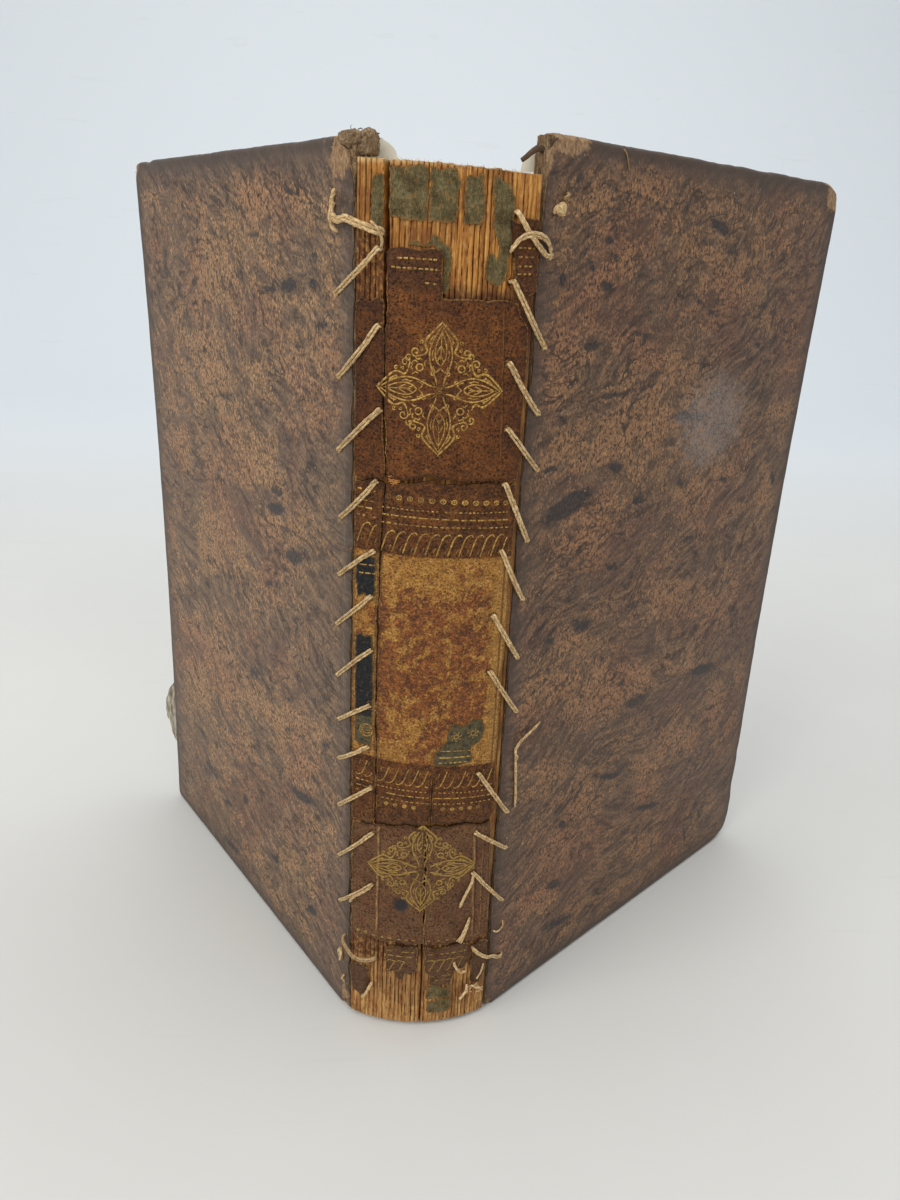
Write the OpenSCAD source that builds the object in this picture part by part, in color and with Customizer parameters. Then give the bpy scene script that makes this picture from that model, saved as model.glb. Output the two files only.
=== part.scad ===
// Antique leather-bound book, standing on its tail with both covers partly
// open.  The covers have broken away from the spine and are laced back on
// with overcast twine.  Millimetres, +Z up, the spine faces -Y, the rear
// cover is on the left (-X) and the front cover on the right (+X).

/* [Text block] */
// Width of the rounded spine across the shoulders
spine_chord = 35.2; // [34.8:0.1:35.4]
// How far the spine rounds out from its shoulders
spine_round = 4.8; // [4.2:0.1:5.2]
// Thickness of the leaves between the covers
block_thick = 27.2; // [25:0.1:27.4]
// Depth of the leaves at the shoulders, spine to fore-edge
block_depth = 123; // [100:1:124]
// Hollow of the fore-edge
fore_hollow = 4; // [2:0.1:5]
// Height of the tail of the leaves above the covers' tail edges
tail_gap = 1.2; // [0.4:0.1:2]
// Height of the head at the middle of the spine
head_z = 204.5; // [203:0.1:206]
// Slope of the head across the spine, degrees
head_slope = 2.4; // [0:0.1:3]

/* [Covers] */
// Width of the rear cover
rear_w = 122.5; // [118:0.5:126]
// Height of the rear cover
rear_h = 209.2; // [208:0.1:213]
// Width of the front cover
front_w = 124; // [118:0.5:126]
// Height of the front cover
front_h = 211.4; // [208:0.1:213]
// Thickness of the pasteboard
board_t = 2.9; // [2.5:0.1:2.9]
// Thickness of the covering leather
leather_t = 0.7; // [0.5:0.1:0.7]
// Width of the leather turned in behind the board
turn_in = 15; // [8:1:20]
// Rear cover's opening from closed, degrees
rear_open = 32.6; // [20:0.1:60]
// Front cover's opening from closed, degrees
front_open = 49.7; // [20:0.1:60]
// Fan of each free endpaper away from its cover, degrees
leaf_fan = 2; // [1.5:0.1:3]

/* [Spine] */
// Thickness of the spine leather
spine_leather_t = 0.8; // [0.6:0.1:0.8]
// Thickness of the label leather
label_t = 0.3; // [0.2:0.05:0.4]
// Thickness of the paper lining
lining_t = 0.25; // [0.2:0.05:0.4]
// Thickness of a recessed sewing cord
cord_t = 1.4; // [1:0.1:1.8]

/* [Twine] */
// Radius of the doubled lacing twine
twine_r = 0.6; // [0.4:0.05:0.6]
// Radius of the needle holes
hole_r = 0.75; // [0.75:0.05:0.9]

/* [Hidden] */

// bottom centre of everything comes to the origin
place = [-14.24, -58.56, 0];

hinge_y = 0.6;
rear_x = -18.4;
front_x = 18.3;
turn_t = 0.4;                       // pared leather behind the board
paste_t = 0.2;                      // paper
cover_t = leather_t + board_t + turn_t + paste_t;
R = (spine_chord * spine_chord / 4 + spine_round * spine_round) / (2 * spine_round);
yc = R - spine_round;               // centre of the spine's round
top = 230;

// the lacing.  Each row: x of the hole in the spine, its height, the hole in
// the cover measured from the hinge, its height
rear_rows = [[-12.8, 192.3, 6.5, 194.6], [-13.2, 189.4, 6, 180.6], [-13, 175.4, 4.8, 164.4], [-12.4, 159.3, 4.7, 149.3],
  [-12.9, 144.6, 3.6, 135], [-13.2, 129.5, 4.2, 121.7], [-13.6, 119.2, 5.2, 109.5], [-13.4, 106.5, 5, 96.7],
  [-13.6, 92.8, 4.2, 85.6], [-14, 82, 4.2, 75], [-13.1, 71.2, 4.1, 62], [-12.6, 58.7, 4, 47.4],
  [-12.4, 43.9, 3.6, 33.7], [-12.6, 19, 3, 22]];
front_rows = [[12.8, 197, 3.4, 188.8], [12.6, 184.6, 2.8, 172], [12.8, 169.2, 2.4, 158.7],
  [13.4, 156.2, 3.6, 146.6], [13.6, 144.6, 2, 131.1], [13.8, 130.1, 2, 117.5], [12.9, 115.2, 1.8, 103.1],
  [13, 101.7, 2.9, 88.9], [11.9, 75.5, 2.4, 61.3], [12.2, 59, 3.1, 50.4], [12.2, 47.3, 3.1, 34.4],
  [12.8, 21, 3.2, 15.6]];
all_rows = concat(rear_rows, front_rows);

// ---------- text block ----------

module spine_shell(r0, r1) {
  translate([0, yc, -1]) difference() {
    cylinder(r = r1, h = top, $fn = 180);
    translate([0, 0, -1]) cylinder(r = r0, h = top + 2, $fn = 180);
  }
}

// one recessed cord lies across the spine in its groove
module cord_at(z) {
  translate([0, yc, z - cord_t / 2]) rotate([0, 0, -90 - 26])
    rotate_extrude(angle = 52, $fn = 180)
      translate([R - 0.2 - cord_t, 0]) square([cord_t, cord_t]);
}
cord_z = [38, 67, 104, 136, 165];

module text_block() color([0.80, 0.62, 0.38]) translate(place) difference() {
  intersection() {
    translate([0, yc, tail_gap]) cylinder(r = R, h = 210, $fn = 180);
    translate([0, 0, tail_gap]) linear_extrude(210)
      polygon([[-20, -8], [20, -8], [20, 0.15], [block_thick / 2 + 0.5, 0.15],
        [block_thick / 2, 0.8], [block_thick / 2, 30], [-block_thick / 2, 30],
        [-block_thick / 2, 0.8], [-block_thick / 2 - 0.5, 0.15], [-20, 0.15]]);
  }
  head_cut();
  for (z = cord_z) cord_at(z);
  cracks();
  for (s = all_rows) spine_hole(s);
}
// the needle's hole through the skin of the spine and into the folds
module spine_hole(s) translate([0, yc, s[1]]) rotate([0, 0, asin(s[0] / R)]) rotate([90, 0, 0])
  translate([0, 0, R - 2.2]) cylinder(r = hole_r, h = 5, $fn = 24);
module cover_holes(rows) for (s = rows)
  translate([-1, s[2], s[3]]) rotate([0, 90, 0]) cylinder(r = hole_r, h = 9, $fn = 24);
module head_cut() {
  translate([0, 0, head_z]) rotate([0, head_slope, 0]) translate([-40, -20, 0]) cube([80, 160, 30]);
}
// the leaves have parted along the spine beside the left shoulder and,
// at the tail, along its middle
module cracks() {
  translate([-12.6, -8, 176]) cube([0.7, 9, 40]);
  translate([-0.1, -8, -1]) cube([0.6, 9, 31]);
}
module leaves() color([0.80, 0.62, 0.38]) translate(place) difference() {
  translate([-block_thick / 2, 30, tail_gap])
    cube([block_thick, block_depth - 30, 208]);
  head_cut();
  fore_r = (block_thick * block_thick / 4 + fore_hollow * fore_hollow) / (2 * fore_hollow);
  translate([0, block_depth - fore_hollow + fore_r, -1]) cylinder(r = fore_r, h = 230, $fn = 180);
}
module block() union() { text_block(); leaves(); }

module sewing_cords() color([0.62, 0.50, 0.33]) translate(place)
  for (z = cord_z) cord_at(z);

// ---------- what is glued over the spine ----------

// a piece of the skin over the spine, cut to an outline seen from the front
module skin(r0, r1, outline) {
  low = min([for (p = outline) p[1]]);
  high = max([for (p = outline) p[1]]);
  difference() {
    intersection() {
      spine_shell(r0, r1);
      translate([0, 6, 0]) rotate([90, 0, 0]) linear_extrude(20) polygon(outline);
    }
    for (s = all_rows) if (s[1] > low - 1 && s[1] < high + 1) spine_hole(s);
  }
}

module head_lining_remnants() color([0.42, 0.40, 0.28]) translate(place) {
  skin(R, R + lining_t, [[-15, 201], [-14.9, 194], [-14, 192], [-12.9, 191.6], [-12.8, 202], [-13.6, 203]]);
  skin(R, R + lining_t, [[-11.6, 202.4], [-11.7, 194.6], [-11, 193.7], [-6, 193.6], [-0.2, 194], [0.5, 196], [0.3, 201.6], [-1, 202.8], [-6, 202]]);
  skin(R, R + lining_t, [[1.8, 202], [1.9, 195], [3, 194.2], [5.9, 194.4], [6, 201], [4, 202.4]]);
  skin(R, R + lining_t, [[7.2, 202.6], [7.4, 193], [9, 192.1], [11.4, 192.4], [11.6, 198], [11.6, 202.8]]);
  skin(R, R + lining_t, [[6.2, 191], [6.4, 185], [9, 184.4], [12.2, 184.8], [11.6, 190], [9, 191.6]]);
  skin(R, R + lining_t, [[-7.4, 191.4], [-7.3, 189.7], [-1, 189.6], [-0.8, 191.2], [-3, 192]]);
}
module tail_lining_remnants() color([0.42, 0.40, 0.28]) translate(place)
  skin(R, R + lining_t, [[1.9, 13], [2.2, 5], [4, 4.2], [8.4, 4.4], [8.6, 9], [8.2, 13.2], [5, 13.6]]);

S0 = R;
S1 = R + spine_leather_t;

module spine_leather_upper() color([0.45, 0.27, 0.13]) translate(place)
  skin(S0, S1, [[-11.7, 188.6], [-9, 189.2], [-6, 188.9], [-3, 189.4], [-1.5, 189.2], [-1.1, 185], [-1, 181.2],
    [0.4, 180.8], [4, 181.3], [8, 180.9], [11, 181.2], [13.9, 180.6], [14.6, 178.4], [16.4, 176.2], [16.7, 170],
    [16.5, 160], [16.6, 152], [16.2, 146], [14.3, 145.4], [11, 146.2], [8, 145.9], [5, 146.4], [1.9, 146.6],
    [-1, 145.6], [-4, 145.9], [-8.2, 145.3], [-11.7, 145.6], [-11.8, 160], [-11.7, 175]]);
module spine_leather_upper_left() color([0.42, 0.25, 0.12]) translate(place)
  skin(S0, S1, [[-17.7, 179.6], [-16.5, 180.6], [-15, 179.8], [-13.6, 180.8], [-12.3, 180.2], [-12.2, 165],
    [-12.3, 150], [-12.2, 145.6], [-14.5, 145.3], [-16, 144.9], [-17.8, 145]]);
module spine_leather_head_fragment() color([0.42, 0.26, 0.14]) translate(place)
  skin(S0, S1, [[11.9, 195.2], [13.4, 195], [15, 196], [17.2, 195.6], [17.7, 190], [17.8, 183], [16.5, 181.9],
    [14.9, 182.4], [13.2, 184.5], [12.5, 188]]);
module spine_leather_middle() color([0.62, 0.42, 0.20]) translate(place)
  skin(S0, S1, [[-11.7, 144.6], [-8.2, 144.2], [-4, 144.9], [-1, 144.5], [1.9, 145.5], [5, 145.4], [8, 144.8],
    [11, 145.1], [14.3, 144.3], [16.3, 144.6], [16.6, 135], [16.3, 125], [16.5, 112], [16, 100], [16.3, 88],
    [16.1, 75], [16.4, 66], [16.2, 62.6], [13, 62], [9, 62.9], [5, 62.6], [1, 62.9], [-0.2, 62.4], [-0.4, 71.5],
    [-0.9, 62.3], [-5, 62.8], [-9, 62], [-12, 62.4], [-11.9, 85], [-12, 110], [-11.8, 130]]);
module spine_leather_middle_left() color([0.45, 0.30, 0.16]) translate(place)
  skin(S0, S1, [[-17.8, 144], [-16, 144], [-14.5, 144.3], [-12.3, 144.6], [-12.4, 120], [-12.3, 90], [-12.5, 62.2],
    [-14, 61.6], [-16, 62.4], [-17.8, 61.8]]);
module spine_leather_lower_left() color([0.40, 0.24, 0.12]) translate(place)
  skin(S0, S1, [[-17.7, 60.8], [-16, 61.4], [-14, 60.6], [-12.4, 61.4], [-9, 61], [-5, 61.8], [-0.9, 61.3],
    [-0.6, 50], [-0.5, 40], [-0.6, 27.4], [-3, 26.8], [-6, 27.6], [-9, 27.2], [-12, 28], [-15, 27.2], [-17.6, 27.6]]);
module spine_leather_lower_right() color([0.40, 0.24, 0.12]) translate(place)
  skin(S0, S1, [[-0.2, 61.4], [1, 61.9], [5, 61.6], [9, 61.9], [13, 61], [16.1, 61.6], [16.5, 50], [16.8, 40],
    [16.9, 30], [16.4, 27.4], [13, 26.6], [10, 27.2], [6, 26.7], [3, 27.3], [0.2, 26.9], [0.1, 40]]);
module spine_leather_tail_fragments() color([0.36, 0.24, 0.13]) translate(place) {
  skin(S0, S1, [[-9, 25.6], [-6, 26.2], [-1, 25.8], [-0.8, 18], [-3, 17.2], [-6, 18.4], [-8.6, 17.4]]);
  skin(S0, S1, [[0.9, 26], [5, 25.4], [9, 26], [12.4, 25.6], [12.8, 19], [11, 16.4], [7, 14.6], [3, 15.2], [1.1, 17]]);
  skin(S0, S1, [[13.4, 24.4], [16, 25], [17.6, 24], [17.4, 14], [16, 11.4], [13.8, 12.6]]);
  skin(S0, S1, [[-17.6, 17.2], [-15, 18], [-13.4, 17], [-13.2, 9.4], [-15, 8], [-17.4, 9]]);
}
module label_remnants_side() color([0.07, 0.07, 0.07]) translate(place) {
  skin(S1, S1 + label_t, [[-17.6, 127.2], [-15, 127.6], [-12.9, 127.4], [-12.8, 118.2], [-14, 117.2], [-17.5, 117.6]]);
  skin(S1, S1 + label_t, [[-17.3, 109.8], [-15, 110.4], [-13.2, 109.6], [-12.7, 98], [-12.9, 85.4], [-15, 84.6], [-17.2, 85.2]]);
}
module label_remnant_lower() color([0.07, 0.07, 0.07]) translate(place)
  skin(S1, S1 + label_t, [[1.4, 77], [1.2, 82], [3, 86.6], [6, 87.4], [8.4, 89.4], [11.8, 89], [12.4, 84], [11.6, 80], [12.6, 76.8], [7, 77.4]]);

// ---------- covers ----------

// outlines lie in the cover's own plane: [from the hinge, height]
rear_outline = [[0, 2.2], [2, 1], [6, 0.2], [9, 0], [rear_w - 3, 0], [rear_w - 0.8, 0.8], [rear_w, 3],
  [rear_w, rear_h - 2], [rear_w - 0.7, rear_h - 0.5], [rear_w - 3, rear_h], [5, rear_h], [1.5, rear_h - 0.2],
  [0, rear_h - 2.4]];
front_outline = [[0, 5], [1.6, 2], [4.5, 0], [front_w - 12, 0], [front_w - 5, 0.8], [front_w - 1.6, 3.4],
  [front_w, 8], [front_w, front_h - 6], [front_w - 1.6, front_h - 2.2], [front_w - 5, front_h - 0.4],
  [front_w - 9, front_h], [4, front_h], [1, front_h - 0.8], [0, front_h - 4]];

// cuts a plate to an outline: from depth a to depth b behind the outer face
module plate(outline, a, b) translate([a, 0, 0]) rotate([90, 0, 90]) linear_extrude(b - a) polygon(outline);
// a rectangle standing off the head, tail and fore edges by d, open to the spine
function inner(w, h, d, s) = [[s, d], [w - d, d], [w - d, h - d], [s, h - d]];

module in_rear() translate(place) translate([rear_x, hinge_y, 0]) rotate([0, 0, rear_open]) children();
module in_front() translate(place) translate([front_x, hinge_y, 0]) rotate([0, 0, -front_open]) mirror([1, 0, 0]) children();

wrap = 0.6;                         // leather round the board's edges
module board(outline, w, h) {
  intersection() {
    plate(outline, leather_t, leather_t + board_t);
    plate(inner(w, h, wrap, 0), leather_t, leather_t + board_t);
  }
  plate(inner(w, h, turn_in, 0), leather_t + board_t, leather_t + board_t + turn_t);
}
module covering(outline, w, h) difference() {
  plate(outline, 0, leather_t + board_t + turn_t);
  intersection() {
    plate(outline, leather_t, leather_t + board_t);
    plate(inner(w, h, wrap, -1), leather_t, leather_t + board_t);
  }
  plate(inner(w, h, turn_in, -1), leather_t + board_t - 0.01, leather_t + board_t + turn_t + 1);
  // leather worn through at the spine's head and tail corners
  plate([[-1, h - 5], [2.4, h - 3.4], [4.4, h + 1], [-1, h + 1]], -1, leather_t + board_t + 2);
  plate([[-1, -1], [4.2, -1], [2.6, 2.6], [-1, 4.6]], -1, leather_t + board_t + 2);
}
fold = 1.2;                         // where the endpaper folds off the cover
module endpaper(w, h, leaf) {
  plate([[0, 4], [w - 3.5, 3.5], [w - 3.5, h - 3.5], [0, h - 4]], cover_t - paste_t, cover_t);
  plate([[0.4, 4.2], [fold, 4], [fold, h - 4], [0.4, h - 4.2]], cover_t, cover_t + 0.35);
  translate([cover_t + 0.15, fold, 0]) rotate([0, 0, -leaf_fan]) translate([0, -fold, 0])
    plate(leaf, 0, paste_t);
}

module rear_board() color([0.52, 0.42, 0.30]) in_rear() difference() {
  board(rear_outline, rear_w, rear_h);
  cover_holes(rear_rows);
}
module rear_cover_leather() color([0.30, 0.20, 0.15]) in_rear() difference() {
  covering(rear_outline, rear_w, rear_h);
  cover_holes(rear_rows);
}
module rear_endpaper() color([0.83, 0.80, 0.72]) in_rear() difference() { endpaper(rear_w, rear_h,
  [[fold, 3], [rear_w - 2, 2.4], [rear_w - 1, 14], [rear_w + 1.6, 18], [rear_w + 2.8, 24], [rear_w + 2.6, 30],
   [rear_w + 1.4, 36], [rear_w - 1, 40], [rear_w - 1.2, rear_h - 3], [8, rear_h - 2.6], [3, rear_h - 4], [fold, rear_h - 8]]);
  cover_holes(rear_rows); }
module front_board() color([0.52, 0.42, 0.30]) in_front() difference() {
  board(front_outline, front_w, front_h);
  cover_holes(front_rows);
}
module front_cover_leather() color([0.29, 0.20, 0.16]) in_front() difference() {
  covering(front_outline, front_w, front_h);
  cover_holes(front_rows);
}
module front_endpaper() color([0.83, 0.80, 0.72]) in_front() difference() { endpaper(front_w, front_h,
  [[fold, 3], [front_w - 3, 2.4], [front_w - 2.4, front_h - 4], [8, front_h - 3], [3, front_h - 4.4], [fold, front_h - 8]]);
  cover_holes(front_rows); }

// ---------- twine ----------

function unit(v) = v / norm(v);
// a round thread swept along points, eight-sided
module thread(p, r) {
  n = len(p);
  m = 8;
  t = [for (i = [0:n - 1]) unit(p[min(i + 1, n - 1)] - p[max(i - 1, 0)])];
  a = [for (i = [0:n - 1]) unit(cross(t[i], [0.02, -1, 0.03]))];
  b = [for (i = [0:n - 1]) cross(t[i], a[i])];
  pts = [for (i = [0:n - 1]) for (k = [0:m - 1]) p[i] + r * (cos(k * 360 / m) * a[i] + sin(k * 360 / m) * b[i])];
  faces = concat(
    [[for (k = [0:m - 1]) m - 1 - k]],
    [for (i = [0:n - 2]) for (k = [0:m - 1]) [i * m + k, i * m + (k + 1) % m, (i + 1) * m + (k + 1) % m, (i + 1) * m + k]],
    [[for (k = [0:m - 1]) (n - 1) * m + k]]);
  polyhedron(pts, [for (f = faces) [for (k = [len(f) - 1:-1:0]) f[k]]]);
}
lift = 0.95;                        // thread's middle above the leather
// a point over the spine at x, or over a cover at u from its hinge
function over_spine(x, z, d) = let (a = asin(x / R)) [(S1 + d) * sin(a), yc - (S1 + d) * cos(a), z];
function over_rear(u, z, d) = [rear_x - u * sin(rear_open) - d * cos(rear_open),
  hinge_y + u * cos(rear_open) - d * sin(rear_open), z];
function over_front(u, z, d) = [front_x + u * sin(front_open) + d * cos(front_open),
  hinge_y + u * cos(front_open) - d * sin(front_open), z];
function mix(a, b, t) = a + (b - a) * t;

// a stitch comes out of its hole in the spine, crosses the joint and goes
// down through its hole in the cover
module rear_stitch(x, z0, u, z1) thread([
  over_spine(x, z0, -1.8),
  over_spine(x, z0, 0.35),
  over_spine(x - 0.3, mix(z0, z1, 0.04), 0.95),
  over_spine(x - 1.4, mix(z0, z1, 0.16), 1.1),
  over_spine(-17.2, mix(z0, z1, 0.46), 1.1),
  over_rear(0.8, mix(z0, z1, 0.66), lift),
  over_rear(u - 1.2, mix(z0, z1, 0.9), lift),
  over_rear(u - 0.15, mix(z0, z1, 0.99), 0.65),
  over_rear(u, z1, -0.25),
  over_rear(u, z1, -2.2)], twine_r);
module front_stitch(x, z0, u, z1) thread([
  over_spine(x, z0, -1.8),
  over_spine(x, z0, 0.35),
  over_spine(x + 0.3, mix(z0, z1, 0.04), 0.9),
  over_spine(x + 1.2, mix(z0, z1, 0.18), lift),
  over_spine(17, mix(z0, z1, 0.5), lift),
  over_front(0.3, mix(z0, z1, 0.76), lift),
  over_front(u - 1, mix(z0, z1, 0.92), lift),
  over_front(u - 0.15, mix(z0, z1, 0.99), 0.65),
  over_front(u, z1, -0.25),
  over_front(u, z1, -2.2)], twine_r);

module rear_stitches() color([0.66, 0.57, 0.40]) translate(place)
  for (s = rear_rows) rear_stitch(s[0], s[1], s[2], s[3]);
module front_stitches() color([0.66, 0.57, 0.40]) translate(place)
  for (s = front_rows) front_stitch(s[0], s[1], s[2], s[3]);
// the knot of a stitch and a broken thread left on the front cover
module front_twine_remnants() color([0.72, 0.64, 0.48]) translate(place) {
  thread([over_front(3, 197.4, 1.1), over_front(3.5, 198.4, 1.3), over_front(4.6, 199.4, 1.3), over_front(5.6, 200.4, 1.1)], 1);
  thread([over_front(12.3, 83, 0.6), over_front(10, 82.4, 0.7), over_front(6.6, 81, 0.7), over_front(4, 79.6, 0.7),
    over_front(3.5, 77.6, 0.7), over_front(4.2, 72, 0.7), over_front(4.8, 66, 0.7), over_front(5.2, 61.6, 0.55)], 0.5);
}

block();  // text_block
sewing_cords();
head_lining_remnants();
tail_lining_remnants();
spine_leather_upper();
spine_leather_upper_left();
spine_leather_head_fragment();
spine_leather_middle();
spine_leather_middle_left();
spine_leather_lower_left();
spine_leather_lower_right();
spine_leather_tail_fragments();
label_remnants_side();
label_remnant_lower();
rear_board();
rear_cover_leather();
rear_endpaper();
front_board();
front_cover_leather();
front_endpaper();
front_twine_remnants();
rear_stitches();
front_stitches();
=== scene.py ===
"""Looks of an old leather-bound book standing open on its tail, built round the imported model."""
import math
import bpy
import numpy as np
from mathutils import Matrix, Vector
from mathutils.geometry import delaunay_2d_cdt


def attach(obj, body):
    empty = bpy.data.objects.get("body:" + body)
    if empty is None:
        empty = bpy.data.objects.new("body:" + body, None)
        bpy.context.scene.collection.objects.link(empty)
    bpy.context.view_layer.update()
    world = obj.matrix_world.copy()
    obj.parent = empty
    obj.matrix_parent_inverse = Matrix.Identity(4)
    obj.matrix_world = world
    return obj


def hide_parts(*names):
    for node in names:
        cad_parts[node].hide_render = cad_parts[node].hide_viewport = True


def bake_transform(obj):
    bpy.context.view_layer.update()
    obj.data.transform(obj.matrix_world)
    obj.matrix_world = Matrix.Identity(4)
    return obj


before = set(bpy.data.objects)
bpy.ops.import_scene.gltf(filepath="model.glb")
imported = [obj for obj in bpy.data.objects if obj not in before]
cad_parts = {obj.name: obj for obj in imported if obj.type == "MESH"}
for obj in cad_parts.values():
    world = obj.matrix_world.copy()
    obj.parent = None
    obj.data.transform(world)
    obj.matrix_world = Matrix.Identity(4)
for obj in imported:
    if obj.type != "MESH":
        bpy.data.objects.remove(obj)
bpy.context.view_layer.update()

# ------------------------------------------------------------------ frame
MM = 0.001
PLACE = np.array([-14.24, -58.56, 0.0])      # book frame (mm) to the object's frame
R, YC = 34.667, 29.867                       # the spine's round
S1 = R + 0.8                                 # outer face of the spine leather
HINGE_Y, REAR_X, FRONT_X = 0.6, -18.4, 18.3
AL, AR = math.radians(32.6), math.radians(49.7)
REAR_W, REAR_H = 122.5, 209.2
FRONT_W, FRONT_H = 124.0, 211.4
BLOCK = "book_block"


def spine(s, z, r):
    """arc length s (mm, along the leather's outer face), height z, radius r"""
    s, z, r = np.broadcast_arrays(np.asarray(s, float), z, r)
    a = s / S1
    return np.stack([r * np.sin(a), YC - r * np.cos(a), z], -1)


def arc(x):
    return S1 * np.arcsin(np.asarray(x, float) / S1)


def rear(u, z, d):
    """u from the hinge, height z, depth d inwards from the outer face"""
    u, z, d = np.broadcast_arrays(np.asarray(u, float), z, d)
    return np.stack([REAR_X - u * math.sin(AL) + d * math.cos(AL), HINGE_Y + u * math.cos(AL) + d * math.sin(AL), z], -1)


def front(u, z, d):
    u, z, d = np.broadcast_arrays(np.asarray(u, float), z, d)
    return np.stack([FRONT_X + u * math.sin(AR) - d * math.cos(AR), HINGE_Y + u * math.cos(AR) + d * math.sin(AR), z], -1)


def warp(u, z, w, h):
    """the boards have warped a little inwards at mid height, towards the fore-edge"""
    t = np.clip(u / w, 0, 1)
    return 1.3 * t ** 1.6 * (1 - ((z - h / 2) / (h / 2)) ** 2)


# ------------------------------------------------------------------ noise
def _hash(ix, iy, iz, seed):
    h = (ix * 73856093) ^ (iy * 19349663) ^ (iz * 83492791) ^ (seed * 668265263)
    h = ((h ^ (h >> 13)) * 1274126177) & 0x7FFFFFFF
    h = ((h ^ (h >> 15)) * 2246822519) & 0x7FFFFFFF
    return ((h ^ (h >> 12)) & 0xFFFF) / 32767.5 - 1.0


def vnoise(p, seed=0):
    p = np.asarray(p, float)
    i = np.floor(p).astype(np.int64)
    f = p - i
    f = f * f * f * (f * (f * 6 - 15) + 10)
    out = 0
    for a in (0, 1):
        for b in (0, 1):
            for c in (0, 1):
                w = (f[..., 0] if a else 1 - f[..., 0]) * (f[..., 1] if b else 1 - f[..., 1]) * (f[..., 2] if c else 1 - f[..., 2])
                out = out + w * _hash(i[..., 0] + a, i[..., 1] + b, i[..., 2] + c, seed)
    return out


def fbm(x, y, scale, seed=0, octaves=3, gain=0.5, z=0.0):
    """roughly -1..1; scale is features per mm"""
    x, y, z = np.broadcast_arrays(np.asarray(x, float), y, z)
    p = np.stack([x, y, z], -1) * scale
    out, amp, total = 0, 1.0, 0.0
    for o in range(octaves):
        out = out + amp * vnoise(p * 2 ** o + 17.3 * o, seed + o)
        total += amp
        amp *= gain
    return out / total * 1.4


def smooth(a, b, x):
    t = np.clip((np.asarray(x, float) - a) / (b - a), 0, 1)
    return t * t * (3 - 2 * t)


# ------------------------------------------------------------------ meshes
def make(name, verts, faces, mat, attrs=None, body=None, slot=None, sharp=55.0, close=True):
    """a mesh object from points in the book frame (mm) and lists of same-sided faces"""
    verts = np.asarray(verts, float)
    faces = [np.asarray(f, np.int64) for f in faces if len(f)]
    co = (verts + PLACE) * MM
    if close:                                # all faces are wound alike: make them point outwards
        c = co.mean(0)
        vol = 0.0
        for f in faces:
            a = co[f[:, 0]] - c
            for k in range(1, f.shape[1] - 1):
                vol += np.einsum("ij,ij->i", a, np.cross(co[f[:, k]] - c, co[f[:, k + 1]] - c)).sum()
        if vol < 0:
            faces = [f[:, ::-1] for f in faces]
    me = bpy.data.meshes.new(name)
    loops = np.concatenate([f.ravel() for f in faces])
    sizes = np.concatenate([np.full(len(f), f.shape[1]) for f in faces])
    me.vertices.add(len(co))
    me.vertices.foreach_set("co", co.astype(np.float32).ravel())
    me.loops.add(len(loops))
    me.loops.foreach_set("vertex_index", loops.astype(np.int32))
    me.polygons.add(len(sizes))
    me.polygons.foreach_set("loop_start", (np.cumsum(sizes) - sizes).astype(np.int32))
    me.polygons.foreach_set("use_smooth", np.ones(len(sizes), bool))
    me.update(calc_edges=True)
    me.validate()
    if sharp:
        me.set_sharp_from_angle(angle=math.radians(sharp))
    for key, val in (attrs or {}).items():
        val = np.asarray(val, np.float32)
        kind = "FLOAT_VECTOR" if val.ndim == 2 else "FLOAT"
        at = me.attributes.new(key, kind, "POINT")
        at.data.foreach_set("vector" if val.ndim == 2 else "value", val.ravel())
    me.materials.append(mat)
    ob = bpy.data.objects.new(name, me)
    bpy.context.scene.collection.objects.link(ob)
    if body:
        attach(ob, body)
    return ob


class Pile:
    """several bits gathered in one mesh"""

    def __init__(self):
        self.v, self.f, self.a, self.n = [], {}, {}, 0

    def add(self, verts, faces, **attrs):
        verts = np.asarray(verts, float)
        for f in faces:
            f = np.asarray(f, np.int64)
            if len(f):
                self.f.setdefault(f.shape[1], []).append(f + self.n)
        for k, v in attrs.items():
            v = np.asarray(v, float)
            if v.ndim == 0:
                v = np.full(len(verts), float(v))
            self.a.setdefault(k, []).append(v)
        self.v.append(verts)
        self.n += len(verts)

    def make(self, name, mat, **kw):
        return make(name, np.concatenate(self.v), [np.concatenate(x) for x in self.f.values()], mat,
                    {k: np.concatenate(v) for k, v in self.a.items()}, **kw)


def catmull(points, step):
    """a smooth line through the points, about step mm between samples"""
    p = np.asarray(points, float)
    if len(p) == 2:
        n = max(2, int(np.linalg.norm(p[1] - p[0]) / step) + 1)
        return p[0] + (p[1] - p[0]) * np.linspace(0, 1, n)[:, None]
    q = np.vstack([2 * p[0] - p[1], p, 2 * p[-1] - p[-2]])
    out = []
    for i in range(1, len(q) - 2):
        n = max(2, int(np.linalg.norm(q[i + 1] - q[i]) / step) + 1)
        t = np.linspace(0, 1, n, endpoint=False)[:, None]
        out.append(0.5 * (2 * q[i] + (q[i + 1] - q[i - 1]) * t + (2 * q[i - 1] - 5 * q[i] + 4 * q[i + 1] - q[i + 2]) * t ** 2
                          + (3 * q[i] - q[i - 1] - 3 * q[i + 1] + q[i + 2]) * t ** 3))
    out.append(p[-1:])
    return np.vstack(out)


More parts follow.
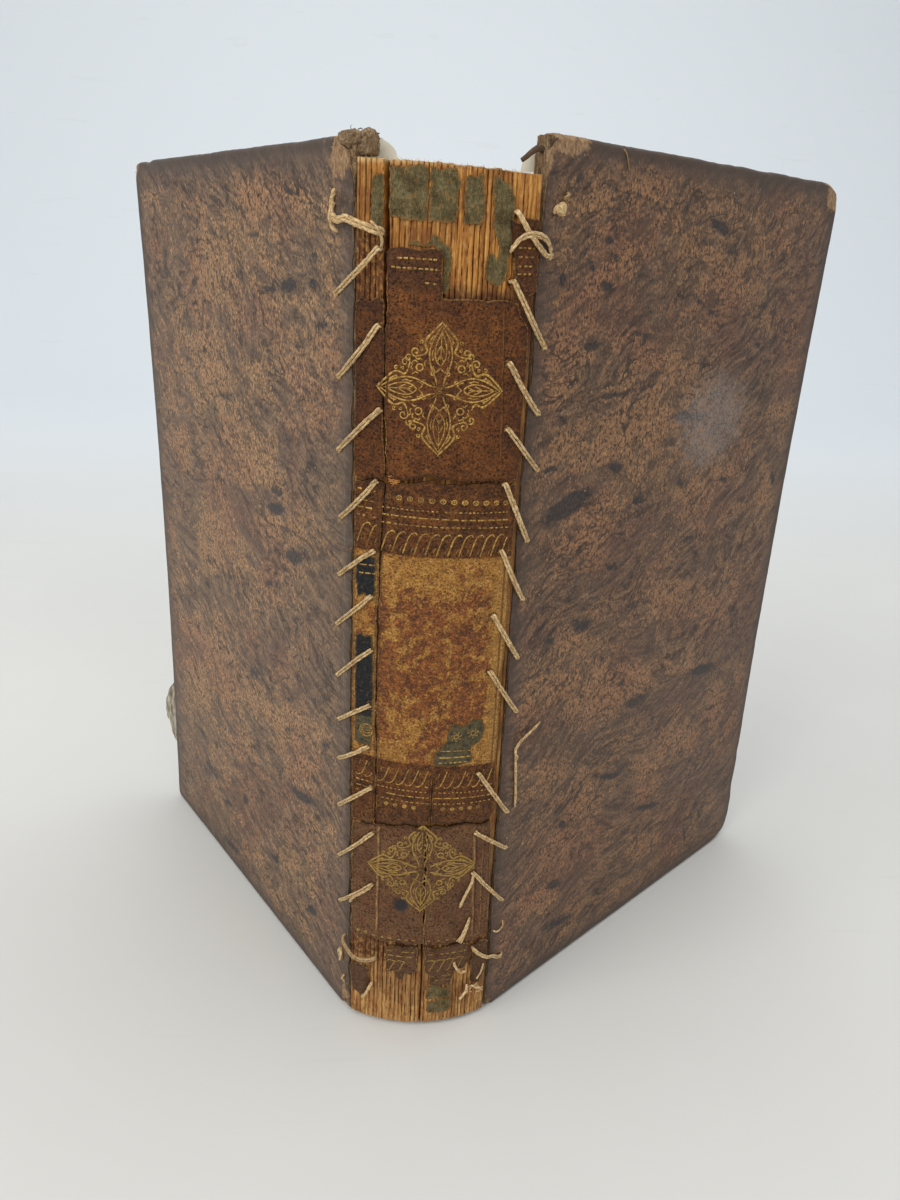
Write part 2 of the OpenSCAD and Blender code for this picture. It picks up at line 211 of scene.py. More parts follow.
def tube(path, radius, sides=8, ply=0.0, pitch=2.0, phase=0.0, flat=1.0, up=(0, -1, 0.02)):
    """closed tube along path (n,3); radius per point; ply makes it a two-ply twist"""
    p = np.asarray(path, float)
    n = len(p)
    r = np.broadcast_to(np.asarray(radius, float), (n,))
    t = np.gradient(p, axis=0)
    t /= np.linalg.norm(t, axis=1)[:, None] + 1e-12
    a = np.cross(t[0], up)
    if np.linalg.norm(a) < 1e-3:
        a = np.cross(t[0], (1, 0, 0))
    a /= np.linalg.norm(a)
    frames = [a]
    for i in range(1, n):
        a = a - t[i] * (a @ t[i])
        a /= np.linalg.norm(a) + 1e-12
        frames.append(a)
    A = np.array(frames)
    B = np.cross(t, A)
    length = np.concatenate([[0], np.cumsum(np.linalg.norm(np.diff(p, axis=0), axis=1))])
    th = np.arange(sides) * 2 * math.pi / sides
    twist = 2 * math.pi * length / pitch + phase
    rr = r[:, None] * (1 + ply * np.cos(2 * (th[None] - twist[:, None])))
    v = p[:, None] + rr[..., None] * (np.cos(th)[None, :, None] * A[:, None] + flat * np.sin(th)[None, :, None] * B[:, None])
    v = v.reshape(-1, 3)
    k = np.arange(sides)
    quads = []
    for i in range(n - 1):
        quads.append(np.stack([i * sides + k, i * sides + (k + 1) % sides, (i + 1) * sides + (k + 1) % sides, (i + 1) * sides + k], 1))
    v = np.vstack([v, p[0], p[-1]])
    c0, c1 = n * sides, n * sides + 1
    tris = np.vstack([np.stack([np.full(sides, c0), (k + 1) % sides, k], 1),
                      np.stack([np.full(sides, c1), (n - 1) * sides + k, (n - 1) * sides + (k + 1) % sides], 1)])
    along = np.concatenate([np.repeat(length, sides), [0, length[-1]]])
    round_ = np.concatenate([np.tile(th, n), [0, 0]])
    return v, [np.vstack(quads), tris], along, round_


# outlines ---------------------------------------------------------
def densify(poly, step):
    poly = np.asarray(poly, float)
    out = []
    for a, b in zip(poly, np.roll(poly, -1, 0)):
        n = max(1, int(round(np.linalg.norm(b - a) / step)))
        out.append(a + (b - a) * (np.arange(n) / n)[:, None])
    return np.vstack(out)


def ragged(poly, seed, amp=0.3, step=0.32, fine=0.5):
    """outline torn irregularly"""
    p = densify(poly, step)
    t = np.roll(p, -1, 0) - np.roll(p, 1, 0)
    t /= np.linalg.norm(t, axis=1)[:, None] + 1e-9
    n = np.stack([t[:, 1], -t[:, 0]], 1)
    d = fbm(p[:, 0], p[:, 1], 0.28, seed, 2) * amp + fbm(p[:, 0], p[:, 1], 1.3, seed + 9, 2) * amp * fine
    return p + n * d[:, None]


def inside(poly, q):
    x, y = q[:, 0], q[:, 1]
    res = np.zeros(len(q), bool)
    for (x0, y0), (x1, y1) in zip(poly, np.roll(poly, -1, 0)):
        c = (y0 > y) != (y1 > y)
        with np.errstate(divide="ignore", invalid="ignore"):
            xi = (x1 - x0) * (y - y0) / (y1 - y0) + x0
        res ^= c & (x < xi)
    return res


def edge_distance(loops, q):
    out = np.full(len(q), 1e9)
    for poly in loops:
        a = poly
        b = np.roll(poly, -1, 0)
        ab = b - a
        L = (ab ** 2).sum(1) + 1e-12
        for c in range(0, len(q), 2000):
            d = q[c:c + 2000, None] - a[None]
            t = np.clip((d * ab[None]).sum(2) / L, 0, 1)
            e = d - t[..., None] * ab[None]
            out[c:c + 2000] = np.minimum(out[c:c + 2000], np.sqrt((e ** 2).sum(2)).min(1))
    return out


def fill(outline, step, seed, holes=()):
    """triangles inside an outline (and outside its holes), with evenly jittered points"""
    rng = np.random.default_rng(seed)
    loops = [np.asarray(outline)] + [np.asarray(h) for h in holes]
    lo, hi = loops[0].min(0), loops[0].max(0)
    nx, ny = int((hi[0] - lo[0]) / step) + 2, int((hi[1] - lo[1]) / (step * 0.866)) + 2
    gx, gy = np.meshgrid(np.arange(nx), np.arange(ny))
    q = np.stack([lo[0] + (gx + 0.5 * (gy % 2)) * step, lo[1] + gy * step * 0.866], -1).reshape(-1, 2)
    q = q + rng.uniform(-0.22, 0.22, q.shape) * step
    q = q[inside(loops[0], q)]
    for h in loops[1:]:
        q = q[~inside(h, q)]
    dist = edge_distance(loops, q)
    keep = dist > 0.42 * step
    q = q[keep]
    pts = np.vstack(loops + [q])
    edges, n = [], 0
    for l in loops:
        k = len(l)
        edges += [(n + i, n + (i + 1) % k) for i in range(k)]
        n += k
    v, _, f, _, _, _ = delaunay_2d_cdt([Vector(p) for p in pts.tolist()], edges, [], 2, 1e-6)
    v = np.array([tuple(p) for p in v])
    f = np.array([t for t in f if len(t) == 3], np.int64)
    a, b, c = v[f[:, 0]], v[f[:, 1]], v[f[:, 2]]
    area = (b[:, 0] - a[:, 0]) * (c[:, 1] - a[:, 1]) - (b[:, 1] - a[:, 1]) * (c[:, 0] - a[:, 0])
    f[area < 0] = f[area < 0][:, ::-1]
    f = f[np.abs(area) > 1e-9]
    used = np.unique(f)
    remap = -np.ones(len(v), np.int64)
    remap[used] = np.arange(len(used))
    v, f = v[used], remap[f]
    return v, f, edge_distance(loops, v)


def thicken(f, n):
    """top triangles, the same below, and the wall round every free edge"""
    e = np.vstack([f[:, [0, 1]], f[:, [1, 2]], f[:, [2, 0]]])
    seen = set(map(tuple, e.tolist()))
    rim = np.array([x for x in e.tolist() if (x[1], x[0]) not in seen], np.int64)
    walls = np.stack([rim[:, 1], rim[:, 0], rim[:, 0] + n, rim[:, 1] + n], 1)
    return [np.vstack([f, f[:, ::-1] + n]), walls]


HOLES = []      # (s, z) of the needle holes in the spine


def skin(pile, outline, r0, top, seed, step=0.45, amp=0.3, holes=True, fine=0.5, tone=0.0):
    """a torn piece lying on the spine. outline in (x, z) as in the part's source; top(s, z, dist) gives
    the radius of its upper face."""
    out = np.asarray(outline, float)
    out = np.stack([arc(out[:, 0]), out[:, 1]], 1)
    loop = ragged(out, seed, amp, fine=fine)
    cut = []
    if holes:
        for s, z in HOLES:
            if inside(loop, np.array([[s, z]]))[0] and edge_distance([loop], np.array([[s, z]]))[0] > 0.9:
                a = np.arange(10) * math.pi / 5
                cut.append(np.stack([s + 0.55 * np.cos(a) * (1 + 0.2 * np.sin(3 * a + s)), z + 0.72 * np.sin(a)], 1))
    v, f, dist = fill(loop, step, seed, cut)
    s, z = v[:, 0], v[:, 1]
    rt = top(s, z, dist)
    rb = np.minimum(r0 + 0.0 * s, rt - 0.06)
    lift = np.maximum(0, rt - (S1 + 0.12)) * 0.8
    up = spine(s, z, rt)
    dn = spine(s, z, rb + lift)
    n = len(v)
    co = np.stack([s, z, np.zeros(n)], 1)
    pile.add(np.vstack([up, dn]), thicken(f, n), mm=np.vstack([co, co]), edge=np.concatenate([dist, dist * 0]),
             under=np.concatenate([np.zeros(n), np.ones(n)]), tone=np.full(2 * n, tone))


# ------------------------------------------------------------------ materials
def lin(r, g, b):
    return tuple((c / 255 / 12.92 if c / 255 <= 0.04045 else ((c / 255 + 0.055) / 1.055) ** 2.4) for c in (r, g, b)) + (1.0,)


class Mat:
    def __init__(self, name, rough=0.6, spec=0.5, sheen=0.0):
        self.m = bpy.data.materials.new(name)
        self.m.use_nodes = True
        self.nt = self.m.node_tree
        self.nt.nodes.clear()
        self.out = self.node("ShaderNodeOutputMaterial")
        self.b = self.node("ShaderNodeBsdfPrincipled")
        self.nt.links.new(self.b.outputs[0], self.out.inputs[0])
        self.b.inputs["Roughness"].default_value = rough
        self.b.inputs["Specular IOR Level"].default_value = spec
        if sheen:
            self.b.inputs["Sheen Weight"].default_value = sheen
            self.b.inputs["Sheen Roughness"].default_value = 0.5

    def node(self, kind, **props):
        n = self.nt.nodes.new(kind)
        for k, v in props.items():
            setattr(n, k, v)
        return n

    def put(self, value, socket):
        if isinstance(value, bpy.types.NodeSocket):
            self.nt.links.new(value, socket)
        elif isinstance(value, (tuple, list)) and len(value) == 3 and socket.type == "RGBA":
            socket.default_value = tuple(value) + (1.0,)
        else:
            socket.default_value = value
        return socket

    def set(self, **kw):
        names = {"color": "Base Color", "rough": "Roughness", "normal": "Normal", "metal": "Metallic"}
        for k, v in kw.items():
            self.put(v, self.b.inputs[names[k]])
        return self

    def attr(self, name, kind="Fac"):
        return self.node("ShaderNodeAttribute", attribute_name=name).outputs[kind]

    def mm(self, sx=1.0, sy=1.0, sz=1.0, src=None, off=(0, 0, 0)):
        src = src or self.attr("mm", "Vector")
        n = self.node("ShaderNodeVectorMath", operation="MULTIPLY_ADD")
        self.put(src, n.inputs[0])
        n.inputs[1].default_value = (sx, sy, sz)
        n.inputs[2].default_value = off
        return n.outputs[0]

    def add(self, a, b):
        n = self.node("ShaderNodeVectorMath", operation="ADD")
        self.put(a, n.inputs[0])
        self.put(b, n.inputs[1])
        return n.outputs[0]

    def vscale(self, a, k):
        n = self.node("ShaderNodeVectorMath", operation="SCALE")
        self.put(a, n.inputs[0])
        n.inputs["Scale"].default_value = k
        return n.outputs[0]

    def xyz(self, v):
        n = self.node("ShaderNodeSeparateXYZ")
        self.put(v, n.inputs[0])
        return n.outputs

    def noise(self, co, scale, detail=4.0, rough=0.5, lac=2.0, dist=0.0, color=False):
        n = self.node("ShaderNodeTexNoise")
        self.put(co, n.inputs["Vector"])
        n.inputs["Scale"].default_value = scale
        n.inputs["Detail"].default_value = detail
        n.inputs["Roughness"].default_value = rough
        n.inputs["Lacunarity"].default_value = lac
        n.inputs["Distortion"].default_value = dist
        return n.outputs["Color" if color else "Fac"]

    def cells(self, co, scale, feature="F1", rand=1.0, out="Distance", smooth_=None):
        n = self.node("ShaderNodeTexVoronoi", feature=feature)
        self.put(co, n.inputs["Vector"])
        n.inputs["Scale"].default_value = scale
        n.inputs["Randomness"].default_value = rand
        return n.outputs[out]

    def ramp(self, fac, stops, interp="LINEAR"):
        n = self.node("ShaderNodeValToRGB")
        n.color_ramp.interpolation = interp
        e = n.color_ramp.elements
        while len(e) > 1:
            e.remove(e[0])
        for i, (p, c) in enumerate(stops):
            c = (c, c, c, 1.0) if isinstance(c, (int, float)) else (tuple(c) + (1.0,))[:4]
            if i == 0:
                e[0].position, e[0].color = p, c
            else:
                e.new(p).color = c
        self.put(fac, n.inputs[0])
        return n.outputs[0]

    def mix(self, fac, a, b, blend="MIX"):
        n = self.node("ShaderNodeMix", data_type="RGBA", blend_type=blend)
        self.put(fac, n.inputs[0])
        self.put(a, n.inputs[6])
        self.put(b, n.inputs[7])
        return n.outputs[2]

    def math(self, op, a, b=None, c=None, clamp=False):
        n = self.node("ShaderNodeMath", operation=op, use_clamp=clamp)
        self.put(a, n.inputs[0])
        if b is not None:
            self.put(b, n.inputs[1])
        if c is not None:
            self.put(c, n.inputs[2])
        return n.outputs[0]

    def times(self, a, k):
        return self.mix(1.0, a, k, "MULTIPLY")

    def fit(self, v, a, b, c=0.0, d=1.0, smooth_=False):
        n = self.node("ShaderNodeMapRange", interpolation_type="SMOOTHSTEP" if smooth_ else "LINEAR")
        self.put(v, n.inputs[0])
        for i, x in zip((1, 2, 3, 4), (a, b, c, d)):
            self.put(x, n.inputs[i])
        return n.outputs[0]

    def bump(self, height, mm=0.1, strength=1.0, after=None):
        n = self.node("ShaderNodeBump")
        n.inputs["Strength"].default_value = strength
        n.inputs["Distance"].default_value = mm * MM
        self.put(height, n.inputs["Height"])
        if after is not None:
            self.put(after, n.inputs["Normal"])
        return n.outputs[0]


def spine_leather_material():
    """brown calf, finely pitted, the label's ground tan and mottled red; light fibres where torn"""
    m = Mat("spine_calf", rough=0.6, spec=0.22)
    co = m.attr("mm", "Vector")
    x, z, _ = m.xyz(co)
    big = m.noise(co, 0.09, 5, 0.6)
    mid = m.noise(co, 0.55, 5, 0.62)
    fine = m.noise(co, 3.2, 3, 0.6)
    grain = m.noise(co, 6.5, 2, 0.5)
    # golden brown above, purple-brown in the lower panel
    low = m.fit(z, 72.0, 58.0, 0, 1, True)
    gold = m.ramp(big, [(0.32, lin(68, 38, 17)), (0.5, lin(94, 56, 23)), (0.66, lin(118, 74, 31))])
    plum = m.ramp(big, [(0.32, lin(82, 55, 36)), (0.5, lin(100, 69, 44)), (0.68, lin(118, 84, 54))])
    base = m.mix(low, gold, plum)
    bands = m.math("MULTIPLY", m.fit(z, 145.5, 144.2, 0, 1), m.fit(z, 127.0, 130.5, 0, 1))
    bands2 = m.math("MULTIPLY", m.fit(z, 80.0, 77.5, 0, 1), m.fit(z, 61.0, 63.0, 0, 1))
    dark = m.math("ADD", bands, bands2, clamp=True)
    base = m.mix(m.math("MULTIPLY", dark, 0.6), base, m.ramp(mid, [(0.35, lin(58, 37, 20)), (0.65, lin(98, 66, 33))]))
    base = m.mix(m.fit(mid, 0.44, 0.64, 0, 0.5), base, m.mix(low, lin(136, 86, 38), lin(110, 78, 52)))
    red = m.noise(m.mm(1, 1, 1, off=(31, 7, 0)), 0.16, 4, 0.6)
    base = m.mix(m.fit(red, 0.52, 0.68, 0, 0.5), base, lin(96, 46, 21))
    head = m.math("MULTIPLY", m.fit(z, 181.5, 183.5, 0, 0.6), m.fit(x, 2.0, 1.0, 0, 1))
    base = m.mix(head, base, lin(66, 42, 25))
    # the tan ground of the lost label
    wob = m.math("MULTIPLY_ADD", m.noise(co, 0.5, 3, 0.6), 1.4, -0.7)
    zt = m.math("ADD", m.math("MULTIPLY_ADD", x, 0.022, z), m.math("MULTIPLY", wob, 0.35))
    zb = m.math("ADD", m.math("MULTIPLY_ADD", x, 0.07, z), m.math("MULTIPLY", wob, 0.35))
    panel = m.math("MULTIPLY", m.fit(zt, 129.35, 128.9, 0, 1), m.fit(zb, 78.6, 79.1, 0, 1))
    tan = m.ramp(m.noise(co, 0.5, 5, 0.65), [(0.35, lin(133, 90, 38)), (0.5, lin(166, 119, 54)), (0.66, lin(185, 139, 71))])
    clump = m.noise(m.mm(1, 0.8, 1, off=(3, 5, 0)), 0.11, 5, 0.6)
    spot = m.noise(m.mm(1, 1, 1, off=(0, 40, 0)), 1.5, 4, 0.7)
    centre = m.math("MULTIPLY", m.fit(x, 15.2, 11.0, 0, 1, True), m.fit(z, 125.5, 117.5, 0.1, 1, True))
    centre = m.math("MULTIPLY", centre, m.fit(z, 79.5, 90.0, 0.45, 1, True))
    centre = m.math("MULTIPLY", centre, m.fit(x, -13.2, -12.0, 0.2, 1))
    # red-brown mottling in lacy clumps, the tan left clear between them
    lace = m.noise(m.add(co, m.vscale(m.noise(co, 1.1, 2, color=True), 0.8)), 0.4, 6, 0.7)
    lace = m.math("ADD", lace, m.math("MULTIPLY_ADD", clump, 0.55, -0.275))
    lace = m.math("ADD", lace, m.math("MULTIPLY_ADD", centre, 0.172, -0.122))
    shade = m.noise(co, 1.25, 4, 0.65)
    tan = m.mix(m.fit(lace, 0.49, 0.53, 0, 0.9), tan, m.ramp(shade, [(0.38, lin(92, 43, 25)), (0.5, lin(126, 67, 33)), (0.62, lin(156, 96, 46))]))
    stone = m.noise(m.add(co, m.vscale(m.noise(co, 1.4, 2, color=True), 0.5)), 0.85, 3, 0.55)
    stones = m.math("MULTIPLY", m.fit(stone, 0.515, 0.555, 0, 1), m.fit(m.noise(m.mm(1, 1, 1, off=(9, 2, 0)), 0.13, 4, 0.6), 0.44, 0.53, 0.2, 1))
    stones = m.math("MULTIPLY", stones, m.fit(lace, 0.49, 0.54, 0.06, 1))
    tan = m.mix(m.math("MULTIPLY", stones, 0.88), tan, lin(70, 34, 27))
    knot = m.noise(m.mm(1, 1, 1, off=(70, 3, 0)), 0.3, 4, 0.7)
    tan = m.mix(m.math("MULTIPLY", m.math("MULTIPLY", m.fit(knot, 0.515, 0.59, 0, 0.88), m.fit(spot, 0.44, 0.52, 0, 1)), centre), tan, lin(62, 30, 24))
    speck = m.fit(m.cells(m.add(co, m.vscale(m.noise(co, 2.0, 2, color=True), 0.5)), 1.35), 0.34, 0.2, 0, 0.95)
    tan = m.mix(m.math("MULTIPLY", speck, m.fit(m.noise(co, 0.4, 3), 0.38, 0.54, 0.4, 1)), tan, lin(76, 38, 22))
    tan = m.times(tan, m.fit(m.noise(co, 2.1, 3, 0.66), 0.36, 0.64, 0.5, 1.42))
    tan = m.mix(m.fit(x, 12.5, 15.6, 0, 0.35, True), tan, lin(180, 142, 80))
    # a dark line down the crease at x 15.55: painted shade
    tan = m.mix(m.math("MULTIPLY", m.fit(m.math("ABSOLUTE", m.math("SUBTRACT", x, 15.55)), 0.32, 0.12), 0.75), tan, lin(70, 42, 22))
    base = m.mix(panel, base, tan)
    # pits and dark specks
    pit = m.fit(m.cells(m.add(co, m.vscale(m.noise(co, 1.2, 2, 0.5, color=True), 0.8)), 1.5), 0.4, 0.24, 0, 1)
    pit = m.math("MULTIPLY", pit, m.fit(m.noise(m.mm(1, 1, 1, off=(9, 9, 0)), 0.3, 4, 0.7), 0.4, 0.56, 0.25, 1))
    base = m.mix(m.math("MULTIPLY", pit, m.math("MULTIPLY_ADD", panel, -0.55, 0.85)), base, lin(36, 19, 11))
    base = m.mix(m.fit(fine, 0.34, 0.6, 0.45, 0), base, m.mix(panel, lin(44, 25, 13), lin(110, 62, 28)))
    base = m.mix(m.fit(grain, 0.5, 0.72, 0, 0.3), base, m.mix(panel, lin(150, 98, 46), lin(200, 156, 88)))
    leaf = m.math("SUBTRACT", 1.0, m.math("MULTIPLY", panel, 0.8))
    gran = m.math("ADD", m.math("MULTIPLY", m.noise(co, 1.6, 3, 0.7), 0.7), m.math("MULTIPLY", m.noise(co, 0.45, 4, 0.65), 0.3))
    gran = m.fit(gran, 0.37, 0.63, 0.4, 1.64)
    gran = m.mix(m.fit(z, 64.0, 60.0, 0, 0.35), gran, (1, 1, 1))
    base = m.mix(leaf, base, m.times(base, gran))
    # upright creases, rubbed light, with a line of painted shade beside them
    sway = m.math("MULTIPLY_ADD", m.noise(m.mm(0, 0.16, 0), 1.0, 3, 0.6), 1.6, -0.8)
    for x0, z0, x1, z1, w, k in ((-11.2, 60.5, -11.4, 31.0, 0.36, 0.85), (12.2, 60.5, 13.3, 29.0, 0.42, 0.7), (11.4, 179.0, 12.9, 147.0, 0.22, 0.3),
                                 (14.6, 60.0, 15.4, 30.0, 0.24, 0.4)):
        sl = (x1 - x0) / (z1 - z0)
        dist = m.math("ADD", m.math("MULTIPLY_ADD", z, -sl, sl * z0 - x0), m.math("ADD", x, m.math("MULTIPLY", sway, 0.5)))
        span = m.math("MULTIPLY", m.fit(z, z1 - 1.5, z1 + 0.5), m.fit(z, z0 + 1.5, z0 - 0.5))
        lite = m.math("MULTIPLY", m.fit(m.math("ABSOLUTE", dist), w, w * 0.3), m.fit(m.noise(m.mm(1.2, 0.5, 1, off=(x0, 0, 0)), 1.0, 4, 0.7), 0.4, 0.56, 0.1, k))
        crease_shade = m.math("MULTIPLY", m.fit(m.math("ABSOLUTE", m.math("SUBTRACT", dist, w * 1.25)), w * 0.8, w * 0.2), 0.55)
        base = m.mix(m.math("MULTIPLY", crease_shade, span), base, lin(44, 26, 14))
        base = m.mix(m.math("MULTIPLY", lite, span), base, lin(168, 126, 74))
    # stains
    stain = m.node("ShaderNodeVectorMath", operation="DISTANCE")
    m.put(m.add(co, m.vscale(m.noise(co, 0.6, 2, color=True), 1.0)), stain.inputs[0])
    stain.inputs[1].default_value = (-4.8, 39.7, 0.5)
    base = m.mix(m.fit(stain.outputs["Value"], 2.5, 1.2, 0, 0.92, True), base, lin(38, 38, 42))
    # torn edges: pale split fibres, with dark breaks
    edge = m.attr("edge")
    torn = m.math("ADD", edge, m.math("MULTIPLY", m.noise(co, 1.3, 4, 0.7), 0.75))
    base = m.mix(m.fit(torn, 1.05, 0.6, 0, 0.6), base, lin(50, 30, 17))
    where = m.fit(m.noise(m.mm(1, 1, 1, off=(13, 60, 0)), 0.16, 3, 0.6), 0.44, 0.56, 0.1, 1)
    lip = m.math("MULTIPLY", m.fit(z, 178.6, 179.6), m.fit(z, 183.0, 182.0))
    low_crack = m.math("MULTIPLY", m.fit(z, 46.0, 42.0), m.fit(m.math("ABSOLUTE", x), 1.6, 1.2))
    sides = m.fit(m.math("ABSOLUTE", x), 15.6, 16.6, 0, 0.9)
    for zc in (145.3, 62.0):
        near = m.fit(m.math("ABSOLUTE", m.math("SUBTRACT", z, zc)), 2.0, 1.2, 0, 0.8)
        where = m.math("MULTIPLY", where, m.math("SUBTRACT", 1.0, near))
    for extra in (lip, low_crack, sides):
        where = m.math("MAXIMUM", where, extra)
    rim = m.math("MULTIPLY", m.fit(torn, 0.66, 0.4, 0, 0.9), where)
    base = m.mix(rim, base, m.ramp(m.noise(co, 1.9, 3), [(0.36, lin(92, 62, 32)), (0.52, lin(150, 112, 64)), (0.7, lin(190, 158, 106))]))
    tone = m.attr("tone")
    base = m.mix(m.math("MULTIPLY", tone, 0.6), base, lin(62, 44, 28))
    left = m.math("MULTIPLY", m.math("MULTIPLY", m.fit(x, -11.6, -12.6), m.fit(z, 143.0, 147.0)), 0.5)
    base = m.mix(left, base, m.mix(1.0, base, (0.42, 0.36, 0.3), "MULTIPLY"))
    upper = m.math("MULTIPLY", m.fit(z, 60.0, 64.0), leaf)
    base = m.mix(upper, base, m.mix(1.0, base, (0.86, 0.76, 0.62), "MULTIPLY"))
    m.set(color=base)
    m.set(rough=m.fit(m.math("ADD", m.math("MULTIPLY", fine, 0.5), m.math("MULTIPLY", rim, 0.5)), 0.1, 0.8, 0.5, 0.88))
    h = m.math("ADD", m.math("MULTIPLY", pit, -1.2), m.math("ADD", m.math("MULTIPLY", fine, 0.8), m.math("MULTIPLY", grain, 0.4)))
    h = m.math("ADD", h, m.math("MULTIPLY", mid, 0.8))
    m.set(normal=m.bump(h, 0.2, 0.9))
    return m.m


def gilt_material():
    """old gold leaf, rubbed through to the brown in places"""
    m = Mat("old_gilding", rough=0.42, spec=0.3)
    co = m.attr("mm", "Vector")
    wear = m.math("ADD", m.math("MULTIPLY", m.noise(co, 0.35, 4, 0.6), 0.6), m.math("MULTIPLY", m.noise(co, 3.0, 3, 0.7), 0.4))
    wear = m.math("ADD", wear, m.math("MULTIPLY", m.attr("rub"), 0.28))
    gone = m.fit(wear, 0.49, 0.68, 0, 1)
    gold = m.ramp(m.noise(co, 2.1, 2), [(0.35, lin(130, 97, 42)), (0.65, lin(196, 156, 80))])
    low = m.fit(m.xyz(co)[1], 64.0, 60.0, 0, 0.6)
    gold = m.mix(low, gold, lin(138, 112, 54))
    m.set(color=m.mix(gone, gold, lin(94, 62, 30)))
    m.set(metal=m.fit(gone, 0, 1, 0.35, 0.0), rough=m.fit(gone, 0, 1, 0.42, 0.7))
    m.set(normal=m.bump(m.noise(co, 4.0, 3), 0.06, 0.8))
    return m.m


def black_label_material():
    m = Mat("black_label", rough=0.55, spec=0.12)
    co = m.attr("mm", "Vector")
    n = m.noise(co, 1.4, 5, 0.7)
    base = m.ramp(n, [(0.38, lin(24, 25, 28)), (0.52, lin(36, 36, 38)), (0.62, lin(58, 53, 44)), (0.74, lin(98, 80, 52))])
    low = m.fit(m.xyz(co)[1], 90.5, 89.5, 0, 1)
    base = m.mix(m.math("MULTIPLY", low, m.fit(m.noise(co, 0.7, 4, 0.7), 0.38, 0.56, 0.2, 0.85)), base, lin(94, 84, 58))
    edge = m.math("ADD", m.attr("edge"), m.math("MULTIPLY", m.noise(co, 1.6, 3), 0.5))
    base = m.mix(m.fit(edge, 0.62, 0.34, 0, 0.85), base, lin(92, 72, 40))
    m.set(color=base, rough=m.fit(n, 0.3, 0.7, 0.5, 0.8))
    m.set(normal=m.bump(m.noise(co, 3.4, 4, 0.6), 0.08, 0.7))
    return m.m


def lining_material():
    """thin grey-green paper left on the folds, fibrous"""
    m = Mat("lining_paper", rough=0.92, spec=0.2)
    co = m.attr("mm", "Vector")
    fib = m.noise(m.mm(3.2, 0.9, 1), 1.5, 4, 0.65)
    mott = m.noise(co, 0.35, 4, 0.6)
    base = m.ramp(mott, [(0.36, lin(70, 60, 38)), (0.48, lin(90, 80, 52)), (0.6, lin(110, 99, 68))])
    base = m.mix(m.fit(fib, 0.38, 0.54, 0.7, 0), base, lin(52, 43, 26))
    base = m.times(base, m.fit(m.noise(co, 1.5, 3, 0.7), 0.36, 0.64, 0.72, 1.3))
    base = m.mix(m.fit(m.noise(m.mm(1.2, 0.5, 1, off=(2, 8, 0)), 1.0, 5, 0.7), 0.56, 0.66, 0, 0.75), base, lin(150, 104, 50))
    base = m.mix(m.fit(m.noise(co, 4.2, 3, 0.7), 0.52, 0.68, 0, 0.45), base, lin(150, 134, 96))
    edge = m.math("ADD", m.attr("edge"), m.math("MULTIPLY", m.noise(co, 1.2, 4, 0.7), 1.4))
    base = m.mix(m.fit(edge, 1.05, 0.62, 0, 0.8), base, m.ramp(fib, [(0.4, lin(104, 66, 30)), (0.6, lin(160, 112, 58))]))
    m.set(color=base, normal=m.bump(m.math("ADD", fib, m.noise(co, 3.0, 4, 0.7)), 0.09, 0.8))
    return m.m


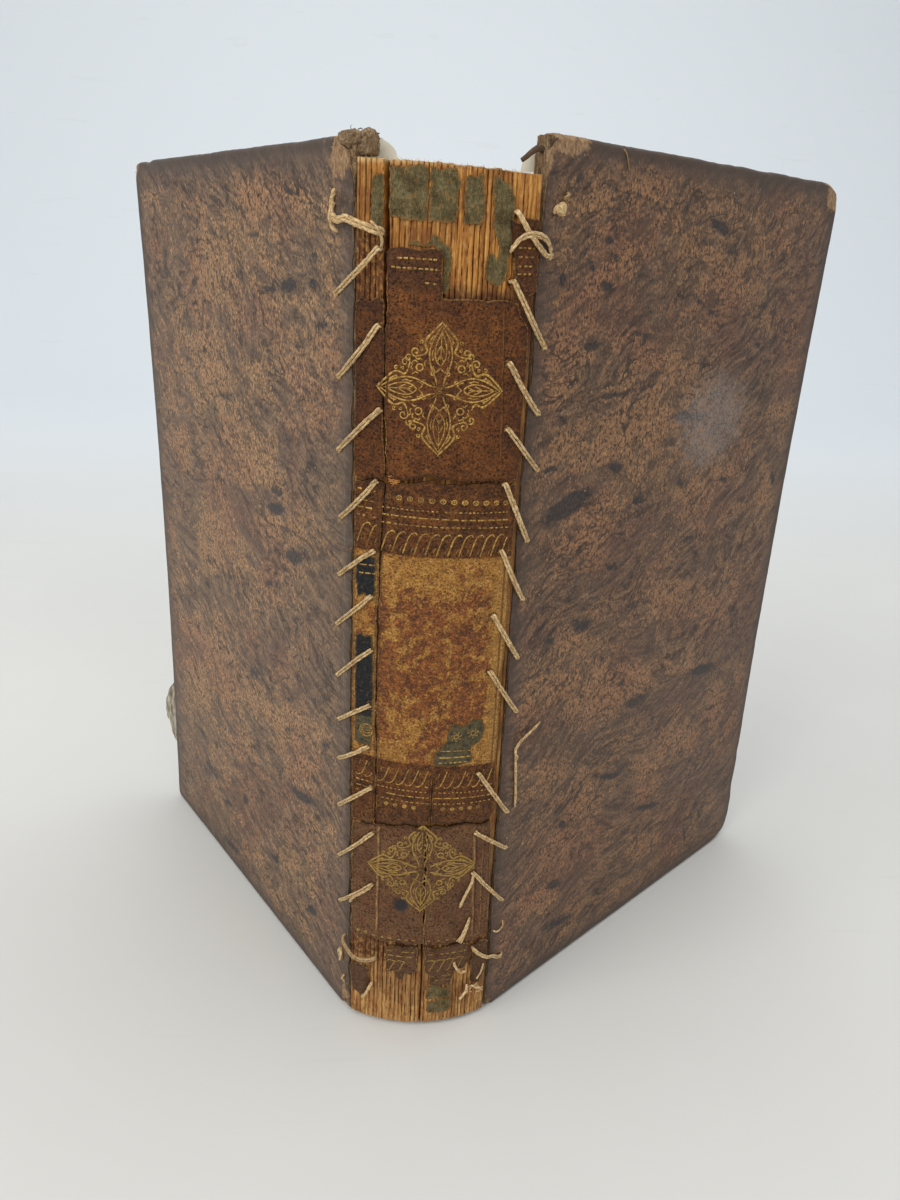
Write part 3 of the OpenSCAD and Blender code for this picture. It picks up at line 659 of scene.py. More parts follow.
def pages_material():
    """edges of the leaves: amber glue over the folds at the spine, pale stacked sheets on the other sides"""
    m = Mat("page_edges", rough=0.8, spec=0.25)
    co = m.attr("mm", "Vector")          # (across, along, which side)
    obj = m.node("ShaderNodeTexCoord").outputs["Object"]
    p = m.mm(1000, 1000, 1000, src=obj)
    fold = m.attr("fold")                # 1 on the spine, 0 on the cut edges
    # gap also drives painted shade: the folds and cut edges are darkened where it is high
    gap = m.attr("gap")                  # 1 deep between two gatherings
    soot = m.attr("soot")
    # spine
    streak = m.noise(m.mm(1.6, 0.07, 1), 1.0, 5, 0.65)
    blot = m.noise(m.mm(0.35, 0.16, 1, off=(5, 0, 0)), 1.0, 4, 0.6)
    folds = m.ramp(streak, [(0.3, lin(104, 60, 24)), (0.42, lin(150, 95, 40)), (0.54, lin(188, 131, 62)), (0.7, lin(216, 168, 95))])
    tail = m.fit(m.xyz(co)[1], 60.0, 40.0, 0, 1)
    folds = m.mix(tail, folds, m.ramp(streak, [(0.3, lin(104, 64, 30)), (0.44, lin(150, 104, 56)), (0.56, lin(184, 140, 84)), (0.7, lin(208, 170, 114))]))
    folds = m.mix(m.fit(blot, 0.46, 0.6, 0, 0.62), folds, lin(128, 74, 32))
    dirt = m.noise(m.mm(1.4, 0.45, 1, off=(0, 21, 0)), 1.0, 5, 0.7)
    folds = m.mix(m.fit(dirt, 0.54, 0.66, 0, 0.6), folds, lin(90, 50, 22))
    folds = m.mix(m.fit(m.noise(m.mm(3.0, 0.6, 1), 1.0, 4), 0.55, 0.7, 0, 0.5), folds, lin(214, 174, 108))
    top = m.fit(m.math("ADD", m.xyz(p)[2], m.math("MULTIPLY", m.noise(m.mm(2.0, 2.0, 1), 1.0, 3), 1.6)), 204.6, 205.6, 0, 0.6)
    folds = m.mix(top, folds, lin(214, 184, 130))
    # painted shade deep in the gaps between gatherings, in the crack and at the needle holes
    folds = m.mix(m.math("MULTIPLY", gap, m.fit(m.noise(m.mm(0.7, 0.12, 1, off=(4, 4, 0)), 1.0, 3), 0.4, 0.6, 0.5, 0.9)), folds, lin(46, 25, 11))
    # leather and glue left behind beside the torn edges
    sx, sz, sw = m.xyz(co)
    rag = m.math("MULTIPLY_ADD", m.noise(m.mm(0.9, 0.3, 1, off=(0, 7, 0)), 1.0, 5, 0.7), 5.0, -2.5)
    zr = m.math("ADD", sz, rag)
    sr = m.math("ADD", sx, m.math("MULTIPLY", rag, 0.5))
    left = m.math("MULTIPLY", m.math("MULTIPLY", m.fit(sr, -12.4, -12.9), m.fit(sz, 179, 180)), m.fit(zr, 193.6, 191.6))
    rim = m.math("MULTIPLY", m.math("MULTIPLY", m.fit(sz, 179, 180), m.fit(zr, 184.0, 181.8)), 0.75)
    low_l = m.math("MULTIPLY", m.math("MULTIPLY", m.fit(sr, -8.2, -9.0), m.fit(sz, 31, 30)), m.fit(zr, 19.6, 21.2))
    low_r = m.math("MULTIPLY", m.fit(sz, 31, 30), m.fit(zr, 22.0, 23.6))
    stain = m.math("MAXIMUM", m.math("MAXIMUM", left, rim), m.math("MAXIMUM", low_l, low_r))
    kept = m.noise(m.mm(1.1, 0.7, 1, off=(8, 1, 0)), 1.0, 5, 0.7)
    folds = m.mix(m.math("MULTIPLY", stain, m.fit(kept, 0.4, 0.52, 0.25, 0.95)), folds, m.ramp(kept, [(0.42, lin(96, 62, 34)), (0.56, lin(74, 40, 20)), (0.68, lin(112, 62, 30))]))
    folds = m.mix(m.math("MULTIPLY", soot, m.fit(m.noise(m.mm(0.8, 0.5, 1), 1.0, 5, 0.7), 0.3, 0.6, 0.45, 1)), folds, lin(70, 36, 18))
    # cut edges: hair-fine lines of the sheets
    u, v, w = m.xyz(co)
    lines = m.noise(m.mm(7.0, 0.05, 1), 1.0, 4, 0.7)
    broad = m.noise(m.mm(0.9, 0.02, 1), 1.0, 3, 0.6)
    leaf = m.ramp(m.math("ADD", m.math("MULTIPLY", lines, 0.78), m.math("MULTIPLY", broad, 0.22)),
                  [(0.34, lin(140, 116, 82)), (0.46, lin(184, 162, 124)), (0.56, lin(204, 186, 150)), (0.72, lin(222, 208, 176))])
    foxing = m.noise(p, 0.05, 5, 0.6)
    leaf = m.mix(m.fit(foxing, 0.5, 0.68, 0, 0.5), leaf, lin(170, 130, 80))
    # painted shade in the gaps between gatherings on the cut edges
    leaf = m.mix(m.math("MULTIPLY", gap, 0.75), leaf, lin(70, 48, 28))
    # the outermost leaves, seen flat
    nx = m.xyz(m.node("ShaderNodeTexCoord").outputs["Normal"])[0]
    flat = m.fit(m.math("ABSOLUTE", nx), 0.75, 0.92)
    paper = m.ramp(m.noise(p, 0.035, 5, 0.6), [(0.3, lin(188, 174, 144)), (0.5, lin(206, 195, 168)), (0.7, lin(218, 209, 186))])
    leaf = m.mix(flat, leaf, paper)
    base = m.mix(fold, leaf, folds)
    m.set(color=base)
    fib = m.noise(m.mm(4.0, 0.35, 1), 1.0, 4, 0.6)
    h = m.mix(fold, m.math("MULTIPLY", lines, m.math("MULTIPLY_ADD", flat, -1.2, 1.2)), m.math("ADD", m.math("MULTIPLY", streak, 0.8), m.math("MULTIPLY", fib, 0.6)))
    m.set(normal=m.bump(h, 0.14, 0.9), rough=m.fit(fold, 0, 1, 0.9, 0.66))
    return m.m


def cover_material(name, seed, tint, edge_tone, low, high, swirl, lift):
    """marbled calf: dull grey-brown with thin flowing lines, islands of orange-brown full of dark flecks, blue-grey blots"""
    m = Mat(name, rough=0.5, spec=0.3)
    off = (seed * 37.0, seed * 91.0, 0)
    raw = m.attr("mm", "Vector")
    zz = m.xyz(raw)[1]
    p = m.mm(1, 1, 1, off=off)            # (u, z, depth) of the cover
    # the flow of the pattern
    c = m.add(raw, m.vscale(m.noise(p, 0.016, 2, 0.5, color=True), 30.0 * swirl))
    c = m.add(c, m.vscale(m.noise(p, 0.06, 2, 0.5, color=True), 5.0 * swirl))
    rot = m.node("ShaderNodeVectorRotate", rotation_type="Z_AXIS")
    m.put(c, rot.inputs["Vector"])
    rot.inputs["Center"].default_value = (60, 130, 0)
    m.put(m.fit(zz, 90.0, 175.0, -math.radians(low), -math.radians(high)), rot.inputs["Angle"])
    q = rot.outputs[0]

    def stretch(kx, ky, o=0.0):
        return m.mm(kx, ky, 0.0, src=q, off=(off[0] + 7.3 * o, off[1] + 3.1 * o, 1.7 * o))
    pw = m.add(p, m.vscale(m.noise(p, 0.5, 2, 0.5, color=True), 1.2))
    fa = m.noise(m.mm(0.95, 0.62, 0, src=pw, off=(3, 1, 2)), 1.0, 2, 0.6)
    fb = m.noise(m.mm(1.9, 1.25, 0, src=pw, off=(1, 8, 5)), 1.0, 2, 0.6)
    fc = m.noise(stretch(0.13, 0.5, 3), 1.0, 4, 0.6)
    n1 = m.noise(stretch(0.035, 0.06, 4), 1.0, 2, 0.5)
    n2 = m.noise(stretch(0.15, 0.27, 5), 1.0, 6, 0.7)
    grain = m.noise(p, 4.2, 3, 0.6)
    f = m.math("ADD", m.math("MULTIPLY", fa, 0.45), m.math("MULTIPLY", fb, 0.55))
    s = m.math("ADD", m.math("MULTIPLY", fc, 0.6), m.math("MULTIPLY", fb, 0.4))
    base = m.ramp(s, [(0.36, lin(72, 59, 50)), (0.45, lin(92, 76, 64)), (0.54, lin(106, 88, 74)), (0.64, lin(130, 109, 89))])
    hue = m.noise(p, 0.035, 3)
    base = m.mix(m.fit(hue, 0.5, 0.62, 0, 0.42), base, lin(102, 72, 58))
    base = m.mix(m.fit(hue, 0.48, 0.38, 0, 0.14), base, lin(104, 90, 66))
    mask = m.math("ADD", m.math("MULTIPLY", n1, 0.2), m.math("MULTIPLY", n2, 0.52))
    mask = m.math("ADD", mask, m.math("ADD", m.math("MULTIPLY", fa, 0.16), m.math("MULTIPLY", fb, 0.08)))
    mask = m.math("ADD", mask, m.math("MULTIPLY", m.attr("isle"), 0.085))
    isl = m.fit(mask, 0.467, 0.535, 0, 1)
    orange = m.ramp(f, [(0.4, lin(54, 42, 36)), (0.44, lin(94, 73, 54)), (0.475, lin(132, 103, 73)), (0.56, lin(152, 121, 86)), (0.66, lin(176, 144, 106))])
    red = m.ramp(f, [(0.4, lin(55, 42, 38)), (0.44, lin(94, 69, 54)), (0.475, lin(130, 96, 68)), (0.56, lin(148, 113, 82)), (0.66, lin(168, 134, 101))])
    orange = m.mix(m.fit(hue, 0.48, 0.62, 0, 0.8), orange, red)
    base = m.mix(m.math("MULTIPLY", isl, 0.8), base, orange)
    # a scatter of flecks outside the islands too
    scat = m.fit(m.noise(p, 0.07, 3), 0.4, 0.6, 0.25, 0.9)
    base = m.mix(m.math("MULTIPLY", m.fit(f, 0.44, 0.4, 0, 0.7), scat), base, lin(60, 49, 44))
    base = m.mix(m.math("MULTIPLY", m.fit(f, 0.55, 0.64, 0, 0.5), scat), base, lin(146, 114, 84))
    # thin dark lines along the flow
    for kx, ky, o, turns, a in ((0.03, 0.075, 6, 12.0, 0.8), (0.065, 0.15, 7, 8.0, 0.65)):
        g = m.math("MULTIPLY", m.noise(stretch(kx, ky, o), 1.0, 4, 0.52), turns)
        v = m.math("PINGPONG", g, 0.5)
        zone = m.fit(m.noise(m.mm(0.05, 0.05, 0, src=p, off=(o, 2, 0)), 1.0, 4, 0.6), 0.44, 0.56, 0, 1)
        zone = m.math("MULTIPLY", zone, m.fit(fb, 0.36, 0.5, 0.5, 1))
        base = m.mix(m.math("MULTIPLY", m.math("MULTIPLY", m.fit(v, 0.11, 0.03), zone), a), base, lin(54, 43, 38))
        base = m.mix(m.math("MULTIPLY", m.math("MULTIPLY", m.fit(v, 0.36, 0.46), zone), a * 0.5), base, lin(140, 110, 80))
    # blue-grey blots
    b = m.math("ADD", m.attr("blot"), m.math("ADD", m.math("MULTIPLY_ADD", n2, 2.2, -1.1), m.math("MULTIPLY_ADD", fa, 1.3, -0.65)))
    base = m.mix(m.fit(b, 0.24, 0.6, 0, 0.88, True), base, m.mix(m.fit(fb, 0.42, 0.56), lin(50, 47, 52), lin(66, 61, 62)))
    few = m.math("ADD", m.math("MULTIPLY", m.noise(stretch(0.13, 0.24, 8), 1.0, 4, 0.65), 0.72), m.math("MULTIPLY", fa, 0.28))
    base = m.mix(m.fit(few, 0.575, 0.63, 0, 0.6), base, lin(62, 55, 54))
    base = m.times(base, m.fit(m.noise(p, 1.6, 2, 0.6), 0.34, 0.66, 0.86, 1.14))
    # tint: the front cover's copy is tinted darker and warmer; its darkening is painted shade
    base = m.mix(1.0, base, lin(*tint), "MULTIPLY")
    deep = m.node("ShaderNodeGamma")
    m.put(base, deep.inputs["Color"])
    deep.inputs["Gamma"].default_value = 1.32
    dull = m.node("ShaderNodeHueSaturation")
    m.put(deep.outputs[0], dull.inputs["Color"])
    dull.inputs["Saturation"].default_value = 0.9
    base = m.mix(1.0, dull.outputs[0], (*lift, 1), "MULTIPLY")
    # rubbing and edges
    e = m.attr("edge")
    en = m.math("ADD", e, m.math("MULTIPLY_ADD", m.noise(p, 0.25, 4, 0.6), 8.0, -4.0))
    base = m.mix(m.fit(en, 8.5, 1.0, 0, 0.8, True), base, m.mix(m.fit(fc, 0.35, 0.65), lin(*[v * 0.86 for v in edge_tone]), lin(*[v * 1.14 for v in edge_tone])))
    rim = m.math("ADD", e, m.math("MULTIPLY_ADD", m.noise(p, 0.4, 4, 0.65), 3.0, -1.5))
    base = m.mix(m.fit(rim, 3.8, 1.6, 0, 0.62, True), base, lin(*[v * 0.9 for v in edge_tone]))
    worn = m.math("ADD", m.attr("worn"), m.math("MULTIPLY_ADD", m.noise(p, 0.8, 4, 0.7), 1.0, -0.5))
    bare = m.ramp(m.noise(m.mm(1.4, 0.8, 2.0), 1.1, 4, 0.7), [(0.32, lin(84, 62, 42)), (0.46, lin(134, 104, 74)), (0.6, lin(158, 128, 96)), (0.72, lin(178, 150, 114))])
    base = m.mix(m.fit(worn, 0.42, 0.6, 0, 1), base, bare)
    scuff = m.attr("scuff")
    sc = m.math("MULTIPLY", m.fit(m.math("ADD", scuff, m.math("MULTIPLY_ADD", m.noise(p, 0.3, 5, 0.7), 1.9, -0.95)), 0.25, 0.75), m.fit(m.noise(p, 1.5, 4, 0.8), 0.43, 0.56, 0.1, 1))
    base = m.mix(m.math("MULTIPLY", sc, 0.64), base, lin(142, 130, 123))
    # pale scratches down the edge beside the joint
    up, zp, dp = m.xyz(raw)
    sway = m.math("MULTIPLY_ADD", m.noise(m.mm(0, 0.09, 0, off=off), 1.0, 4, 0.65), 4.6, 0.3)
    line = m.fit(m.math("ABSOLUTE", m.math("SUBTRACT", up, sway)), 0.42, 0.1)
    line = m.math("MULTIPLY", line, m.fit(m.noise(m.mm(1.5, 0.12, 0, off=off), 1.0, 5, 0.7), 0.47, 0.58))
    base = m.mix(m.math("MULTIPLY", m.math("MULTIPLY", line, m.fit(zp, 188, 176)), m.math("MULTIPLY", m.fit(zp, 30, 45), 0.2 if seed == 1 else 0.05)), base, lin(156, 146, 140))
    dust = m.fit(m.cells(m.mm(1, 1, 1, off=(5, 5, 0)), 0.16), 0.045, 0.025, 0, 0.8)
    base = m.mix(dust, base, lin(168, 150, 120))
    m.set(color=base)
    h = m.math("ADD", m.math("MULTIPLY", grain, 0.5), m.math("MULTIPLY", f, 1.0))
    h = m.math("ADD", h, m.math("MULTIPLY", s, 0.5))
    m.set(normal=m.bump(h, 0.13, 0.75))
    m.set(rough=m.fit(m.math("ADD", m.math("MULTIPLY", f, 0.5), m.math("MULTIPLY", worn, 0.3)), 0.1, 0.7, 0.42, 0.8))
    return m.m


def board_material():
    """pulpy pasteboard, frayed in layers"""
    m = Mat("pasteboard", rough=0.92, spec=0.2)
    co = m.attr("mm", "Vector")           # (u, z, depth)
    lay = m.noise(m.mm(0.35, 0.35, 5.5), 1.0, 4, 0.65)
    fib = m.noise(m.mm(1.2, 2.6, 3.0), 1.0, 5, 0.7)
    base = m.ramp(m.math("ADD", m.math("MULTIPLY", lay, 0.55), m.math("MULTIPLY", fib, 0.45)),
                  [(0.34, lin(62, 47, 34)), (0.44, lin(108, 86, 62)), (0.53, lin(150, 124, 94)), (0.68, lin(188, 164, 130))])
    base = m.mix(m.fit(m.noise(co, 0.3, 4), 0.45, 0.62, 0, 0.5), base, lin(76, 60, 42))
    m.set(color=base, normal=m.bump(m.math("ADD", lay, fib), 0.3, 1.0))
    return m.m


def endpaper_material():
    m = Mat("endpaper", rough=0.9, spec=0.22)
    co = m.attr("mm", "Vector")
    base = m.ramp(m.noise(co, 0.035, 5, 0.6), [(0.3, lin(196, 190, 172)), (0.5, lin(214, 210, 196)), (0.7, lin(224, 222, 212))])
    base = m.mix(m.fit(m.noise(co, 0.16, 5, 0.65), 0.56, 0.72, 0, 0.4), base, lin(186, 164, 124))
    fox = m.fit(m.cells(co, 0.075), 0.09, 0.03, 0, 0.5)
    base = m.mix(m.math("MULTIPLY", fox, m.fit(m.noise(co, 0.05, 2), 0.4, 0.6)), base, lin(158, 120, 78))
    e = m.math("ADD", m.attr("edge"), m.math("MULTIPLY", m.noise(co, 0.2, 4), 8.0))
    base = m.mix(m.fit(e, 12.0, 3.0, 0, 0.7, True), base, lin(176, 152, 112))
    lay = m.fit(m.math("ADD", m.attr("soil"), m.math("MULTIPLY_ADD", m.noise(co, 0.7, 4, 0.7), 0.8, -0.4)), 0.3, 0.75)
    base = m.mix(lay, base, m.ramp(m.noise(m.mm(2.4, 0.4, 1), 0.5, 4), [(0.36, lin(112, 97, 80)), (0.5, lin(156, 146, 128)), (0.62, lin(190, 185, 170))]))
    chain = m.math("POWER", m.math("ABSOLUTE", m.math("SINE", m.math("MULTIPLY", m.xyz(co)[1], 0.125))), 60.0)
    h = m.math("ADD", m.noise(co, 2.4, 4, 0.6), m.math("MULTIPLY", chain, 0.6))
    m.set(color=base, normal=m.bump(h, 0.05, 0.6))
    return m.m


def twine_material():
    m = Mat("linen_twine", rough=0.85, spec=0.2)
    co = m.attr("mm", "Vector")           # (along, round, which)
    ply = m.noise(m.mm(0.45, 0.9, 1), 1.0, 3, 0.6)
    fib = m.noise(m.mm(1.5, 2.6, 1), 1.0, 5, 0.7)
    base = m.ramp(fib, [(0.32, lin(110, 80, 48)), (0.45, lin(184, 151, 104)), (0.57, lin(220, 192, 146)), (0.72, lin(238, 220, 182))])
    # darker in patches of the ply noise: painted shade standing for the groove between the two plies
    base = m.mix(m.fit(ply, 0.36, 0.56, 0.4, 0), base, lin(112, 80, 46))
    base = m.mix(m.math("MULTIPLY", m.attr("dirt"), m.fit(m.noise(m.mm(0.6, 0.5, 1), 1.0, 4), 0.3, 0.6, 0.4, 1)), base, lin(96, 66, 36))
    m.set(color=base, normal=m.bump(m.math("ADD", fib, ply), 0.1, 0.9))
    return m.m


def fibre_material(name, a, b):
    m = Mat(name, rough=0.85, spec=0.25)
    co = m.attr("mm", "Vector")
    m.set(color=m.ramp(m.noise(m.mm(1.5, 1.5, 1), 1.0, 4, 0.6), [(0.35, lin(*a)), (0.65, lin(*b))]))
    m.set(normal=m.bump(m.noise(m.mm(4, 2, 1), 1.0, 3), 0.05, 0.8))
    return m.m


def cord_material():
    m = Mat("sewing_cord", rough=0.85, spec=0.2)
    p = m.mm(1000, 1000, 1000, src=m.node("ShaderNodeTexCoord").outputs["Object"])
    n = m.noise(p, 1.1, 5, 0.65)
    m.set(color=m.ramp(n, [(0.32, lin(96, 74, 44)), (0.52, lin(146, 118, 76)), (0.72, lin(178, 152, 108))]))
    m.set(normal=m.bump(m.noise(p, 2.5, 3), 0.1, 0.8))
    return m.m


M_SPINE = spine_leather_material()
M_GILT = gilt_material()
M_LABEL = black_label_material()
M_LINING = lining_material()
M_PAGES = pages_material()
M_REAR = cover_material("marbled_calf_rear", 1, (255, 255, 255), (82, 69, 60), 20.0, 33.0, 0.9, (1.99, 1.98, 1.84))
# the front copy's darker tint is painted shade of the cover turned from the light
M_FRONT = cover_material("marbled_calf_front", 2, (238, 230, 222), (77, 62, 53), 19.0, 30.0, 1.25, (1.97, 1.97, 1.86))
M_BOARD = board_material()
M_PAPER = endpaper_material()
M_TWINE = twine_material()
M_FIBRE = fibre_material("leather_fibre", (120, 88, 54), (188, 152, 104))
M_TWIG = fibre_material("dark_fibre", (48, 36, 30), (104, 82, 60))
M_CORD = cord_material()

# ------------------------------------------------------------------ lacing
REAR_ROWS = [(-12.8, 192.3, 6.5, 194.6), (-13.2, 189.4, 6, 180.6), (-13, 175.4, 4.8, 164.4), (-12.4, 159.3, 4.7, 149.3),
             (-12.9, 144.6, 3.6, 135), (-13.2, 129.5, 4.2, 121.7), (-13.6, 119.2, 5.2, 109.5), (-13.4, 106.5, 5, 96.7),
             (-13.6, 92.8, 4.2, 85.6), (-14, 82, 4.2, 75), (-13.1, 71.2, 4.1, 62), (-12.6, 58.7, 4, 47.4),
             (-12.4, 43.9, 3.6, 33.7), (-12.6, 19, 3, 22)]
FRONT_ROWS = [(12.8, 197, 3.4, 188.8), (12.6, 184.6, 2.8, 172), (12.8, 169.2, 2.4, 158.7), (13.4, 156.2, 3.6, 146.6),
              (13.6, 144.6, 2, 131.1), (13.8, 130.1, 2, 117.5), (12.9, 115.2, 1.8, 103.1), (13, 101.7, 2.9, 88.9),
              (11.9, 75.5, 2.4, 61.3), (12.2, 59, 3.1, 50.4), (12.2, 47.3, 3.1, 34.4), (12.8, 21, 3.2, 15.6)]
HOLES += [(float(arc(r[0])), r[1]) for r in REAR_ROWS + FRONT_ROWS]

# ------------------------------------------------------------------ text block
GATHER = 1.12                                 # width of one gathering across the spine


def block():
    half, depth, hollow, tail, head = 13.6, 123.0, 4.0, 1.2, 204.5
    # heights: close together where the folds are bare
    zs = np.concatenate([np.linspace(0, 1, 3, endpoint=False) * 0.9, 0.9 + np.linspace(0, 27, 66, endpoint=False),
                         27.9 + np.linspace(0, 146, 26, endpoint=False), 173.9 + np.linspace(0, 29.6, 74)]) + tail
    nz = len(zs)
    top0 = zs[-1]
    # the section goes round: spine from left to right, then the front side, fore-edge, rear side
    smax = S1 * math.asin(17.55 / R)
    sp = np.arange(-smax, smax + 1e-6, 0.135)
    ns = len(sp)
    shoulder_r = np.array([[17.2, 0.5], [15.4, 0.35], [14.1, 0.3], [13.6, 1.2]])
    ys = np.concatenate([np.linspace(3, 30, 10), np.linspace(34, 118, 22)])
    fore_t = np.linspace(0, 1, 150)[1:-1]
    V, A_mm, A_fold, A_gap, A_soot = [], [], [], [], []

    def squeeze(y, z):                        # the leaves are pressed thinner under the warped boards
        return 1.15 * np.clip((y - 3) / 120, 0, 1) ** 1.6 * (1 - ((z - 104) / 104) ** 2)
    for z in zs:
        row, mmv, fold, gap, soot = [], [], [], [], []
        t_head = smooth(170, 205, z)
        # gatherings bend slightly and are parted irregularly
        wob = 0.16 * fbm(sp, z, 0.06, 3, 2) + 0.07 * fbm(sp, z, 0.5, 4, 2) + 0.5 * fbm(sp, 0 * sp, 0.33, 6, 2)
        ph = (sp + wob) / GATHER
        cell = np.floor(ph)
        fr = ph - cell - 0.5                   # -0.5..0.5 inside one gathering
        width = 0.40 + 0.06 * _hash(cell.astype(np.int64), np.full(ns, 7), np.full(ns, 3), 5)
        ridge = np.sqrt(np.clip(1 - (fr / 0.5) ** 2, 0, 1))
        openness = np.clip(0.5 + 0.9 * fbm(cell * 3.7, z, 0.09, 8, 3) + 0.25 * _hash(cell.astype(np.int64), np.zeros(ns, np.int64), np.zeros(ns, np.int64), 2), 0.06, 1)
        g = smooth(width, 0.5, np.abs(fr)) * openness
        r = R - 0.05 - 0.22 * (1 - ridge) - 0.62 * g + 0.09 * fbm(sp * 1.2, z * 0.25, 1.0, 12, 3) - 0.1
        # cracks where the leaves have parted
        for sc, zc0, zc1, wd in ((arc(-12.25), 175.0, 300.0, 0.42), (0.35, -5.0, 29.5, 0.13)):
            bend = 0.25 * math.sin(z * 0.11 + sc)
            k = smooth(wd + 0.2, wd - 0.12, np.abs(sp - sc - bend)) * smooth(zc0 - 3, zc0, z) * (1 - smooth(zc1, zc1 + 3, z))
            r = r - (2.6 if sc < 0 else 1.1) * k + (0.0 if sc < 0 else 0.22) * np.exp(-((sp - sc - bend - 0.5) / 0.3) ** 2) * smooth(zc1 + 3, zc1, z)
            g = np.maximum(g, k)
        for hs, hz in HOLES:
            if abs(hz - z) < 1.2:
                k = np.exp(-(((sp - hs) / 0.5) ** 2 + ((z - hz) / 0.6) ** 2))
                r = r - 1.2 * k
                g = np.maximum(g, k)
        covered = smooth(27.2, 29.5, z) * (1 - smooth(178.5, 180.5, z))
        g = np.maximum(g, covered * (0.72 + 0.2 * fbm(sp, z, 0.5, 14, 2)))
        row.append(spine(sp, z, r))
        mmv.append(np.stack([sp, np.full(ns, z), np.zeros(ns)], 1))
        fold.append(np.ones(ns))
        gap.append(g)
        soot.append(np.full(ns, 0.0) + 0.8 * smooth(184.5, 181.0, z) * smooth(160, 176, z) * (sp > -3) + 0.35 * (fbm(sp, z, 0.12, 31) > 0.35))
        # sides and fore-edge
        xs = [(p[0] - 0.0, p[1]) for p in shoulder_r]
        sides = xs + [(half - squeeze(y, z), y) for y in ys]
        xe, ye = half - squeeze(122.0, z), depth
        fr_ = (half ** 2 + hollow ** 2) / (2 * hollow)
        fx = xe * (1 - 2 * fore_t)
        jag = 0.1 * fbm(fx * 7, z * 0.04, 1.0, 40, 2)
        fy = depth - hollow + fr_ - np.sqrt(np.maximum(fr_ ** 2 - (fx * half / xe) ** 2, 0)) - 0.1 + jag
        edge = np.stack([fx, fy], 1)
        left = [(-(half - squeeze(y, z)), y) for y in ys[::-1]] + [(-p[0], p[1]) for p in shoulder_r[::-1]]
        ring = np.array(sides + [(xe, ye - 0.3)] + edge.tolist() + [(-xe, ye - 0.3)] + left)
        m_ = len(ring)
        row.append(np.column_stack([ring, np.full(m_, z)]))
        lab = np.zeros((m_, 3))
        lab[:, 0] = ring[:, 0]
        lab[:, 1] = z
        lab[:, 2] = 9
        k0, k1 = len(sides), len(sides) + len(edge) + 2
        lab[:k0, 0] = half + 0.3 * np.arange(k0)
        lab[k1:, 0] = -half - 0.3 * np.arange(m_ - k1)
        mmv.append(lab)
        fold.append(np.concatenate([np.linspace(1, 0, 4), np.zeros(m_ - 8), np.linspace(0, 1, 4)]))
        gp = np.zeros(m_)
        gp[k0:k1] = np.clip(-fbm(ring[k0:k1, 0] * 9, z * 0.03, 1.0, 44, 2), 0, 1) * 0.5
        gap.append(gp)
        soot.append(np.zeros(m_))
        V.append(np.vstack(row))
        A_mm.append(np.vstack(mmv))
        A_fold.append(np.concatenate(fold))
        A_gap.append(np.concatenate(gap))
        A_soot.append(np.concatenate(soot))
    n = len(V[0])
    V = np.array(V)
    # the head slopes down to the right; gatherings end a little unevenly
    x = V[-1, :, 0]
    lift_h = (head - x * math.tan(math.radians(2.4))) - top0
    for k in range(nz):
        t = smooth(172, top0, zs[k])
        V[k, :, 2] += t * lift_h
    cells_ = np.floor((V[-1, :ns, 0] + 40) / GATHER).astype(np.int64)
    uneven = 0.22 * _hash(cells_, cells_ * 0, cells_ * 0, 77) - 0.12
    for k in range(nz):
        V[k, :ns, 2] += smooth(196, top0, zs[k]) * uneven
    verts = V.reshape(-1, 3)
    k = np.arange(n)
    quads = np.vstack([np.stack([i * n + k, i * n + (k + 1) % n, (i + 1) * n + (k + 1) % n, (i + 1) * n + k], 1) for i in range(nz - 1)])
    mmv = np.vstack(A_mm)
    # gap: depth of the parting between gatherings, painted as shade on the leaves
    attrs = {"fold": np.concatenate(A_fold), "gap": np.concatenate(A_gap), "soot": np.clip(np.concatenate(A_soot), 0, 1)}
    # caps: a grid across the leaves, row by row from the spine back, joined to the ring
    faces = [quads]
    extra_v, extra_m = [], []
    base = len(verts)
    tris_all = []
    for end, ridx in (("tail", 0), ("head", nz - 1)):
        ring = V[ridx]
        loop = ring[:, :2]
        gx = np.arange(-13.0, 13.01, 0.42)
        gy = np.concatenate([np.arange(-3.6, 1.0, 0.9), np.arange(2.0, 118.5, 3.2)])
        q = np.array([(a, b) for b in gy for a in gx])
        q = q[inside(loop, q)]
        q = q[edge_distance([loop], q) > 0.5]
        pts = np.vstack([loop, q])
        ed = [(i, (i + 1) % n) for i in range(n)]
        v2, _, f2, orig, _, _ = delaunay_2d_cdt([Vector(p) for p in pts.tolist()], ed, [], 1, 1e-7)
        f2 = np.array([t for t in f2 if len(t) == 3], np.int64)
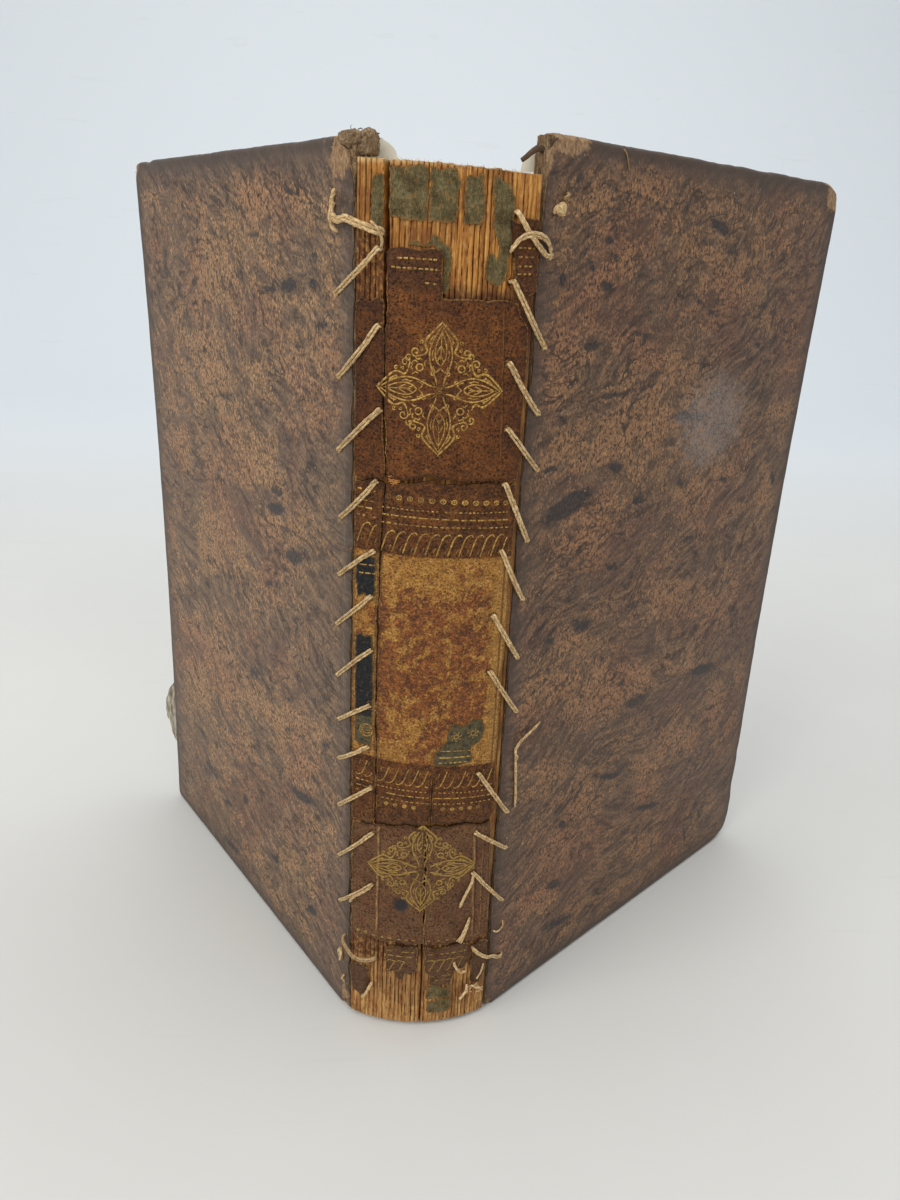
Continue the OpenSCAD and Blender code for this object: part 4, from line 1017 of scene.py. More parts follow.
        # back to our own numbering
        own = np.array([o[0] if len(o) else -1 for o in orig])
        keep = (own[f2] >= 0).all(1)
        f2 = own[f2[keep]]
        a, b, c = pts[f2[:, 0]], pts[f2[:, 1]], pts[f2[:, 2]]
        area = (b[:, 0] - a[:, 0]) * (c[:, 1] - a[:, 1]) - (b[:, 1] - a[:, 1]) * (c[:, 0] - a[:, 0])
        up = area > 0
        want = end == "head"
        f2[up != want] = f2[up != want][:, ::-1]
        zq = (tail + 0 * q[:, 0]) if end == "tail" else head - q[:, 0] * math.tan(math.radians(2.4))
        zq = zq + (0.1 if end == "head" else -0.05) * fbm(q[:, 0] * 3, q[:, 1] * 0.05, 1.0, 55, 2)
        extra_v.append(np.column_stack([q, zq]))
        extra_m.append(np.column_stack([q[:, 0], q[:, 1], np.full(len(q), 5.0)]))
        g = np.where(f2 < n, ridx * n + f2, base + f2 - n)
        tris_all.append(g)
        base += len(q)
    verts = np.vstack([verts] + extra_v)
    ne = sum(len(e) for e in extra_v)
    mmv = np.vstack([mmv] + extra_m)
    for k_ in attrs:
        attrs[k_] = np.concatenate([attrs[k_], np.zeros(ne)])
    faces.append(np.vstack(tris_all))
    attrs["mm"] = mmv
    ob = make("book_text_block", verts, faces, M_PAGES, attrs, BLOCK, "leaves", sharp=60)
    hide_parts("text_block")
    return ob


block()

# ------------------------------------------------------------------ lining paper
LINING_HEAD = [[(-15.1, 201.6), (-15, 194.6), (-14.4, 192), (-13.0, 191.2), (-12.7, 193), (-12.7, 202.2), (-13.6, 202.7)],
               [(-11.4, 203.5), (-11.6, 199), (-11.5, 195.0), (-9.6, 194.9), (-7.6, 194.5), (-4.45, 194.8), (-4.4, 198), (-4.5, 203.4), (-6, 204.1), (-8, 203.7)],
               [(-4.1, 203.9), (-4.15, 194.7), (-0.2, 194.4), (1.3, 194.6), (1.6, 196.4), (1.5, 200), (1.6, 202.0), (0.4, 203.6), (-2.2, 203.4)],
               [(2.4, 202.4), (2.4, 195), (2.7, 194.3), (6.0, 194.2), (6.4, 197), (6.3, 202.2), (5.6, 203.2), (4.6, 202.6), (3.2, 203.1)],
               [(7.9, 203.4), (8.1, 199), (8.3, 194.2), (9.3, 192.4), (9.9, 189.9), (9.4, 188.2), (8.6, 189.6), (7.8, 188.9), (7.0, 186.9), (7.2, 184.9), (8.2, 184.4),
                (9.2, 183.6), (10.4, 184.0), (11.4, 185.2), (11.5, 188.4), (12.4, 190.6), (13.2, 193.4), (12.5, 195.4), (12.2, 199), (11.6, 201.9), (10.4, 202.2), (9.2, 202.9)],
               [(-7.8, 190.4), (-6.9, 191.6), (-5.8, 190.7), (-4.4, 190.8), (-3.3, 192.8), (-1.9, 191.8), (0.1, 190.2), (0.8, 187.2), (0.3, 184.0), (-0.3, 181.8), (-0.9, 182.4), (-0.9, 188.8), (-2.6, 190.4), (-5, 190.2)]]
LINING_TAIL = [[(1.9, 12.6), (2.2, 8.9), (8.3, 8.7), (8.2, 12.8), (6.6, 12.2), (5, 13.4)],
               [(2.0, 8.0), (2.1, 4.6), (5.0, 4.1), (8.3, 4.4), (8.6, 8.2), (5.4, 8.3)]]


def lining_top(s, z, d):
    ridge = 0.10 * np.cos(2 * math.pi * (s / GATHER + 0.5))
    return R + 0.06 + ridge + 0.05 * fbm(s, z, 0.8, 61, 3) + 0.08 * smooth(0.5, 0, d) * fbm(s, z, 0.5, 62, 2)


def lining(name, outlines, node, seed):
    pile = Pile()
    for i, o in enumerate(outlines):
        skin(pile, o, R - 0.2, lining_top, seed + i * 7, step=0.36, amp=0.2, fine=1.3)
    ob = pile.make(name, M_LINING, body=BLOCK, slot="lining_paper")
    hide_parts(node)


lining("lining_paper_head", LINING_HEAD, "head_lining_remnants", 100)
lining("lining_paper_tail", LINING_TAIL, "tail_lining_remnants", 200)

# ------------------------------------------------------------------ spine leather
WRINKLES = [  # (points (s, z) from top to bottom, depth mm, width mm): creases down the leather
    ([(11.1, 179.8), (11.9, 170), (12.4, 158), (13.4, 147)], 0.16, 0.4),
    ([(3.2, 152.5), (3.4, 149), (3.5, 146)], 0.35, 0.3),
    ([(-13.9, 176), (-13.7, 160), (-13.8, 147)], 0.10, 0.5),
    ([(-11.1, 60.2), (-11.3, 50), (-11.2, 40), (-11.4, 28)], -0.14, 0.45),
    ([(12.2, 61), (12.7, 49), (13.2, 38), (13.4, 28)], 0.16, 0.45),
    ([(15.6, 128), (15.4, 110), (15.9, 95), (15.7, 80)], 0.16, 0.35),
    ([(6.6, 60.5), (7.4, 52), (7.2, 44), (8.2, 33)], 0.06, 0.5),
    ([(-6.2, 178), (-5.4, 168), (-6.4, 156), (-5.2, 147)], 0.05, 0.6)]


def line_distance(s, z, pts):
    pts = catmull(np.asarray(pts, float), 2.0)
    d = np.full(np.shape(s), 1e9)
    for a, b in zip(pts[:-1], pts[1:]):
        ab = b - a
        t = np.clip(((s - a[0]) * ab[0] + (z - a[1]) * ab[1]) / (ab @ ab), 0, 1)
        d = np.minimum(d, np.hypot(s - a[0] - t * ab[0], z - a[1] - t * ab[1]))
    return d


def leather_relief(s, z):
    """height above S1 of the leather's face, without its torn edges"""
    h = 0.05 * fbm(s, z, 0.13, 71, 3) + 0.022 * fbm(s, z, 0.9, 74, 3)
    for pts, depth, width in WRINKLES:
        d = line_distance(s, z + 0 * s, pts)
        h = h - depth * np.exp(-(d / width) ** 2) + 0.4 * abs(depth) * np.exp(-((d - 1.6 * width) / width) ** 2)
    # roll-tooled bands lie a little sunk
    for a, b in ((129.2, 140.2), (67.4, 79.2)):
        zz = z + 0.02 * s
        h = h - 0.03 * smooth(a - 0.6, a + 0.2, zz) * (1 - smooth(b - 0.2, b + 0.6, zz))
    return h


def leather_top(curl=0.16, seed=0, thin=0.0):
    def top(s, z, d):
        torn = smooth(0.45, 0.0, d)
        up = smooth(1.1, 0.1, d) * np.clip(0.3 + fbm(s, z, 0.16, 80 + seed, 2), 0, 1.2)
        h = leather_relief(s, z) + curl * up - 0.14 * torn + 0.09 * torn * fbm(s, z, 1.8, 90 + seed, 2) - thin
        for hs, hz in HOLES:
            q = np.hypot((s - hs) * 1.1, z - hz)
            h = h + 0.12 * np.exp(-((q - 0.95) / 0.35) ** 2) - 0.25 * np.exp(-(q / 0.6) ** 2)
        return S1 + h
    return top


def crack(points, seed, gap, across, amp=0.17):
    """both sides of a crack that runs through the points; across is 0 for an upright crack, 1 for a level one"""
    pts = np.asarray(points, float)
    out = []
    for a, b in zip(pts[:-1], pts[1:]):
        n = max(1, int(round(np.linalg.norm(b - a) / 0.34)))
        out.append(a + (b - a) * (np.arange(n) / n)[:, None])
    c = np.vstack(out + [pts[-1:]])
    off = np.zeros_like(c)
    off[:, across] = 1
    t = c[:, 1 - across]
    c = c + off * (amp * fbm(t, 0 * t, 0.35, seed, 2) + 0.6 * amp * fbm(t, 0 * t, 1.4, seed + 4, 2))[:, None]
    g = gap * np.clip(0.75 + 0.7 * fbm(t, 0 * t, 0.22, seed + 7, 2), 0.35, 1.5)
    return c - off * g[:, None] / 2, c + off * g[:, None] / 2


def part(line, axis, lo, hi, flip=False):
    q = line[(line[:, axis] >= lo) & (line[:, axis] <= hi)]
    return (q[::-1] if flip else q).tolist()


UP_LO, UP_HI = crack([(-17.8, 144.6), (-16, 144.4), (-14.5, 144.9), (-11.3, 145.1), (-8.2, 144.9), (-4.5, 145.4), (-1.9, 146.2), (0.5, 145.6),
                      (2.9, 145.2), (6.8, 145.5), (11.0, 145.4), (14.3, 145.0), (16.5, 144.9)], 410, 0.95, 1, 0.3)
DN_LO, DN_HI = crack([(-17.8, 61.2), (-16, 61.8), (-14, 61.0), (-12.2, 61.8), (-9, 61.6), (-5, 62.3), (-1, 61.8), (1, 62.4), (5, 62.0), (9, 62.4),
                      (13, 61.5), (16.3, 62.1)], 420, 0.95, 1, 0.3)
LF_L, LF_R = crack([(-11.75, 190), (-11.75, 161), (-11.35, 150), (-11.05, 145.6), (-11.3, 141), (-12.0, 127.8), (-12.2, 114), (-12.3, 94.5),
                    (-12.05, 80), (-11.95, 68.2), (-12.1, 61.6)], 430, 0.55, 0, 0.1)
MID_L, MID_R = crack([(0.75, 62.3), (0.35, 61.3), (0.25, 49.9), (0.3, 40), (0.6, 31.8), (1.0, 26.6)], 440, 0.4, 0, 0.12)

UPPER = ([(-11.3, 189.6), (-9, 189.9), (-6, 189.6), (-3, 190.0), (-1.5, 189.7), (-1.1, 185), (-1, 181.2), (0.4, 180.8), (4, 181.3), (8, 180.9), (11, 181.2),
          (13.9, 180.6), (14.6, 178.4), (16.4, 176.2), (16.7, 170), (16.5, 160), (16.6, 152)] + part(UP_HI, 0, -10.7, 16.5, True)
         + part(LF_R, 1, 145.9, 189.2, True))
UPPER_LEFT = ([(-17.7, 145.6), (-17.6, 160), (-17.7, 179.6), (-16.5, 180.6), (-15, 179.8), (-13.6, 180.8), (-12.4, 180.4)] + part(LF_L, 1, 145.8, 180)
              + part(UP_HI, 0, -17.6, -11.7, True))
HEAD_FRAG = [(11.9, 195.2), (13.4, 195), (15, 196), (17.2, 195.6), (17.7, 190), (17.8, 183), (16.5, 181.9), (14.9, 182.4), (13.2, 184.5), (12.5, 188)]
MIDDLE = (part(UP_LO, 0, -10.8, 16.4) + [(16.6, 135), (16.3, 125), (16.5, 112), (16, 100), (16.3, 88), (16.1, 75), (16.4, 66)]
          + part(DN_HI, 0, 1.3, 16.2, True) + [(1.22, 65.5), (1.28, 70), (1.1, 75.4), (0.98, 70), (0.92, 65.5)] + part(DN_HI, 0, -11.8, 0.8, True)
          + part(LF_R, 1, 62.4, 144.6, True))
MIDDLE_LEFT = part(UP_LO, 0, -17.7, -11.7) + part(LF_L, 1, 62.2, 144.4) + part(DN_HI, 0, -17.7, -12.5, True) + [(-17.8, 90), (-17.7, 120)]
LOWER_LEFT = (part(DN_LO, 0, -17.7, 0.3) + part(MID_L, 1, 27.4, 61.2)
              + [(-3, 26.8), (-6, 27.6), (-9, 27.2), (-12, 28), (-15, 27.2), (-17.6, 27.6)])
LOWER_RIGHT = (part(DN_LO, 0, 1.0, 16.2) + [(16.5, 50), (16.8, 40), (16.9, 30), (16.4, 27.4), (13, 26.6), (10, 27.2), (6, 26.7), (3, 27.3), (1.3, 26.9)]
               + part(MID_R, 1, 27.2, 61.4, True))
TAIL = [[(-9, 25.6), (-6, 26.2), (-1, 25.8), (-0.8, 18.6), (-2.4, 17.4), (-4, 18.4), (-4.6, 15.6), (-5.6, 15.4), (-6.2, 18.6), (-8.6, 17.8)],
        [(0.9, 26), (5, 25.4), (9, 26), (12.4, 25.6), (12.8, 20), (11.6, 17.8), (8.6, 17.4), (8.2, 14), (5, 13.2), (2.4, 13.8), (2.2, 17.6), (1.1, 18.4)],
        [(13.4, 24.4), (16, 25), (17.6, 24), (17.4, 14), (16, 11.4), (13.8, 12.6)],
        [(-17.6, 17.2), (-15, 18), (-13.4, 17), (-13.2, 9.4), (-15, 8), (-17.4, 9)]]


def leather(name, outlines, node, seed, **kw):
    pile = Pile()
    tones = kw.pop("tones", [0.0] * len(outlines))
    amp = kw.pop("amp", 0.1)
    curl = kw.pop("curl", 0.13)
    thin = kw.pop("thin", [0.0] * len(outlines))
    for i, o in enumerate(outlines):
        skin(pile, o, R + 0.0, leather_top(curl, seed + i, thin[i]), seed * 10 + i * 7, amp=amp, tone=tones[i])
    ob = pile.make(name, M_SPINE, body=BLOCK, slot="spine_leather")
    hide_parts(node)
    return ob


leather("leather_upper_panel", [UPPER], "spine_leather_upper", 1, amp=0.12)
leather("leather_upper_left_strip", [UPPER_LEFT], "spine_leather_upper_left", 2)
leather("leather_head_fragment", [HEAD_FRAG], "spine_leather_head_fragment", 3, tones=[0.35], amp=0.3)
leather("leather_middle_panel", [MIDDLE], "spine_leather_middle", 4, amp=0.07)
leather("leather_middle_left_strip", [MIDDLE_LEFT], "spine_leather_middle_left", 5, amp=0.08)
leather("leather_lower_left", [LOWER_LEFT], "spine_leather_lower_left", 6, amp=0.12)
leather("leather_lower_right", [LOWER_RIGHT], "spine_leather_lower_right", 7, amp=0.12)
leather("leather_tail_fragments", TAIL, "spine_leather_tail_fragments", 8, tones=[0.4, 0.35, 0.5, 0.6], amp=0.34,
        thin=[0.12, 0.1, 0.1, 0.2])

# ------------------------------------------------------------------ black label
LABEL_SIDE = [[(-16.9, 127.8), (-15, 128.3), (-12.75, 128.2), (-12.75, 119.6), (-14.2, 118.9), (-15.2, 119.6), (-16.8, 118.2), (-17.0, 123)],
              [(-17.0, 109.6), (-15.6, 110.4), (-15.2, 109.8), (-13.2, 110.3), (-12.9, 98), (-12.9, 84.4), (-13.4, 82.8), (-15, 82.3), (-17.1, 83.0),
               (-16.9, 90), (-17.1, 98)]]
LABEL_LOW = [[(1.5, 78.7), (1.3, 80.6), (1.7, 82.6), (3.0, 83.5), (4.0, 85.2), (4.2, 87.6), (5.2, 89.6), (7.4, 88.9), (8.8, 89.2), (9.8, 90.3), (12.1, 89.8),
              (12.7, 88), (12.3, 85.6), (11.4, 84.0), (9.9, 83.2), (9.7, 81.8), (10.3, 80.2), (10.1, 79.1), (6, 78.5)]]


def label_top(s, z, d):
    torn = smooth(0.5, 0.0, d)
    return S1 + 0.16 + leather_relief(s, z) + 0.03 * fbm(s, z, 1.0, 95, 3) + 0.1 * smooth(1.2, 0, d) * np.clip(fbm(s, z, 0.3, 96, 2) + 0.3, 0, 1) - 0.1 * torn


def label(name, outlines, node, seed):
    pile = Pile()
    for i, o in enumerate(outlines):
        skin(pile, o, S1 - 0.1, label_top, seed + 5 * i, step=0.34, amp=0.13, fine=1.2)
    ob = pile.make(name, M_LABEL, body=BLOCK, slot="label_leather")
    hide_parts(node)


label("black_label_side_pieces", LABEL_SIDE, "label_remnants_side", 300)
label("black_label_lower_piece", LABEL_LOW, "label_remnant_lower", 320)

# ------------------------------------------------------------------ gold tooling
def ribbon(pile, pts, width=0.3, rub=0.0, lift=0.05, r0=None, taper=True, step=0.3):
    """a narrow stroke of gold leaf pressed into the leather along pts (s, z)"""
    p = catmull(np.asarray(pts, float), step)
    keep = np.concatenate([[True], np.linalg.norm(np.diff(p, axis=0), axis=1) > 1e-4])
    p = p[keep]
    if len(p) < 2:
        return
    t = np.gradient(p, axis=0)
    t /= np.linalg.norm(t, axis=1)[:, None] + 1e-9
    n = np.stack([-t[:, 1], t[:, 0]], 1)
    L = np.linspace(0, 1, len(p))
    w = width * 0.58 * (1 + 0.28 * fbm(p[:, 0], p[:, 1], 1.6, 501, 2))
    if taper:
        w = w * np.clip(np.minimum(L, 1 - L) * 8 + 0.45, 0, 1)
    rows = []
    h = (leather_relief(p[:, 0], p[:, 1]) + S1) if r0 is None else r0 + leather_relief(p[:, 0], p[:, 1])
    for k, dh in ((-1, -0.09), (-0.8, lift * 0.7), (0, lift), (0.8, lift * 0.7), (1, -0.09)):
        q = p + n * (w * k)[:, None]
        rows.append(spine(q[:, 0], q[:, 1], h + dh))
    m = len(p)
    V = np.concatenate(rows)
    q = []
    for a in range(5):
        b = (a + 1) % 5
        i = np.arange(m - 1)
        q.append(np.stack([a * m + i, a * m + i + 1, b * m + i + 1, b * m + i], 1))
    ends = np.array([[4 * m, 3 * m, 2 * m, m, 0], [m - 1, 2 * m - 1, 3 * m - 1, 4 * m - 1, 5 * m - 1]])
    mmv = np.column_stack([np.tile(p[:, 0], 5), np.tile(p[:, 1], 5), np.zeros(5 * m)])
    pile.add(V, [np.vstack(q), ends], mm=mmv, rub=rub)


def spiral(c, r, turns=1.2, start=0.0, sense=1, inner=0.18):
    n = max(8, int(10 * turns))
    t = np.linspace(0, 1, n)
    a = start + sense * 2 * math.pi * turns * t
    q = r * (1 - (1 - inner) * t)
    return np.stack([c[0] + q * np.cos(a), c[1] + q * np.sin(a)], 1)


def ringlet(c, r, n=9):
    a = np.arange(n + 1) * 2 * math.pi / n
    return np.stack([c[0] + r * np.cos(a), c[1] + r * np.sin(a)], 1)


def lozenge(pile, centre, half_w, half_h, width, rub, skip):
    """four pointed leaves about a crossing, with scrolls and rings between them: an arabesque lozenge"""
    c = np.asarray(centre, float)

    def put(pts, turn, mirror, w=1.0, extra=0.0):
        pts = np.asarray(pts, float)              # (along the leaf, across it), unit
        a, b = pts[:, 0], pts[:, 1] * (-1 if mirror else 1)
        ca, sa = math.cos(turn), math.sin(turn)
        q = np.stack([a * ca - b * sa, a * sa + b * ca], 1)
        q = c + q * [half_w, half_h]
        j = 0.1 * np.stack([fbm(q[:, 0], q[:, 1], 0.2, 601, 1), fbm(q[:, 0], q[:, 1], 0.2, 602, 1)], 1)
        q = q + j
        mid = q.mean(0)
        if skip is not None and skip(mid):
            return
        fade = 0.3 * float(fbm(mid[0], mid[1], 0.12, 640, 2)) + rub + extra
        ribbon(pile, q, width * w, fade)
    for k in range(4):
        turn = math.pi / 2 * k
        for mir in (False, True):
            put([(1.0, 0.0), (0.93, 0.07), (0.85, 0.15), (0.765, 0.225), (0.69, 0.255), (0.62, 0.235), (0.575, 0.215), (0.535, 0.24),
                 (0.505, 0.3)], turn, mir, 1.25)
            put(np.vstack([[(0.505, 0.3), (0.49, 0.36)], spiral((0.555, 0.395), 0.072, 1.15, math.pi, -1)]), turn, mir, 1.0)
            put([(0.955, 0.0), (0.86, 0.062), (0.74, 0.128), (0.62, 0.165), (0.5, 0.178), (0.38, 0.158), (0.27, 0.115), (0.17, 0.07), (0.08, 0.05)], turn, mir, 1.0)
            put([(0.86, 0.0), (0.74, 0.055), (0.62, 0.085), (0.5, 0.085), (0.41, 0.05), (0.36, 0.0)], turn, mir, 0.85, 0.02)
            put([(0.66, 0.0), (0.58, 0.045), (0.53, 0.06)], turn, mir, 0.8, 0.03)
            put([(0.52, 0.0), (0.45, 0.035), (0.42, 0.05)], turn, mir, 0.8, 0.03)
            put([(0.33, 0.0), (0.28, 0.05), (0.25, 0.11)], turn, mir, 0.8, 0.04)
            put([(0.82, 0.11), (0.745, 0.165), (0.68, 0.185)], turn, mir, 0.9, 0.0)
            put([(0.72, 0.20), (0.66, 0.16), (0.60, 0.175)], turn, mir, 0.75, 0.03)
            put([(0.44, 0.215), (0.39, 0.255), (0.34, 0.235)], turn, mir, 0.8, 0.03)
        for mir in (False, True):
            put(spiral((0.245, 0.115), 0.034, 1.0, 0.5, 1), turn, mir, 0.8, 0.04)
            put(spiral((0.70, 0.305), 0.036, 1.0, 2.5, -1), turn, mir, 0.85, 0.02)
            put(spiral((0.595, 0.30), 0.03, 1.0, 0.0, 1), turn, mir, 0.75, 0.05)
            put([(0.475, 0.40), (0.44, 0.36), (0.46, 0.32), (0.43, 0.29)], turn, mir, 0.8, 0.02)
            put([(0.60, 0.115), (0.53, 0.135), (0.47, 0.115), (0.43, 0.125)], turn, mir, 0.75, 0.05)
            put([(0.36, 0.115), (0.31, 0.105), (0.27, 0.07)], turn, mir, 0.75, 0.05)
        put([(0.9, 0.0), (0.75, 0.004), (0.58, -0.004), (0.44, 0.0)], turn, False, 0.7, 0.05)
        put([(0.13, -0.13), (0.06, -0.05), (0.0, 0.0), (-0.06, 0.05), (-0.13, 0.13)], turn, False, 0.8)
        # ring on the diagonal and a small scroll beyond it
        put(ringlet((0.325, 0.325), 0.052), turn, False, 1.0, -0.03)
        put(spiral((0.455, 0.505), 0.06, 1.1, -0.6, 1), turn, False, 1.0)
        put([(0.40, 0.44), (0.425, 0.40), (0.40, 0.36)], turn, False, 0.8)
        put([(1.0, 0.0), (1.02, 0.0)], turn, False, 1.2)


def along(a, b, t):
    a, b = np.asarray(a, float), np.asarray(b, float)
    return a + (b - a) * t


def dashes(pile, a, b, dash, gap, seed, width=0.28, rub=0.0, r0=None, holes=True, fade=None):
    a, b = np.asarray(a, float), np.asarray(b, float)
    L = np.linalg.norm(b - a)
    rng = np.random.default_rng(seed)
    t = 0.0
    while t < L - 0.3:
        d = dash * rng.uniform(0.75, 1.2)
        e = min(L, t + d)
        p = [along(a, b, t / L), along(a, b, (t + e) / 2 / L) + [0, rng.uniform(-0.05, 0.05)], along(a, b, e / L)]
        x = (t + e) / 2 / L
        f = rub + rng.uniform(-0.12, 0.2) + (fade(x) if fade else 0)
        if rng.random() > 0.06:
            ribbon(pile, p, width * rng.uniform(0.85, 1.15), f, r0=r0, step=0.25)
        t = e + gap * rng.uniform(0.7, 1.3)


def rope(pile, a, b, height, pitch, seed, flip=False, rub=0.0, width=0.3, first=0.0):
    """a row of slanting arches, like a laid rope seen flat"""
    a, b = np.asarray(a, float), np.asarray(b, float)
    L = np.linalg.norm(b - a)
    e = (b - a) / L
    up = np.array([-e[1], e[0]])
    rng = np.random.default_rng(seed)
    n = int((L - first) / pitch)
    for i in range(n + 1):
        x0 = first + i * pitch
        pts = np.array([(0.0, 0.0), (0.12, 0.22), (0.25, 0.46), (0.38, 0.68), (0.56, 0.87), (0.8, 0.97), (1.06, 1.0), (1.2, 0.9)])
        pts = pts * [pitch, height]
        if flip:
            pts = np.array([pitch * 1.2, height]) - pts
        q = a + e * (x0 + pts[:, :1]) + up * pts[:, 1:]
        q = q[((q - a) @ e <= L + 0.05) & ((q - a) @ e > -0.05)]
        if len(q) > 2:
            ribbon(pile, q, width * rng.uniform(0.85, 1.15), rub + rng.uniform(-0.1, 0.22), step=0.3)
        lead = a + e * (x0 + pitch * (0.72 if not flip else 0.48)) + up * height * (0.1 if not flip else 0.9)
        if 0 < (lead - a) @ e < L:
            k = 1 if not flip else -1
            ribbon(pile, [lead, lead + e * pitch * 0.08 * k + up * height * 0.12 * k, lead + e * pitch * 0.16 * k + up * height * 0.26 * k], width * 0.7, rub + 0.32, step=0.3)


def beads(pile, a, b, pitch, seed, r=0.42, rub=0.0, fade=None):
    a, b = np.asarray(a, float), np.asarray(b, float)
    L = np.linalg.norm(b - a)
    rng = np.random.default_rng(seed)
    for i in range(int(L / pitch) + 1):
        t = i * pitch / L
        c = along(a, b, t)
        f = rub + (fade(t) if fade else 0) + rng.uniform(-0.05, 0.12)
        q = ringlet(c, r, 8) * [1, 1]
        q = c + (q - c) * [1.1, 0.85]
        ribbon(pile, q, 0.3, f, taper=False, step=0.22)
        ribbon(pile, [c + [-0.22, 0], c + [0.2, 0.02]], 0.34, f + 0.03, step=0.2)


def near_crack(lo, hi):
    def skip(q):
        return lo < q[0] < hi
    return skip


gilt_u, gilt_m, gilt_l = Pile(), Pile(), Pile()


def upper_skip(q):                            # the crack, and a rubbed place at the lower right
    return -13.2 < q[0] < -12.1 or (5.2 < q[0] < 9.0 and 158.6 < q[1] < 161.4)


def lower_skip(q):
    return 0.2 < q[0] < 0.6


lozenge(gilt_u, (-0.75, 163.9), 12.75, 12.9, 0.32, 0.0, upper_skip)
lozenge(gilt_l, (-0.6, 50.0), 13.4, 12.4, 0.37, -0.02, lower_skip)
# the tongue and the head fragment
dashes(gilt_u, (-10.9, 188.0), (-1.7, 187.9), 0.9, 0.3, 11, 0.36, 0.02)
dashes(gilt_u, (-11.0, 186.3), (-1.6, 186.1), 0.9, 0.25, 12, 0.38, -0.04)
dashes(gilt_u, (-4.4, 183.7), (-1.6, 183.6), 0.7, 0.6, 13, 0.4, 0.1)
for i, (zz, n) in enumerate(((190.7, 3), (189.1, 4), (187.4, 4), (186.0, 4))):
    dashes(gilt_u, (13.7, zz), (17.4, zz + 0.1), 0.8, 0.45, 20 + i, 0.36, 0.1)


def left_fade(t):
    return 0.12 * (1 - t)


# bands below the upper break
beads(gilt_m, (-10.6, 141.8), (15.4, 140.7), 2.3, 31, 0.5, 0.0, lambda t: 0.3 * max(0.0, 0.62 - t) + 0.02)
dashes(gilt_m, (-12.0, 139.45), (15.9, 138.65), 0.62, 0.42, 32, 0.34, 0.06, fade=left_fade)
dashes(gilt_m, (-12.0, 137.95), (15.9, 137.0), 1.7, 0.4, 33, 0.34, -0.02, fade=left_fade)
dashes(gilt_m, (-12.0, 136.2), (15.9, 135.35), 0.85, 0.4, 34, 0.34, 0.06, fade=left_fade)
rope(gilt_m, (-12.0, 129.9), (15.9, 129.1), 4.7, 2.38, 35, False, 0.06)
# the same bands on the left strip
for zz, d, g, sd in ((142.5, 0.9, 0.9, 41), (140.2, 0.8, 0.5, 42), (138.7, 1.5, 0.4, 43), (136.9, 0.8, 0.45, 44)):
    dashes(gilt_m, (-17.6, zz + 0.25), (-13.3, zz), d, g, sd, 0.32, 0.12)
rope(gilt_m, (-17.6, 131.2), (-13.0, 130.9), 4.6, 2.4, 45, False, 0.1)
# bands below the label's ground
for x0, x1, sd in ((-12.0, 0.5, 50), (1.5, 16.2, 60)):
    def zat(z0, x):
        return z0 - 0.066 * x
    rope(gilt_m, (x0, zat(72.9, x0)), (x1, zat(72.9, x1)), 4.5, 2.28, sd, True, 0.08)
    dashes(gilt_m, (x0, zat(71.6, x0)), (x1, zat(71.6, x1)), 0.62, 0.42, sd + 1, 0.3, 0.12)
    dashes(gilt_m, (x0, zat(70.1, x0)), (x1, zat(70.1, x1)), 1.9, 0.35, sd + 2, 0.3, 0.04)
    dashes(gilt_m, (x0, zat(68.6, x0)), (x1, zat(68.6, x1)), 0.8, 0.4, sd + 3, 0.3, 0.1)
    beads(gilt_m, (x0 + 2.4, zat(67.2, x0 + 2.4)), (x1 - 1.8, zat(67.2, x1 - 1.8)), 2.2, sd + 4, 0.4, 0.12)
rope(gilt_m, (-17.4, 74.2), (-13.0, 74.0), 4.4, 2.3, 71, True, 0.1)
for zz, d, sd in ((72.8, 0.8, 72), (71.2, 1.5, 73), (69.8, 0.8, 74)):
    dashes(gilt_m, (-17.3, zz + 0.2), (-13.1, zz), d, 0.45, sd, 0.3, 0.16)
# the lower panel's bottom line
beads(gilt_l, (-16.2, 29.0), (-13.6, 28.9), 1.9, 80, 0.34, 0.05)
dashes(gilt_l, (-17.0, 28.6), (-0.6, 28.5), 0.9, 1.2, 81, 0.42, 0.05)
dashes(gilt_l, (1.4, 28.3), (15.0, 27.9), 0.8, 1.4, 82, 0.4, 0.1)
# tail fragments
RT = S1 - 0.11
for a, b, d, sd in (((-8.6, 24.7), (-1.6, 24.6), 1.6, 90), ((-8.4, 23.2), (-1.5, 23.1), 1.8, 91),
                    ((2.0, 23.9), (12.0, 23.6), 1.2, 92), ((2.4, 16.9), (8.2, 16.7), 1.0, 93), ((2.6, 15.5), (8.0, 15.3), 1.1, 94)):
    dashes(gilt_l, a, b, d, 0.45, sd, 0.34, 0.1, r0=RT)


def tail_rope(a, b, h, pitch, seed):
    n = int((b[0] - a[0]) / pitch)
    for i in range(n):
        x0 = a[0] + i * pitch
        p = np.array([(0.75, 1.0), (0.5, 0.75), (0.3, 0.4), (0.1, 0.1), (-0.15, -0.02)]) * [pitch, h] + [x0, a[1]]
        ribbon(gilt_l, p, 0.3, 0.1, r0=RT)
        p = np.array([(-0.2, 0.95), (0.1, 1.06), (0.5, 1.0), (0.7, 1.02)]) * [pitch, h] + [x0, a[1]]
        ribbon(gilt_l, p, 0.3, 0.12, r0=RT)


tail_rope((-8.0, 18.4), (-1.4, 18.4), 3.2, 2.4, 95)
tail_rope((2.2, 18.4), (12.0, 18.2), 3.4, 2.45, 96)
for o, nm in ((gilt_u, "gilt_upper_tooling"), (gilt_m, "gilt_band_tooling"), (gilt_l, "gilt_lower_tooling")):
    o.make(nm, M_GILT, body=BLOCK, slot="spine_leather", close=False, sharp=0)

